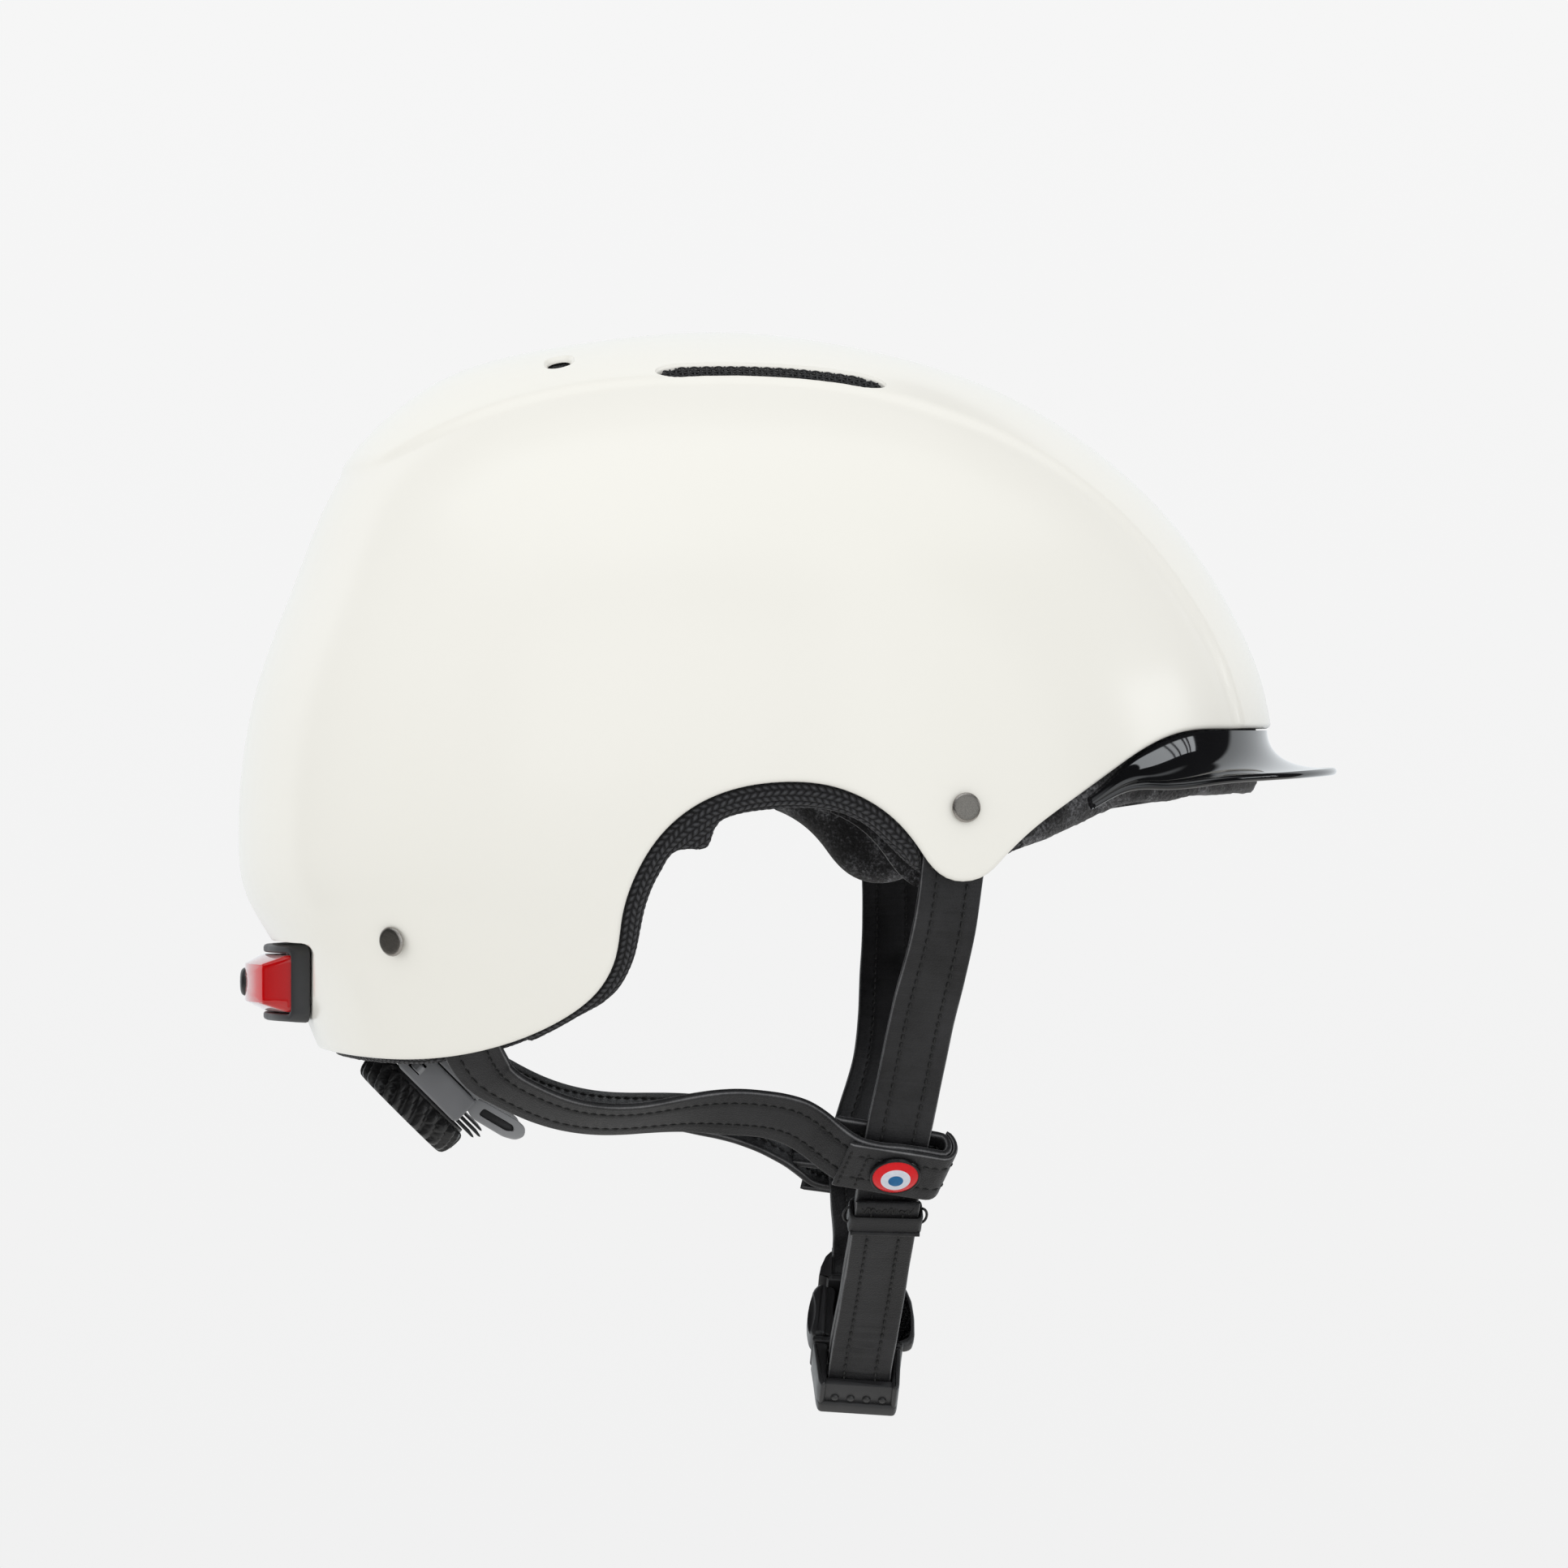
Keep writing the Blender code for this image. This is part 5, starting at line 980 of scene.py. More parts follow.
for q in Q[::-1]:
    base_ = top + out_n * (reach * q**1.9)[:, None] - up * (drop * (1 - (1 - q) ** 2.1))[:, None]
    rows.append(base_ - out_n * (1.9 - 0.7 * q) - up * (0.15 + 1.2 * q))
rows = np.array(rows)
m_, c_ = rows.shape[:2]
faces = []
for i in range(c_ - 1):
    for j in range(m_):
        jj = (j + 1) % m_
        faces.append((j * c_ + i, jj * c_ + i, jj * c_ + i + 1, j * c_ + i + 1))
faces += [tuple(j * c_ for j in range(m_)), tuple(j * c_ + c_ - 1 for j in range(m_))[::-1]]
visor = piece("visor_gloss", rows.reshape(-1, 3), faces, M_GLOSS, replaces=["visor"], slot="black_gloss", sharp=45)


# --------------------------------------------------------------------- pads
def lumps(p, size, seed):
    """A fixed, gentle unevenness."""
    w = np.array([[0.9, 0.3, 0.2], [-0.4, 0.8, 0.5], [0.2, -0.6, 0.9], [0.7, 0.7, -0.3]])
    return sum(np.sin((p @ w[i]) / size * (1 + 0.23 * i) + seed * (i + 1.7)) for i in range(4)) / 4


def pad(name, theta, t_low, t_high, rows, thick, node, seams=(), seed=1.0, puff=0.42):
    cols = len(theta)
    q = np.linspace(0, 1, rows)
    c = np.linspace(0, 1, cols)
    back_, face_ = [], []
    for r in q:
        tt = t_low + (t_high - t_low) * r
        p = skin(theta, tt)
        nrm_ = skin_normal(theta, tt)
        d0 = liner_depth(p[:, 2]) + PAD_GAP
        width = np.minimum(c, 1 - c) * 2 * max(6.0, cols * 0.35)
        prof = (np.clip(width, 0, 1) * (2 - np.clip(width, 0, 1))) ** puff * (4 * r * (1 - r)) ** puff
        for sx in seams:
            prof = prof * (1 - 0.42 * np.exp(-(((c - sx) / 0.012) ** 2)))
        prof = prof * (1 + 0.06 * lumps(p, 9.0, seed))
        back_.append(p - nrm_ * (d0 - 0.2)[:, None])
        face_.append(p - nrm_ * (d0 + 1.1 + (thick - 1.1) * prof)[:, None])
    P, F = grid_solid(np.array(back_), np.array(face_))
    o = piece(name, P, F, M_VELOUR, replaces=[node], slot="black_velour", sharp=80)
    return o


bt = np.radians(np.linspace(29, 151, 121))
low = spline([-70, -50, -30, 0, 30, 50, 70], [-15.5, -8.5, -4.5, -0.8, -4.5, -8.5, -15.5])(np.degrees(bt) - 90)
pad("brow_pad_velour", bt, t_of(low), np.full(121, t_of(30.0)), 33, 7.5, "brow_pad", seams=(0.2, 0.4, 0.6, 0.8), seed=0.6)
for side, left in (("right", False), ("left", True)):
    e_th, e_t = edge_fine(np.full(500, 6.4))
    ff = np.linspace(0.25, 0.455, 61)
    p_th, p_t = np.interp(ff, _edge_f, e_th), np.interp(ff, _edge_f, e_t)
    keep = p_th < math.radians(27.4)
    p_th, p_t = p_th[keep], p_t[keep]
    pad("temple_pad_velour_" + side, math.pi - p_th if left else p_th, p_t, np.full(len(p_th), t_of(24.0)), 31, 6.5, "temple_pad_" + side, seed=2.2, puff=0.5)
nt = np.radians(np.linspace(-128, -52, 71))
pad("nape_pad_velour", nt, np.full(71, t_of(-14.0)), np.full(71, t_of(34.0)), 31, 7.0, "nape_pad", seams=(0.33, 0.67), seed=3.1)
# crown pad: a round cushion under the top of the liner
ct = np.linspace(0, 2 * math.pi, 73)[:-1]
rows_o, rows_i = [], []
rr = np.linspace(1, 0, 19)[:-1]
tc = t_of(103.0)
d_out = LINER_OFF + LINER_THICK + PAD_GAP + 0.7
for r in rr:
    tt = np.full(72, tc * r)
    seam = 1 - 0.35 * np.exp(-(((r - 0.55) / 0.05) ** 2))
    rows_o.append(inset(ct, tt, np.full(72, d_out)))
    rows_i.append(inset(ct, tt, np.full(72, d_out + 1.2 + 4.8 * (1 - r**3) ** 0.5 * seam)))
rows = rows_o[::-1] + rows_i
P = np.concatenate(rows)
co = inset(np.array([0.0, 0.0]), np.array([0.0, 0.0]), np.array([d_out, d_out + 6.0]))
a, b = len(P), len(P) + 1
P = np.concatenate([P, co])
F = ring_faces(len(rows), 72)
last = (len(rows) - 1) * 72
for i in range(72):
    k_ = (i + 1) % 72
    F += [(a, k_, i), (b, last + i, last + k_)]
crown = piece("crown_pad_velour", P, F, M_VELOUR, replaces=["crown_pad"], slot="black_velour", sharp=80)


# -------------------------------------------------------------- turned parts
def basis(axis, hint=(0, 0, 1)):
    w = unit(np.asarray(axis, float))
    u = np.cross(np.asarray(hint, float), w)
    if np.linalg.norm(u) < 1e-6:
        u = np.cross([0, 1.0, 0], w)
    u = unit(u)
    return u, np.cross(w, u), w


def turned(name, origin, axis, profile, sides, mats, index=None, **kw):
    """A solid of revolution from (radius, height) points; index gives each band's material."""
    u, v, w = basis(axis)
    o = np.asarray(origin, float)
    pts, rows = [], []
    for r, h in profile:
        if r < 1e-6:
            rows.append([len(pts)])
            pts.append(o + w * h)
        else:
            rows.append(list(range(len(pts), len(pts) + sides)))
            for i in range(sides):
                a = 2 * math.pi * i / sides
                pts.append(o + w * h + (u * math.cos(a) + v * math.sin(a)) * r)
    pairs = list(zip(rows, rows[1:]))
    if len(rows[0]) > 1:
        pairs.append((rows[-1], rows[0]))
    faces, idx = [], []
    for j, (a, b) in enumerate(pairs):
        for i in range(sides):
            k = (i + 1) % sides
            if len(a) == 1 and len(b) == 1:
                continue
            if len(a) == 1:
                faces.append((a[0], b[i], b[k]))
            elif len(b) == 1:
                faces.append((a[i], a[k], b[0]))
            else:
                faces.append((a[i], a[k], b[k], b[i]))
            idx.append(index[j] if index else 0)
    return piece(name, pts, faces, mats, index=idx if index else None, **kw)


def rounded(points, radius, seg=4):
    """Rounds the corners of an open (r, h) profile."""
    p = [np.asarray(x, float) for x in points]
    out = [p[0]]
    for a, b, c in zip(p, p[1:], p[2:]):
        la, lc = np.linalg.norm(a - b), np.linalg.norm(c - b)
        r = min(radius, la * 0.45, lc * 0.45)
        s, e = b + (a - b) / la * r, b + (c - b) / lc * r
        for i in range(seg + 1):
            u = i / seg
            out.append((1 - u) ** 2 * s + 2 * u * (1 - u) * b + u * u * e)
    out.append(p[-1])
    return [tuple(x) for x in out]


for side, left in (("right", False), ("left", True)):
    for label, (ry, rz) in (("front", FRONT_RIVET), ("rear", REAR_RIVET)):
        p, nrm = side_point(ry, rz, 0, left)
        if label == "rear":
            p, nrm = p + nrm * 0.3, unit(nrm * np.array([1, 1, 0.4]))
        prof = [(0, 1.12), (2.2, 1.12), (2.85, 1.1), (3.02, 1.06), (3.14, 1.0), (3.42, 0.78), (3.56, 0.6), (RIVET_R, 0.45), (RIVET_R, GAP), (3.3, 0.05), (1.5, 0.0), (1.5, -7.9), (0, -7.9)]
        idx = [0, 0, 0, 0, 1, 1, 1, 1, 1, 1, 1, 1, 1]
        turned(f"{label}_rivet_head_{side}", p, nrm, prof, 48, [M_RIVET, M_RIM], idx, replaces=[f"{label}_rivet_{side}"], slot="gunmetal", sharp=60)

# ------------------------------------------------------------------- straps
vb = unit(BUCKLE_V)
ub = unit(np.cross(BUCKLE_V, BUCKLE_N))
nb = unit(np.cross(ub, vb))
ob = np.asarray(BUCKLE_O)


def in_buckle(u, v, n_):
    return ob + ub * u + vb * v + nb * n_


def strap_inside(ys, zs, left):
    return [side_point(y, z, LINER_OFF + STRAP_T / 2, left)[0] for y, z in zip(ys, zs)]


def strap_across(path, n_in, left, end, swap):
    k = len(path)
    tan = unit(np.gradient(path, axis=0))
    nrm = np.array([side_point(y, z, 0, left)[1] for y, z in zip(path[:, 1], np.clip(path[:, 2], -24, 110))])
    hug = np.cross(nrm, tan)
    hug *= np.sign(hug[:, 1:2])
    q1 = smooth(np.arange(k), n_in, n_in + 6)[:, None]
    q2 = smooth(np.arange(k), swap - 3, swap)[:, None]
    free_w = np.tile(np.array([0, 1.0, 0]), (k, 1)) * (1 - q2) + np.asarray(end) * q2
    return hug * (1 - q1) + free_w * q1


def strap_section(width, thick, groove=True):
    """Outline of a folded and stitched strap: round edges, a groove for each row of stitches."""
    r = min(0.95, thick * 0.45)
    a = np.concatenate([-width / 2 + r * (1 - np.cos(np.radians(np.linspace(0, 90, 6)))), np.linspace(-width / 2 + r, width / 2 - r, 31)[1:-1], width / 2 - r * (1 - np.cos(np.radians(np.linspace(90, 0, 6))))])
    over = np.clip((np.abs(a) - (width / 2 - r)) / r, 0, 1)
    h = thick / 2 - r + r * np.sqrt(np.clip(1 - over**2, 0, 1))
    dip = 0.26 * np.exp(-(((np.abs(a) - 0.245 * width) / 0.5) ** 2)) if groove else 0 * a
    crown = 0.14 * np.clip(1 - (a / (0.23 * width)) ** 2, 0, 1)
    topo = np.stack([a, h - dip + crown], 1)
    under = np.stack([a[::-1], (-h + 0.6 * dip)[::-1]], 1)
    sec = np.concatenate([topo, under])
    keep = np.concatenate([[True], np.linalg.norm(np.diff(sec, axis=0), axis=1) > 1e-5])
    return sec[keep]


def frames(path6):
    c, w = path6[:, :3], path6[:, 3:6]
    tan = unit(np.gradient(c, axis=0))
    w = unit(w - np.sum(w * tan, 1, keepdims=True) * tan)
    return c, w, np.cross(tan, w), tan


def strap_piece(name, path6, width, thick, node, out_dir, body="helmet", wrinkle=None, material=None):
    """A fine strap along path6 (place and width direction); out_dir is not used."""
    c, w, nn, tan = frames(path6)
    sec = strap_section(width, thick)
    k = len(c)
    s_len = np.concatenate([[0], np.cumsum(np.linalg.norm(np.diff(c, axis=0), axis=1))])
    ends = np.minimum(np.minimum(s_len, s_len[-1] - s_len) / 1.1, 1)
    tight = 0.35 + 0.65 * np.sqrt(np.clip(1 - (1 - ends) ** 2, 0, 1))
    # a little unevenness of the hand-sewn edge
    wob = 1 + 0.006 * np.sin(s_len / 7.0) + 0.004 * np.sin(s_len / 2.9 + 1)
    b = sec[None, :, 1] * tight[:, None]
    if wrinkle is not None:
        b = b + np.sign(sec[None, :, 1]) * wrinkle(s_len, sec[:, 0])
    P = c[:, None] + w[:, None] * (sec[None, :, :1] * wob[:, None, None]) + nn[:, None] * b[..., None]
    m = len(sec)
    F = ring_faces(k, m) + [tuple(range(m))[::-1], tuple((k - 1) * m + i for i in range(m))]
    uv = np.stack([np.broadcast_to(s_len[:, None], (k, m)), np.broadcast_to(np.arange(m)[None], (k, m))], -1).reshape(-1, 2) * 0.1
    obj = piece(name, P.reshape(-1, 3), F, material or M_LEATHER, body, replaces=[node] if node else (), slot="black_leather", uv=uv, sharp=60)
    # painted highlight: how much the colour is lightened on the strap's rounded edges, kept in the edge attribute
    painted_edge_light = smooth(np.abs(sec[:, 0]), width / 2 - 0.55, width / 2 - 0.15) * smooth(np.abs(sec[:, 1]), 0.12 * thick, 0.3 * thick)
    obj.data.attributes.new("edge", "FLOAT", "POINT").data.foreach_set("value", np.tile(painted_edge_light, k).astype(np.float32))
    return obj


def stitch_row(path6, a_off, height, spans, length=1.5, pitch=2.35, radius=0.29):
    """Thread stitches along a strap: small raised bars, dipping at both ends."""
    c, w, nn, tan = frames(path6)
    s_len = np.concatenate([[0], np.cumsum(np.linalg.norm(np.diff(c, axis=0), axis=1))])
    parts = []
    at = lambda q: (np.stack([np.interp(q, s_len, c[:, i]) for i in range(3)], -1), unit(np.stack([np.interp(q, s_len, w[:, i]) for i in range(3)], -1)), unit(np.stack([np.interp(q, s_len, nn[:, i]) for i in range(3)], -1)))
    for s0, s1 in spans:
        for q in np.arange(s0, s1 - length, pitch):
            u = np.linspace(q, q + length, 6)
            cc, ww, hh = at(u)
            rise = np.array([-0.3, 0.0, 0.12, 0.12, 0.0, -0.3])
            line = cc + ww * a_off + hh * (height + np.sign(height) * rise)[:, None]
            parts.append(tube(line, radius, 6))
    return parts


def stitches(name, rows, body="helmet"):
    P, F = merge([x for r in rows for x in r])
    return piece(name, P, F, M_THREAD, body, slot="black_leather", fix=False)


# right front strap: rivet, junction, keeper, through the buckle and back up
PJ = np.asarray(JUNCTION_R)
low_in, low_out = in_buckle(0, BAR_V + TURN_R, BUCKLE_H + 2), in_buckle(0, BAR_V - TURN_R, BUCKLE_H + 2)
leg = unit(PJ - (low_in * 0.62 + low_out * 0.38))
leg_w = unit(np.array([0, 1.0, 0]) - leg * leg[1])
leg_n = unit(np.cross(leg, leg_w))
if leg_n[0] < 0:
    leg_n = -leg_n
upper = strap_inside([41.5, 41.0, 39.9], [2.5, -9, -19], False)
free = [(88.0, 36.9, -35), (76.5, 33.3, -55), (65.0, 30.3, -75)]
down_p = through(upper + free + [tuple(PJ + leg * d) for d in (11, 0, -12)], 20)
straight = [PJ - leg * d for d in (22, 34, 46)]
foot = in_buckle(0, BAR_V + TURN_R, BUCKLE_H + 6)
bend = [foot, in_buckle(0, BAR_V + TURN_R, BUCKLE_H - 1), in_buckle(0, BAR_V + TURN_R, 1.5)]
turn = [in_buckle(0, BAR_V + TURN_R * math.cos(a), -1 - TURN_R * math.sin(a)) for a in np.radians(np.linspace(0, 180, 9))]
tail_gap = STRAP_T + 0.4
back_p = [in_buckle(0, BAR_V - TURN_R, 1.5), in_buckle(0, BAR_V - TURN_R, BUCKLE_H - 1), in_buckle(0, BAR_V - TURN_R, BUCKLE_H + 4)]
tail = [PJ - leg * d + leg_n * tail_gap for d in (46, 36, 27, 19, 7.6)]
right_path = np.array(list(down_p) + straight + bend + turn + back_p + tail)
right_across = strap_across(right_path, 5, False, ub, len(down_p) + len(straight))
right_across[len(down_p) + len(straight) + len(bend) + len(turn) + len(back_p) :] = (0, 1, 0)
path_r = catmull(np.hstack([right_path, right_across]), 1.1)
n_down = len(down_p)


def crease(centre, spread, height):
    def at(s_len, a):
        env = np.exp(-(((s_len - centre) / spread) ** 2))
        w_ = np.sin(s_len[:, None] * 2.1 + 0.35 * np.sin(a[None] * 0.7 + 1.0) + 0.5 * np.sin(s_len[:, None] * 0.63)) ** 3
        return height * env[:, None] * w_ * np.clip(1.15 - np.abs(a[None]) / 8.0, 0.15, 1)

    return at


len_r = np.linalg.norm(np.diff(path_r[:, :3], axis=0), axis=1).sum()
c_ = path_r[:, :3]
s_r = np.concatenate([[0], np.cumsum(np.linalg.norm(np.diff(c_, axis=0), axis=1))])
foot_s = s_r[np.argmin(np.linalg.norm(c_ - in_buckle(0, BAR_V, -1 - TURN_R), axis=1))]
tail_s0 = foot_s + 13.0
strap_piece("front_strap_leather_right", path_r, STRAP_W, STRAP_T, "front_strap_right", None, wrinkle=crease(tail_s0 + 9, 13, 0.34))
rows_s = []
for a_off in (-3.92, 3.92):
    for h in (STRAP_T / 2 - 0.14, -STRAP_T / 2 + 0.02):
        rows_s.append(stitch_row(path_r, a_off, h, [(6, s_r[-1] - 3)]))
wild = np.sin(np.arange(19) * 2.37) * 0.35
rough = [PJ - leg * (9.75 + (0.75 if i % 2 else -0.75) + wild[i]) + leg_w * (-6.3 + 0.7 * i + 0.6 * wild[-i]) + leg_n * (tail_gap + STRAP_T / 2 - 0.04 + 0.06 * (i % 3)) for i in range(19)]
rows_s.append([tube(catmull(np.array(rough), 0.25), 0.24, 6)])
stitches("front_strap_stitches_right", rows_s)

# left front strap: rivet, junction, round the buckle's upper bar and sewn back on itself
PL = np.asarray(JUNCTION_L)
TOP_V = BUCKLE_L - 1.8
upper_l = strap_inside([41.8, 42.2, 42.4], [2.5, -9, -19], True)
wrap_r = 3.1
enter = in_buckle(0, TOP_V + 9, wrap_r)
leg_l = unit(PL - enter)
free_l = [(-88.0, 41.2, -35), (-77.0, 39.4, -56), (-66.0, 35.8, -78)]
down_l = through(upper_l + free_l + [tuple(PL + leg_l * d) for d in (11, 0, -11)], 20)
hook = [in_buckle(0, TOP_V + 5, wrap_r), in_buckle(0, TOP_V + 2, wrap_r)]
hook += [in_buckle(0, TOP_V - wrap_r * math.sin(a), wrap_r * math.cos(a)) for a in np.radians(np.linspace(0, 180, 9))]
hook += [in_buckle(0, TOP_V + 4, -wrap_r), in_buckle(0, TOP_V + 10, -wrap_r + 0.3)]
left_path = np.array(list(down_l) + [enter] + hook)
left_across = strap_across(left_path, 5, True, ub, len(down_l) + 1)
path_l = catmull(np.hstack([left_path, left_across]), 1.1)
strap_piece("front_strap_leather_left", path_l, STRAP_W, STRAP_T, "front_strap_left", None)
s_l = np.linalg.norm(np.diff(path_l[:, :3], axis=0), axis=1).sum()
stitches("front_strap_stitches_left", [stitch_row(path_l, a_off, h, [(6, s_l - 3)]) for a_off in (-3.92, 3.92) for h in (STRAP_T / 2 - 0.14, -STRAP_T / 2 + 0.02)])

# rear straps
REAR_RUN = [(67.5, -72.2, -71.2), (66.5, -64.6, -76.4), (64.5, -54, -80.8), (62, -40, -82.6), (59.5, -24, -81.3), (57.2, -8, -81.4), (55, 6, -85.0)]
for side, s, P_, L, front_path in (("right", 1, PJ, leg, path_r), ("left", -1, PL, leg_l, path_l)):
    ins = strap_inside([-97.5, -92, -86, -80], [-33, -44, -55, -63.5], s < 0)
    P_ = P_ + L * (6.0 if s > 0 else 8.5)
    W = unit(np.array([0, 1.0, 0]) - L * L[1])
    N = unit(np.cross(L, W))
    if N[0] * s < 0:
        N = -N
    drop_z = PL[2] + 96.9 if s < 0 else 0.0
    fwd = unit(W - L * 0.2)
    run = [np.array([x * s, y, z + drop_z * smooth(y, -70, 12)]) for x, y, z in REAR_RUN]
    over = STRAP_T + 0.8
    reach_in = [P_ + N * over + fwd * d for d in (-11, 0, 9.5)]
    path1 = through(ins + run + reach_in, 32)
    edge_c = P_ + fwd * 9.9
    arc_p = [edge_c + N * over * math.cos(a) + fwd * 1.9 * math.sin(a) for a in np.radians(np.linspace(12, 168, 7))]
    back_in = [P_ - N * over + fwd * d for d in (9.5, 0, -9, -17)]
    path = np.array(list(path1) + arc_p + back_in)
    nn_ = len(path1)
    q = smooth(np.arange(nn_), 6, 12)[:, None]
    inner_n = np.array([side_point(y, max(z, -66), 0, s < 0)[1] for y, z in zip(np.clip(path1[:, 1], -110, -60), path1[:, 2])])
    hang = 0.62 * smooth(path1[:, 1], -82, -68) * (1 - smooth(path1[:, 1], -36, -10))
    face = unit(inner_n * (1 - q) + N * q + np.outer(hang, [0, 0, -1.0]))
    tan = unit(np.gradient(path1, axis=0))
    across = np.cross(face, tan)
    across = np.concatenate([across, np.tile(across[-1], (len(path) - nn_, 1))])
    path_b = catmull(np.hstack([path, across]), 1.1)
    strap_piece("rear_strap_leather_" + side, path_b, STRAP_W, STRAP_T - 0.2, "rear_strap_" + side, None)
    s_b = np.linalg.norm(np.diff(path_b[:, :3], axis=0), axis=1).sum()
    rows_s = [stitch_row(path_b, a_off, h, [(6, s_b - 3)]) for a_off in (-3.92, 3.92) for h in ((STRAP_T - 0.2) / 2 - 0.14, -(STRAP_T - 0.2) / 2 + 0.02)]
    # the end folded back over the outside, with a box of stitches
    bw = unit(np.cross(N, fwd))
    lift = over + (STRAP_T - 0.2) / 2 + 0.72
    flap = [edge_c + N * lift * math.cos(a) + fwd * (1.9 + lift - over) * math.sin(a) for a in np.radians([152, 132, 112, 96, 80, 64, 48, 32, 16, 2])] + [P_ + N * lift + fwd * d for d in (7, 2, -4, -9, -13.8)]
    path_f = catmull(np.hstack([np.array(flap), np.tile(bw, (len(flap), 1))]), 0.9)
    strap_piece("rear_strap_flap_" + side, path_f, STRAP_W - 0.3, 1.3, None, None)
    for dx_ in (-12.7, -8.3):
        row = np.array([np.concatenate([P_ + N * lift + fwd * dx_ + bw * y_, fwd]) for y_ in np.linspace(-6.6, 6.6, 12)])
        cc, ww, hh, _t = frames(row)
        sgn = 1 if np.sum(hh[0] * N) > 0 else -1
        rows_s.append(stitch_row(row, 0.0, sgn * 0.6, [(0, 13.2)], 1.2, 1.8))
    cf, wf, hf, _t = frames(path_f)
    sgn = 1 if np.sum(hf[-1] * N) > 0 else -1
    s_f = np.linalg.norm(np.diff(cf, axis=0), axis=1).sum()
    for a_off in (-3.85, 3.85):
        rows_s.append(stitch_row(path_f, a_off, sgn * 0.52, [(2, s_f - 1)]))
    stitches("rear_strap_stitches_" + side, rows_s)
    cap_at = P_ + N * (lift + 0.65)
    prof = [(0, 2.4), (1.0, 2.38), (1.85, 2.3), (2.8, 2.14), (3.65, 1.93), (4.5, 1.64), (5.2, 1.33), (5.5, 1.16), (5.6, 1.08), (5.72, 1.2), (5.92, 1.26), (6.14, 1.18), (6.3, 0.93), (6.36, 0.6), (6.3, 0.25), (5.9, 0.1), (1.5, 0.1), (1.5, -9.3), (0, -9.3)]
    idx = [2, 2, 1, 1, 0, 0, 0, 0, 3, 3, 3, 3, 3, 3, 3, 3, 3, 3]
    turned("snap_base_disc_" + side, P_ - N * (over + STRAP_T / 2), -N, [(0, 1.3), (3.4, 1.3), (4.7, 1.05), (5.2, 0.6), (5.25, 0.15), (4.9, 0.0), (1.7, 0.0), (1.7, -0.6), (0, -0.6)], 48, M_RIM, None, replaces=["snap_base_" + side], slot="gunmetal", sharp=60)
    turned("snap_cap_dome_" + side, cap_at, N, prof, 72, [M_RED, M_WHITE, M_BLUE, M_CAPRIM], idx, replaces=["snap_cap_" + side], slot="enamel_cap", sharp=70)

# keeper band
KC = PJ - leg * (KEEPER_AT - 3.0) + leg_n * tail_gap / 2
kh, kw_ = (STRAP_T + tail_gap) / 2 + 0.52, STRAP_W / 2 + 0.35
inner_o, inner_d = slot_outline(0, 0, kw_, kh, 8, 1.2)
inner_o, inner_d = densify(inner_o, inner_d, 1.2)
outer_o = inner_o + inner_d * (0.62 + 0.2 * smooth(np.abs(inner_o[:, :1]), kw_ - 1.6, kw_))
rows = []
for q, e in ((-0.5, 0.55), (-0.46, 0.82), (-0.38, 1.0), (-0.15, 0.96), (0, 0.95), (0.15, 0.96), (0.38, 1.0), (0.46, 0.82), (0.5, 0.55)):
    sec = inner_o + (outer_o - inner_o) * e
    rows.append(KC + np.outer(sec[:, 0], leg_w) + np.outer(sec[:, 1], leg_n) + leg * KEEPER_L * q)
for q in (0.47, 0.0, -0.47):
    rows.append(KC + np.outer(inner_o[:, 0], leg_w) + np.outer(inner_o[:, 1], leg_n) + leg * KEEPER_L * q)
P = np.concatenate(rows)
m_ = len(inner_o)
k_ = len(rows)
F = ring_faces(k_, m_) + [((k_ - 1) * m_ + i, (k_ - 1) * m_ + (i + 1) % m_, (i + 1) % m_, i) for i in range(m_)]
piece("strap_keeper_band", P, F, M_LEATHER, "keeper", replaces=["strap_keeper"], slot="black_leather", sharp=60)
ears = []
for s in (1, -1):
    ears.append(tube([KC + leg_w * s * (kw_ + 0.5 + 1.5 * math.cos(a)) + leg * (0.6 + 2.7 * math.sin(a)) for a in np.radians(np.linspace(-88, 88, 15))], 0.34, 8))
ears.append(tube([KC + np.asarray(leg_w) * x + leg_n * (kh + 0.55) - leg * (KEEPER_L * 0.5 - 0.7) for x in np.linspace(-kw_ - 0.3, kw_ + 0.3, 25)], 0.62, 10))
piece("strap_keeper_loops", *merge(ears), M_LEATHER, "keeper", slot="black_leather", fix=True)


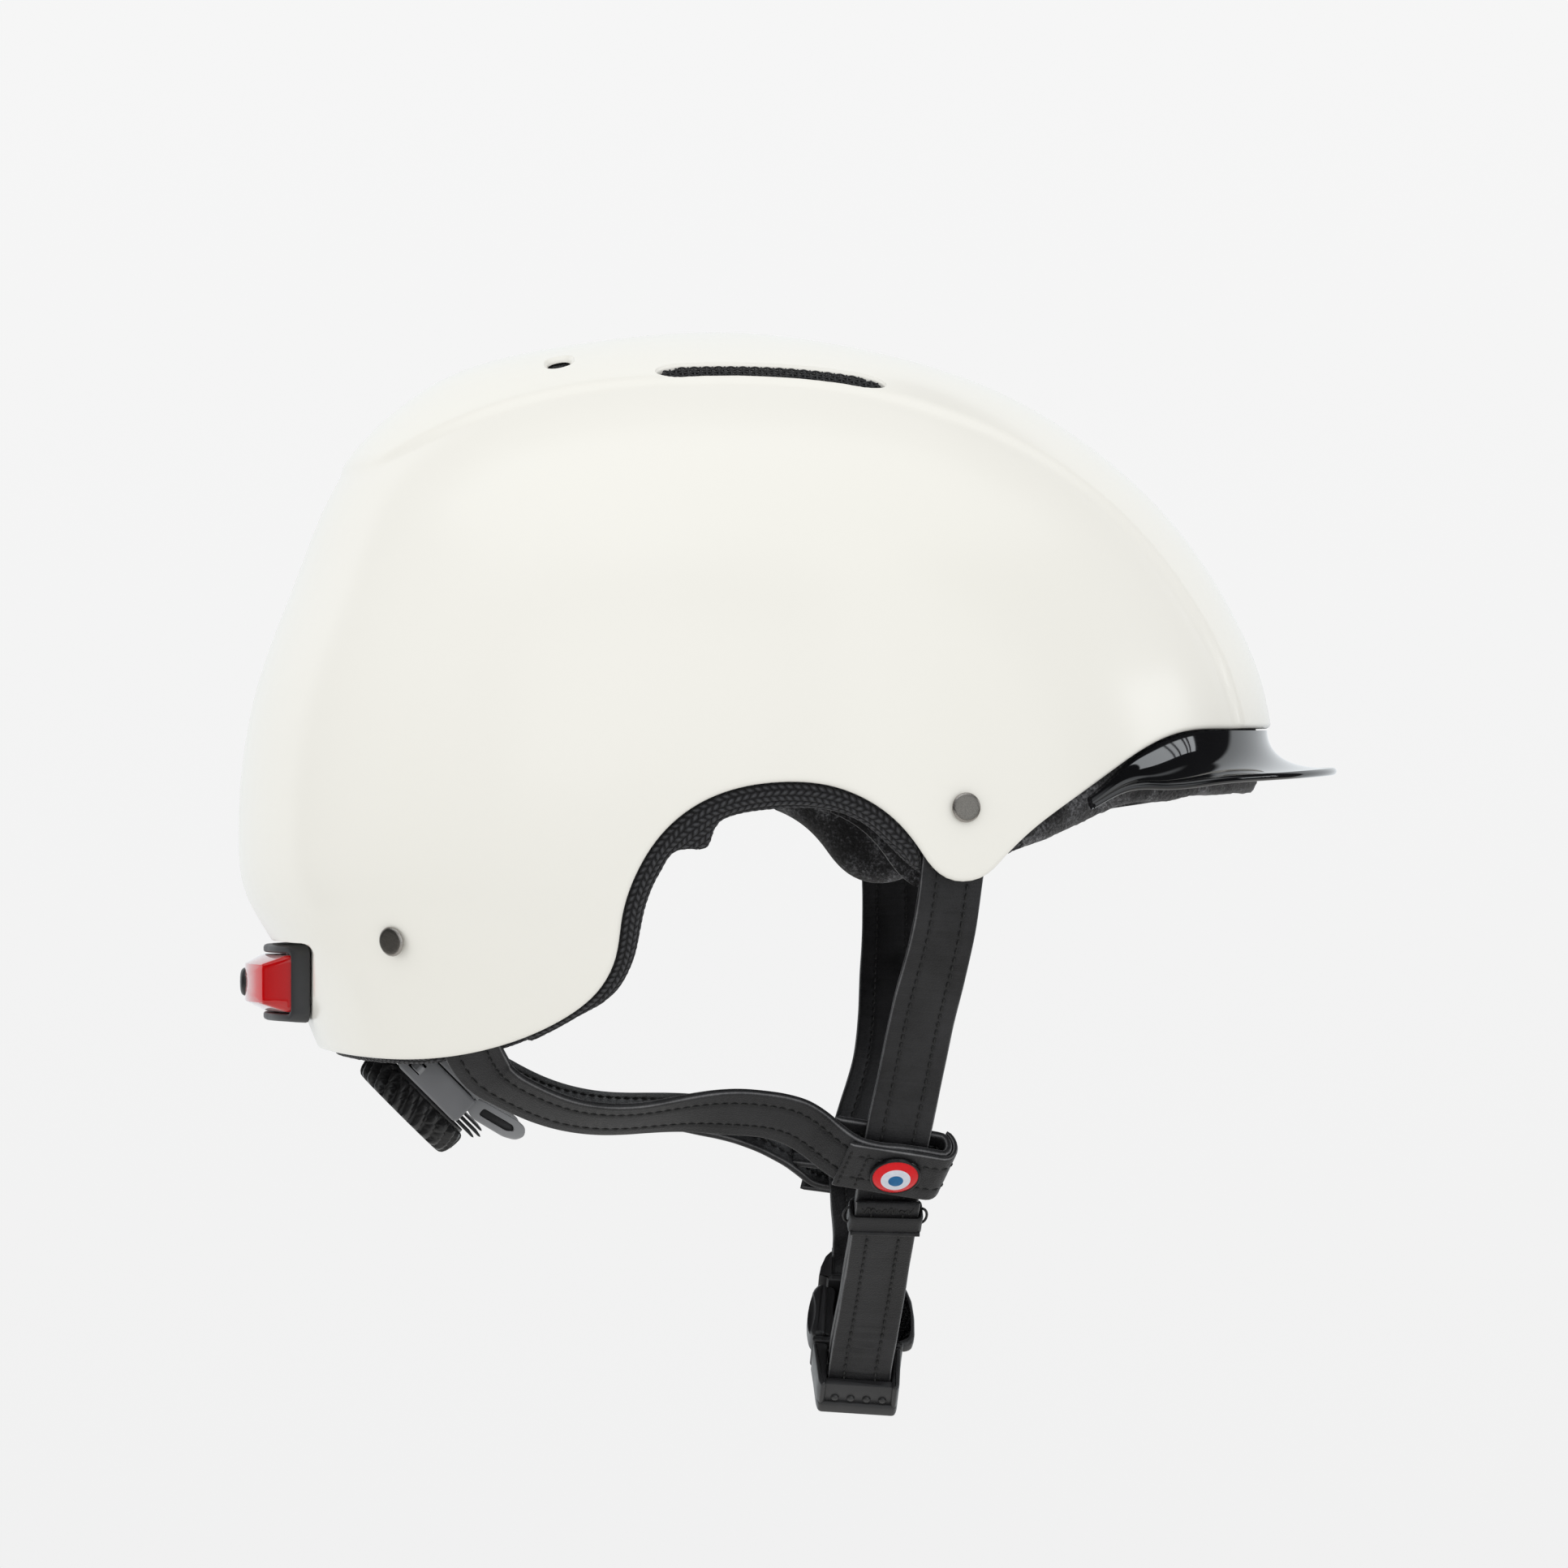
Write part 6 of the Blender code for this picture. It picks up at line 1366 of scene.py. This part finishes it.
# ------------------------------------------------------------------- buckle
def prism_mesh(frame_, outline, w0, w1, soft, seg=3):
    """(points, faces) of an outline pulled between w0 and w1, with softened rims."""
    o, e1, e2, e3 = (np.asarray(x, float) for x in frame_)
    p = np.asarray(outline, float)
    area = np.sum(p[:, 0] * np.roll(p[:, 1], -1) - np.roll(p[:, 0], -1) * p[:, 1])
    if area < 0:
        p = p[::-1]
    e = np.roll(p, -1, 0) - p
    nrm_ = unit(np.stack([e[:, 1], -e[:, 0]], 1))
    vn_ = unit(nrm_ + np.roll(nrm_, 1, 0))
    cosv = np.clip(np.sum(vn_ * nrm_, 1), 0.4, 1)[:, None]
    rows = []
    for i in range(seg + 1):
        a = math.pi / 2 * i / seg
        rows.append((p - vn_ / cosv * soft * (1 - math.sin(a)), w0 + soft * (1 - math.cos(a))))
    for i in range(seg + 1):
        a = math.pi / 2 * (1 - i / seg)
        rows.append((p - vn_ / cosv * soft * (1 - math.sin(a)), w1 - soft * (1 - math.cos(a))))
    n_ = len(p)
    pts = np.concatenate([o + np.outer(q[:, 0], e1) + np.outer(q[:, 1], e2) + e3 * h for q, h in rows])
    k = len(rows)
    return pts, ring_faces(k, n_) + [tuple(range(n_))[::-1], tuple((k - 1) * n_ + i for i in range(n_))]


def soft_outline(points, radius, seg=5):
    """Rounds the corners of a closed 2D outline."""
    p = [np.asarray(x, float) for x in points]
    out = []
    k = len(p)
    for i in range(k):
        a, b, c = p[i - 1], p[i], p[(i + 1) % k]
        la, lc = np.linalg.norm(a - b), np.linalg.norm(c - b)
        r = min(radius, la * 0.45, lc * 0.45)
        s, e = b + (a - b) / la * r, b + (c - b) / lc * r
        for j in range(seg + 1):
            u = j / seg
            out.append((1 - u) ** 2 * s + 2 * u * (1 - u) * b + u * u * e)
    return np.array(out)


def box2(a0, b0, a1, b1):
    return [(a0, b0), (a1, b0), (a1, b1), (a0, b1)]


BF = (ob, ub, vb, nb)
sw = STRAP_W / 2 + 0.5
SOFT = lambda pts_, r_: soft_outline(pts_, r_, 5)
male_parts = [
    prism_mesh(BF, SOFT([(-9.7, -0.5), (9.7, -0.5), (10.25, 1.6), (10.2, 3.2), (-10.5, 3.2), (-10.4, 1.6)], 1.5), -6.0, -1.9, 0.9, 4),
    prism_mesh(BF, SOFT(box2(-8.9, 0.5, 8.9, 2.6), 0.2), -2.8, 5.0, 0.25, 2),
    prism_mesh(BF, SOFT([(8.3, 0.1), (9.5, -0.35), (10.2, 1.2), (10.35, 13.0), (8.4, 13.0)], 0.8), -5.7, 5.7, 0.8, 4),
    prism_mesh(BF, SOFT([(-8.3, 0.1), (-9.5, -0.35), (-10.4, 1.5), (-11.3, 8.0), (-12.1, 13.0), (-8.4, 13.0)], 0.8), -5.7, 5.7, 0.8, 4),
    prism_mesh(BF, SOFT(box2(-9.2, 11.95, 9.2, 13.0), 0.2), -3.4, 3.4, 0.25, 2),
    prism_mesh(BF, SOFT(box2(-8.9, BAR_V - BAR_HALF, 8.9, BAR_V + BAR_HALF), 0.5), -1.9, 2.4, 0.5, 3),
    prism_mesh(BF, SOFT([(-2.1, 12.6), (2.1, 12.6), (1.6, 33.0), (-1.6, 33.0)], 0.5), -2.3, 2.3, 0.4, 3),
]
piece("buckle_male_body", *merge(male_parts), M_MATTE, replaces=["buckle_male"], slot="black_matte", sharp=40)
# four domed studs on the end plate
studs = []
ang = np.linspace(0, 2 * math.pi, 25)[:-1]
u_, v_, w_ = basis(-vb)
for u0 in (-5.8, -1.8, 2.2, 6.2):
    o_ = ob + ub * u0 - nb * 0.3 + vb * 0.5
    rws = [o_ + w_ * h_ + np.outer(np.cos(ang) * max(r_, 0.01), u_) + np.outer(np.sin(ang) * max(r_, 0.01), v_) for r_, h_ in ((0, 0.75), (0.45, 0.71), (0.8, 0.55), (1.0, 0.3), (1.06, 0.05), (1.06, -0.6), (0, -0.6))]
    k_ = len(rws)
    studs.append((np.concatenate(rws), ring_faces(k_, 24) + [tuple(range(24))[::-1], tuple((k_ - 1) * 24 + i for i in range(24))]))
piece("buckle_studs", *merge(studs), M_GRIP, slot="black_matte", fix=True)

slot_lo, slot_hi, sh = TOP_V - wrap_r - STRAP_T / 2 - 0.4, TOP_V - 1.1, STRAP_W / 2 + 0.6
female_parts = [
    prism_mesh(BF, SOFT([(-12.2, 13.5), (10.6, 13.5), (10.9, 14.9), (8.8, 15.6), (8.3, 25), (8.8, 33.8), (-10.4, 33.8), (-11.4, 30.0), (-11.9, 24.0), (-11.6, 18.0), (-12.3, 15.2)], 0.8), -5.52, -3.6, 0.6, 3),
    prism_mesh(BF, SOFT([(-5.1, 13.6), (8.6, 13.6), (8.8, 15.6), (8.3, 25), (8.8, 34.6), (-5.1, 34.6)], 0.6), 3.6, 5.52, 0.6, 3),
    prism_mesh(BF, SOFT([(-8.95, 13.5), (-11.9, 13.5), (-12.4, 14.3), (-12.2, 15.3), (-8.95, 15.4)], 0.4), -5.5, 5.5, 0.5, 3),
    prism_mesh(BF, SOFT([(8.95, 13.5), (10.6, 13.5), (10.9, 14.9), (8.95, 15.5)], 0.3), -5.5, 5.5, 0.4, 3),
    prism_mesh(BF, SOFT(box2(-9.4, 13.5, 9.4, 15.3), 0.3), 3.6, 5.48, 0.4, 3),
    prism_mesh(BF, SOFT(box2(-8.9, 33.4, 8.9, 35.5), 0.3), -5.45, 5.45, 0.4, 3),
    prism_mesh(BF, SOFT([(-7.6, 33.6), (-8.9, 33.6), (-9.2, 34.2), (-11.3, 34.6), (-10.9, 37.6), (-9.8, 41.0), (-8.6, 42.6), (-8.1, 42.7), (-8.1, 35.5), (-7.6, 35.4)], 0.15), -5.5, 5.5, 0.3, 2),
    prism_mesh(BF, SOFT([(7.6, 33.6), (9.0, 33.8), (10.0, 36.0), (9.8, 39.0), (9.2, 41.6), (8.6, 42.6), (8.1, 42.7), (8.1, 35.5), (7.6, 35.4)], 0.15), -5.5, 5.5, 0.3, 2),
    prism_mesh(BF, SOFT(box2(-9.0, slot_hi + 0.1, 9.0, 42.5), 0.5), -1.2, 1.2, 0.5, 3),
]
piece("buckle_female_body", *merge(female_parts), M_MATTE, replaces=["buckle_female"], slot="black_matte", sharp=40)

# release arms: an open loop on the front side, a smooth grip with an oval dish on the rear side
stem = [(ARM_U - 1.4, BASE_L + 0.35), (ARM_U + 1.6, BASE_L + 0.35), (8.0, 17.4), (9.6, 17.6), (9.6, 33.0), (7.4, 33.0), (6.7, 31.4), (7.2, 26), (6.6, 20.5), (5.2, 17)]
loop_c = [(8.8, 15.9), (11.6, 15.8), (13.2, 16.7), (13.8, 19.2), (13.6, 25), (12.8, 30.2), (11.3, 34.2), (9.0, 35.6), (9.0, 33.3), (10.1, 32.2), (11.1, 29.2), (11.7, 25), (11.8, 20.4), (11.3, 18.2), (8.8, 18.0)]
web = [(8.8, 17.2), (11.9, 17.2), (12.4, 25), (11.0, 32.0), (8.8, 34.4)]
front_parts = [prism_mesh(BF, SOFT(stem, 0.9), -3.2, 3.2, 0.5, 3), prism_mesh(BF, SOFT(loop_c, 0.9), -0.4, 3.3, 0.95, 5), prism_mesh(BF, SOFT(web, 0.3), -0.3, 0.9, 0.2, 2)]
piece("release_arm_grip_front", *merge(front_parts), M_MATTE, "release_arm_front", replaces=["release_arm_front"], slot="black_matte", sharp=40)
grip = [(9.1, 16.0), (11.9, 15.7), (12.9, 17.4), (13.5, 20.5), (13.7, 24.5), (13.2, 28.4), (12.3, 31.0), (11.2, 32.5), (9.1, 32.6)]
arm = piece("release_arm_grip_rear", *prism_mesh(BF, SOFT([(-a, b) for a, b in grip], 1.6), -3.3, 5.3, 1.5, 6), M_MATTE, "release_arm_rear", replaces=["release_arm_rear"], slot="black_matte", sharp=40)
pol = np.radians(np.linspace(0, 180, 14))
rws = []
for q in pol:
    rr_ = max(math.sin(q), 0.01)
    rws.append(in_buckle(-13.3, 23.4, 3.9) + np.outer(np.cos(ang) * rr_ * 1.9, ub) + np.outer(np.sin(ang) * rr_ * 6.9, vb) + nb * 2.5 * math.cos(q))
solid_cut(arm, [rings_tool(rws)])
arm.data.shade_smooth()
arm.data.set_sharp_from_angle(angle=math.radians(40))
piece("release_arm_stem_rear", *prism_mesh(BF, SOFT([(-a, b) for a, b in stem], 0.9), -3.2, 3.2, 0.5, 3), M_MATTE, "release_arm_rear", slot="black_matte", sharp=40)

# ----------------------------------------------------------- cradle and dial
tilt = math.radians(DIAL_TILT)
da = np.array([0, -math.cos(tilt), -math.sin(tilt)])
di = -da
db = np.array([0, math.sin(tilt), -math.cos(tilt)])
dx = np.array([1.0, 0, 0])
do = np.asarray(DIAL_O)
CF = (do, db, di, dx)
HX = 24.0
housing_outline = [(-9.2, 5.5), (9.6, 5.5), (10.4, 6.3), (10.4, 13.0), (-10.0, 13.0), (-10.0, 6.3)]
housing = piece("cradle_housing_shell", *prism_mesh(CF, soft_outline(housing_outline, 0.8, 4), -HX, HX, 0.7, 4), M_GREY, "cradle", replaces=["cradle_housing"], slot="grey_plastic", sharp=40)
ang = np.linspace(0, 2 * math.pi, 33)[:-1]
solid_cut(housing, [
    rings_tool([do + di * h + np.outer(np.cos(ang) * 3.6, dx) + np.outer(np.sin(ang) * 3.6, db) for h in (3, 9)]),
    tool(*prism_mesh(CF, box2(-8.2, 7.3, 8.2, 14), -22.1, 22.1, 0.01, 1)),
    tool(*prism_mesh(CF, box2(-8.1, 7.5, -4.5, 10.5), 21, 25, 0.01, 1)),
    tool(*prism_mesh(CF, box2(4.5, 7.5, 8.1, 10.5), -25, -21, 0.01, 1)),
])
housing.data.shade_smooth()
housing.data.set_sharp_from_angle(angle=math.radians(40))
piece("cradle_cover_plate", *prism_mesh(CF, soft_outline([(-10.0, 13.3), (10.4, 13.3), (10.4, 14.6), (9.4, 15.2), (-9.0, 15.2), (-10.0, 14.6)], 0.5, 3), -HX, HX, 0.4, 3), M_GREY, "cradle", replaces=["cradle_cover"], slot="grey_plastic", sharp=40)
for side, s in (("right", 1), ("left", -1)):
    o2 = [(9.6, 10.2), (12.6, 9.2), (21.4, 11.4), (24.2, 13.0), (25.2, 15.2), (23.8, 17.0), (20.9, 16.9), (11.8, 14.4), (9.6, 13.4)]
    wing = piece("cradle_loop_plate_" + side, *prism_mesh(CF, soft_outline(o2, 1.0, 4), min(18.2 * s, 20.6 * s), max(18.2 * s, 20.6 * s), 0.45, 3), M_LOOP, "cradle", replaces=["cradle_loop_" + side], slot="grey_plastic", sharp=40)
    solid_cut(wing, [tool(*prism_mesh(CF, soft_outline([(13.2, 11.0), (20.8, 12.9), (22.5, 14.3), (21.4, 15.3), (13.0, 13.1)], 0.7, 4), min(16 * s, 23 * s), max(16 * s, 23 * s), 0.01, 1))])
    wing.data.shade_smooth()
    wing.data.set_sharp_from_angle(angle=math.radians(40))
    # a thin black sheet across the loop's opening, standing in for the shade inside it: painted shade
    shade_sheet = soft_outline([(13.25, 11.05), (20.8, 12.95), (22.4, 14.3), (21.35, 15.2), (13.05, 13.05)], 0.7, 4)
    piece("cradle_loop_shade_sheet_" + side, *prism_mesh(CF, shade_sheet, min(18.5 * s, 19.2 * s), max(18.5 * s, 19.2 * s), 0.1, 2), M_MATTE, "cradle", slot="black_matte", sharp=40)

fins = [prism_mesh(CF, SOFT([(9.8, d_), (e_ - 0.6, d_), (e_, d_ + 0.3), (e_ - 0.6, d_ + 0.65), (9.8, d_ + 0.65)], 0.15), -12.5, 12.5, 0.12, 2) for d_, e_ in ((5.75, 16.9), (7.05, 18.0), (8.35, 17.2))]
piece("cradle_fins", *merge(fins), M_BEZEL, "cradle", slot="grey_plastic", sharp=40)

# dial grip: rounded ribs across the rim
NR, NA = 24, 24 * 14
ang = np.linspace(0, 2 * math.pi, NA + 1)[:-1]
rows = []
for r0, depth_, w in ((12.3, 0, -2.2), (12.5, 0, -2.7), (12.9, 0.3, -2.9), (13.6, 1.0, -2.75), (14.3, 1.6, -2.2), (14.8, 1.9, -1.3), (15.1, 2.0, 0.0), (15.2, 2.0, 1.4), (15.2, 2.0, 2.8), (15.05, 1.9, 3.6), (14.7, 1.5, 4.1), (14.2, 0.7, 4.35), (13.9, 0, 4.45), (13.95, 0, 4.7), (13.9, 0, 5.2), (13.7, 0, 5.32), (12.8, 0, 5.32), (12.3, 0, 4.9)):
    bend_ = 0.085 * math.sin(math.pi * ((w + 2.6) / 7.0 - 0.5))
    wave = np.clip(0.52 + 1.15 * np.cos(NR * (ang + bend_)), 0, 1)
    wave = wave * wave * (3 - 2 * wave)
    r = np.minimum(r0 + 0.3 - depth_ * (1 - wave) * 1.25, DIAL_R)
    rows.append(do + di * w + np.outer(r * np.cos(ang), dx) + np.outer(r * np.sin(ang), db))
P = np.concatenate(rows)
k_ = len(rows)
F = ring_faces(k_, NA) + [((k_ - 1) * NA + i, (k_ - 1) * NA + (i + 1) % NA, (i + 1) % NA, i) for i in range(NA)]
piece("dial_grip_ribs", P, F, M_GRIP, "dial", replaces=["dial_grip"], slot="black_rubber", sharp=70)
core_prof = rounded([(0, 1.2), (8.2, 1.2), (9.4, 0.5), (11.4, 0.5), (12.0, 1.2), (12.0, DIAL_T - 0.2), (3.2, DIAL_T - 0.2), (3.2, 7.4), (1.5, 7.4), (1.5, 2.6), (0, 2.6)], 0.5, 3)
turned("dial_core_hub", do, di, core_prof, 64, M_MATTE, body="dial", replaces=["dial_core"], slot="black_matte", sharp=40)

# --------------------------------------------------------------- rear light
LZ0, LZ1 = LIGHT_Z - LIGHT_HALF_Z, LIGHT_Z + LIGHT_HALF_Z
bezel_y = lambda x: seat_y(x) - 4.6 - 5.8 * (1 - np.clip(np.abs(x) / LIGHT_HALF_X, 0, 1) ** 2)
floor_y = lambda x: seat_y(x) - 4.4
face_y = lambda x: -130.5 + 0.0125 * x * x


def ring_at(hx, hz, y_of, r, seg=8, dense=1.2):
    p, o = slot_outline(0, LIGHT_Z, hx, hz, seg, r)
    p, o = densify(p, o, dense)
    return np.column_stack([p[:, 0], y_of(np.clip(p[:, 0], -22, 22)), p[:, 1]])


# one ring size for every row: take the outline's fractions from a common one
def rings(specs, r0=2.4, count=180):
    out = []
    for hx, hz, y_of, r in specs:
        q = ring_at(hx, hz, y_of, r)
        q = np.concatenate([q, q[:1]])
        w = np.concatenate([[0], np.cumsum(np.linalg.norm(np.diff(q[:, [0, 2]], axis=0), axis=1))])
        # start where each outline starts, at the top of its right-hand side, so that rows line up
        at = np.linspace(0, w[-1], count + 1)[:-1]
        out.append(np.stack([np.interp(at, w, q[:, i]) for i in range(3)], 1))
    return out


def ring_solid(rows, caps=True):
    n_ = len(rows[0])
    k = len(rows)
    return np.concatenate(rows), ring_faces(k, n_) + [tuple(range(n_))[::-1], tuple((k - 1) * n_ + i for i in range(n_))]


hx, hz = LIGHT_HALF_X, LIGHT_HALF_Z
tray = [
    (19.2, 7.3, lambda x: seat_y(x) - 2.1, 1.8),
    (19.3, 7.4, lambda x: seat_y(x) - 2.0, 1.8),
    (19.3, 7.4, lambda x: seat_y(x) - 0.5, 1.8),
    (hx - 0.6, hz - 0.6, lambda x: seat_y(x) - 0.5, 2.2),
    (hx - 0.15, hz - 0.15, lambda x: seat_y(x) - 0.75, 2.5),
    (hx, hz, lambda x: seat_y(x) - 1.3, 2.6),
    (hx - 0.1, hz - 0.1, lambda x: 0.5 * (seat_y(x) - 1.3 + bezel_y(x)), 2.6),
    (hx - 0.28, hz - 0.25, lambda x: bezel_y(x) + 0.7, 2.5),
    (hx - 0.5, hz - 0.5, lambda x: bezel_y(x) + 0.2, 2.4),
    (hx - 0.8, hz - 0.95, lambda x: bezel_y(x), 2.1),
    (hx - 1.1, hz - 1.75, lambda x: bezel_y(x), 1.8),
    (20.7, 7.6, lambda x: bezel_y(x) + 0.2, 1.6),
    (20.6, 7.5, lambda x: bezel_y(x) + 0.5, 1.6),
    (20.6, 7.5, lambda x: floor_y(x), 1.6),
]
base = piece("light_base_tray", *ring_solid(rings(tray)), M_BEZEL, "light", replaces=["light_base"], slot="black_matte", sharp=45)
boss_p, _ = slot_outline(0, LIGHT_Z, 9.5, 5.0, 8)
solid_cut(base, [rings_tool([np.column_stack([boss_p[:, 0], np.full(len(boss_p), y), boss_p[:, 1]]) for y in (-112.0, -119.1)])])
base.data.shade_smooth()
base.data.set_sharp_from_angle(angle=math.radians(45))
lens_rows = [
    (20.2, 7.1, lambda x: floor_y(x) - 0.3, 1.5),
    (20.2, 7.05, lambda x: bezel_y(x) + 0.25, 1.5),
    (20.0, 6.9, lambda x: bezel_y(x) - 0.3, 1.4),
    (18.95, 4.9, lambda x: face_y(x) + 0.45, 1.0),
    (18.75, 4.7, lambda x: face_y(x) + 0.12, 0.9),
    (18.3, 4.3, lambda x: face_y(x), 0.8),
    (13.0, 3.0, lambda x: face_y(x), 0.7),
    (7.0, 1.6, lambda x: face_y(x), 0.5),
    (2.0, 0.5, lambda x: face_y(x), 0.3),
]
lens = piece("light_lens_red", *ring_solid(rings(lens_rows)), M_LENS, "light", replaces=["light_lens"], slot="red_lens", sharp=24)
ang = np.linspace(0, 2 * math.pi, 41)[:-1]
hole = rings_tool([np.column_stack([4.5 * np.cos(ang), np.full(40, y), LIGHT_Z + 4.5 * np.sin(ang) * 0.86]) for y in (-127.0, -134.0)])
inner_rows = [
    (18.5, 5.6, lambda x: floor_y(x) + 3.0, 1.2),
    (18.2, 5.3, lambda x: bezel_y(x) + 0.8, 1.2),
    (16.7, 3.4, lambda x: face_y(x) + 2.0, 0.8),
]
solid_cut(lens, [tool(*ring_solid(rings(inner_rows))), hole])
lens.data.set_sharp_from_angle(angle=math.radians(24))
rows = []
for rr_, h_ in ((0.02, 1.3), (1.4, 1.27), (2.6, 1.15), (3.4, 0.92), (3.85, 0.6), (4.1, 0.2), (4.1, -1.2), (0.02, -1.2)):
    rows.append(np.column_stack([rr_ * np.cos(ang), np.full(40, -130.4 - h_), LIGHT_Z + rr_ * np.sin(ang) * 0.86]))
piece("light_button_cap", *ring_solid(rows), M_GRIP, "light_button", replaces=["light_button"], slot="black_rubber", sharp=50)

# ------------------------------------------- CAD pieces that stay as they are
for names, mat in (
    (["front_washer_right", "front_washer_left", "rear_washer_right", "rear_washer_left", "dial_screw", "detent_spring", "light_battery"], M_STEEL),
    (["rack_right", "rack_left"], M_GREY),
    (["headband_right", "headband_left"], M_BAND),
    (["dial_pinion", "light_bracket"], M_MATTE),
    (["light_board"], M_BOARD),
):
    for nm in names:
        o = NODES[nm]
        o.data.materials.clear()
        o.data.materials.append(mat)
        w = o.modifiers.new("weld", "WELD")
        w.merge_threshold = 0.00002
        d = o.modifiers.new("planes", "DECIMATE")
        d.decimate_type, d.angle_limit = "DISSOLVE", math.radians(2)
        b = o.modifiers.new("edges", "BEVEL")
        b.width, b.segments, b.limit_method, b.angle_limit = 0.00022, 2, "ANGLE", math.radians(35)

# ------------------------------------------------------------ stage and light
world = bpy.data.worlds.new("studio")
scene.world = world
world.use_nodes = True
wt = world.node_tree
wt.nodes.clear()


def wn(kind, **kw):
    n_ = wt.nodes.new(kind)
    for k_, v_ in kw.items():
        setattr(n_, k_, v_)
    return n_


out_w, mix_w, lp = wn("ShaderNodeOutputWorld"), wn("ShaderNodeMixShader"), wn("ShaderNodeLightPath")
plain, room_w = wn("ShaderNodeBackground"), wn("ShaderNodeBackground")
plain.inputs["Color"].default_value = (1.0, 1.0, 1.0, 1)
tc = wn("ShaderNodeTexCoord")
sx = wn("ShaderNodeSeparateXYZ")
wt.links.new(tc.outputs["Generated"], sx.inputs[0])


def wm(op, a_, b_=None, c_=None):
    n_ = wn("ShaderNodeMath", operation=op)
    for i, v_ in enumerate((a_, b_, c_)):
        if v_ is None:
            continue
        if isinstance(v_, (int, float)):
            n_.inputs[i].default_value = v_
        else:
            wt.links.new(v_, n_.inputs[i])
    return n_.outputs[0]


def step_up(v_, lo, hi):
    n_ = wn("ShaderNodeMapRange", interpolation_type="SMOOTHSTEP")
    n_.inputs["From Min"].default_value, n_.inputs["From Max"].default_value = lo, hi
    wt.links.new(v_, n_.inputs["Value"])
    return n_.outputs["Result"]


X_, Y_, Z_ = sx.outputs[0], sx.outputs[1], sx.outputs[2]
fade = wn("ShaderNodeMapRange")
for nm_, v_ in (("From Min", -0.115), ("From Max", 0.115), ("To Min", 0.879), ("To Max", 0.922)):
    fade.inputs[nm_].default_value = v_
wt.links.new(Z_, fade.inputs["Value"])
wt.links.new(fade.outputs["Result"], plain.inputs["Strength"])
# for reflections: a dark working side of the studio with one window in it, a soft box above it, white behind
def between(v_, lo, hi, soft):
    return wm("MULTIPLY", step_up(v_, lo - soft, lo + soft), wm("SUBTRACT", 1.0, step_up(v_, hi - soft, hi + soft)))


behind = wm("MULTIPLY", wm("SUBTRACT", 1.0, step_up(X_, -0.50, -0.44)), wm("SUBTRACT", 1.0, wm("MULTIPLY", step_up(Z_, 0.62, 0.68), step_up(Y_, 0.2, 0.3))))
above = wm("MULTIPLY", step_up(Z_, 0.64, 0.74), step_up(X_, -0.14, 0.02))
win = wm("MULTIPLY", wm("MULTIPLY", between(X_, -0.125, 0.265, 0.008), between(Z_, 0.07, 0.36, 0.008)), step_up(Y_, 0.4, 0.5))
for at_ in (0.064, 0.020, -0.048, -0.076):
    win = wm("MULTIPLY", win, step_up(wm("ABSOLUTE", wm("SUBTRACT", X_, at_)), 0.005, 0.009))
level = wm("ADD", wm("ADD", wm("MULTIPLY", wm("MAXIMUM", behind, above), 0.92), wm("ADD", 0.03, wm("MULTIPLY", step_up(X_, 0.74, 0.92), 0.45))), wm("ADD", wm("MULTIPLY", win, 3.4), wm("MULTIPLY", wm("MULTIPLY", step_up(X_, 0.50, 0.66), step_up(Y_, 0.16, 0.34)), 1.10)))
room_w.inputs["Color"].default_value = (0.93, 0.97, 1.0, 1)
wt.links.new(level, room_w.inputs["Strength"])
wt.links.new(lp.outputs["Is Glossy Ray"], mix_w.inputs["Fac"])
wt.links.new(plain.outputs[0], mix_w.inputs[1])
wt.links.new(room_w.outputs[0], mix_w.inputs[2])
wt.links.new(mix_w.outputs[0], out_w.inputs["Surface"])


def area(name, at, size, energy, look=(0, 0, 0), colour=(1, 1, 1)):
    d = bpy.data.lights.new(name, "AREA")
    d.shape, d.size, d.size_y, d.energy, d.color = "RECTANGLE", size[0], size[1], energy, colour
    o = bpy.data.objects.new(name, d)
    scene.collection.objects.link(o)
    o.location = at
    o.rotation_mode = "QUATERNION"
    o.rotation_quaternion = (Vector(look) - Vector(at)).to_track_quat("-Z", "Y")
    return o


area("soft_top", (0.3, 0.1, 2.0), (2.4, 2.4), 3.8, colour=(1, 0.995, 0.98))
area("soft_side", (2.4, -0.6, 0.9), (2.0, 1.4), 4.6, colour=(1, 0.995, 0.985))
for o_ in (area("soft_rear", (1.0, -2.3, 0.5), (1.6, 1.4), 4.2), area("soft_front", (1.2, 2.3, 0.5), (1.6, 1.4), 2.2)):
    o_.visible_glossy = False

floor_mesh = bpy.data.meshes.new("floor")
bm = bmesh.new()
bmesh.ops.create_circle(bm, cap_ends=True, segments=96, radius=3.2)
bm.to_mesh(floor_mesh)
bm.free()
floor = bpy.data.objects.new("floor", floor_mesh)
scene.collection.objects.link(floor)
floor.location = (0, 0, -1.4)
fg = Graph("floor_pale")
fv = fg.coords()
fg.link(fg.ramp(fg.noise(fv, 0.4, 2), [(0.3, (0.76, 0.755, 0.74)), (0.7, (0.79, 0.785, 0.77))]), fg.p.inputs["Base Color"])
fg.p.inputs["Roughness"].default_value = 0.9
fg.p.inputs["Specular IOR Level"].default_value = 0.0
floor_mesh.materials.append(fg.m)

scene.view_settings.view_transform = "Standard"
scene.view_settings.look = "None"
scene.view_settings.exposure = 0.0
scene.view_settings.gamma = 1.0
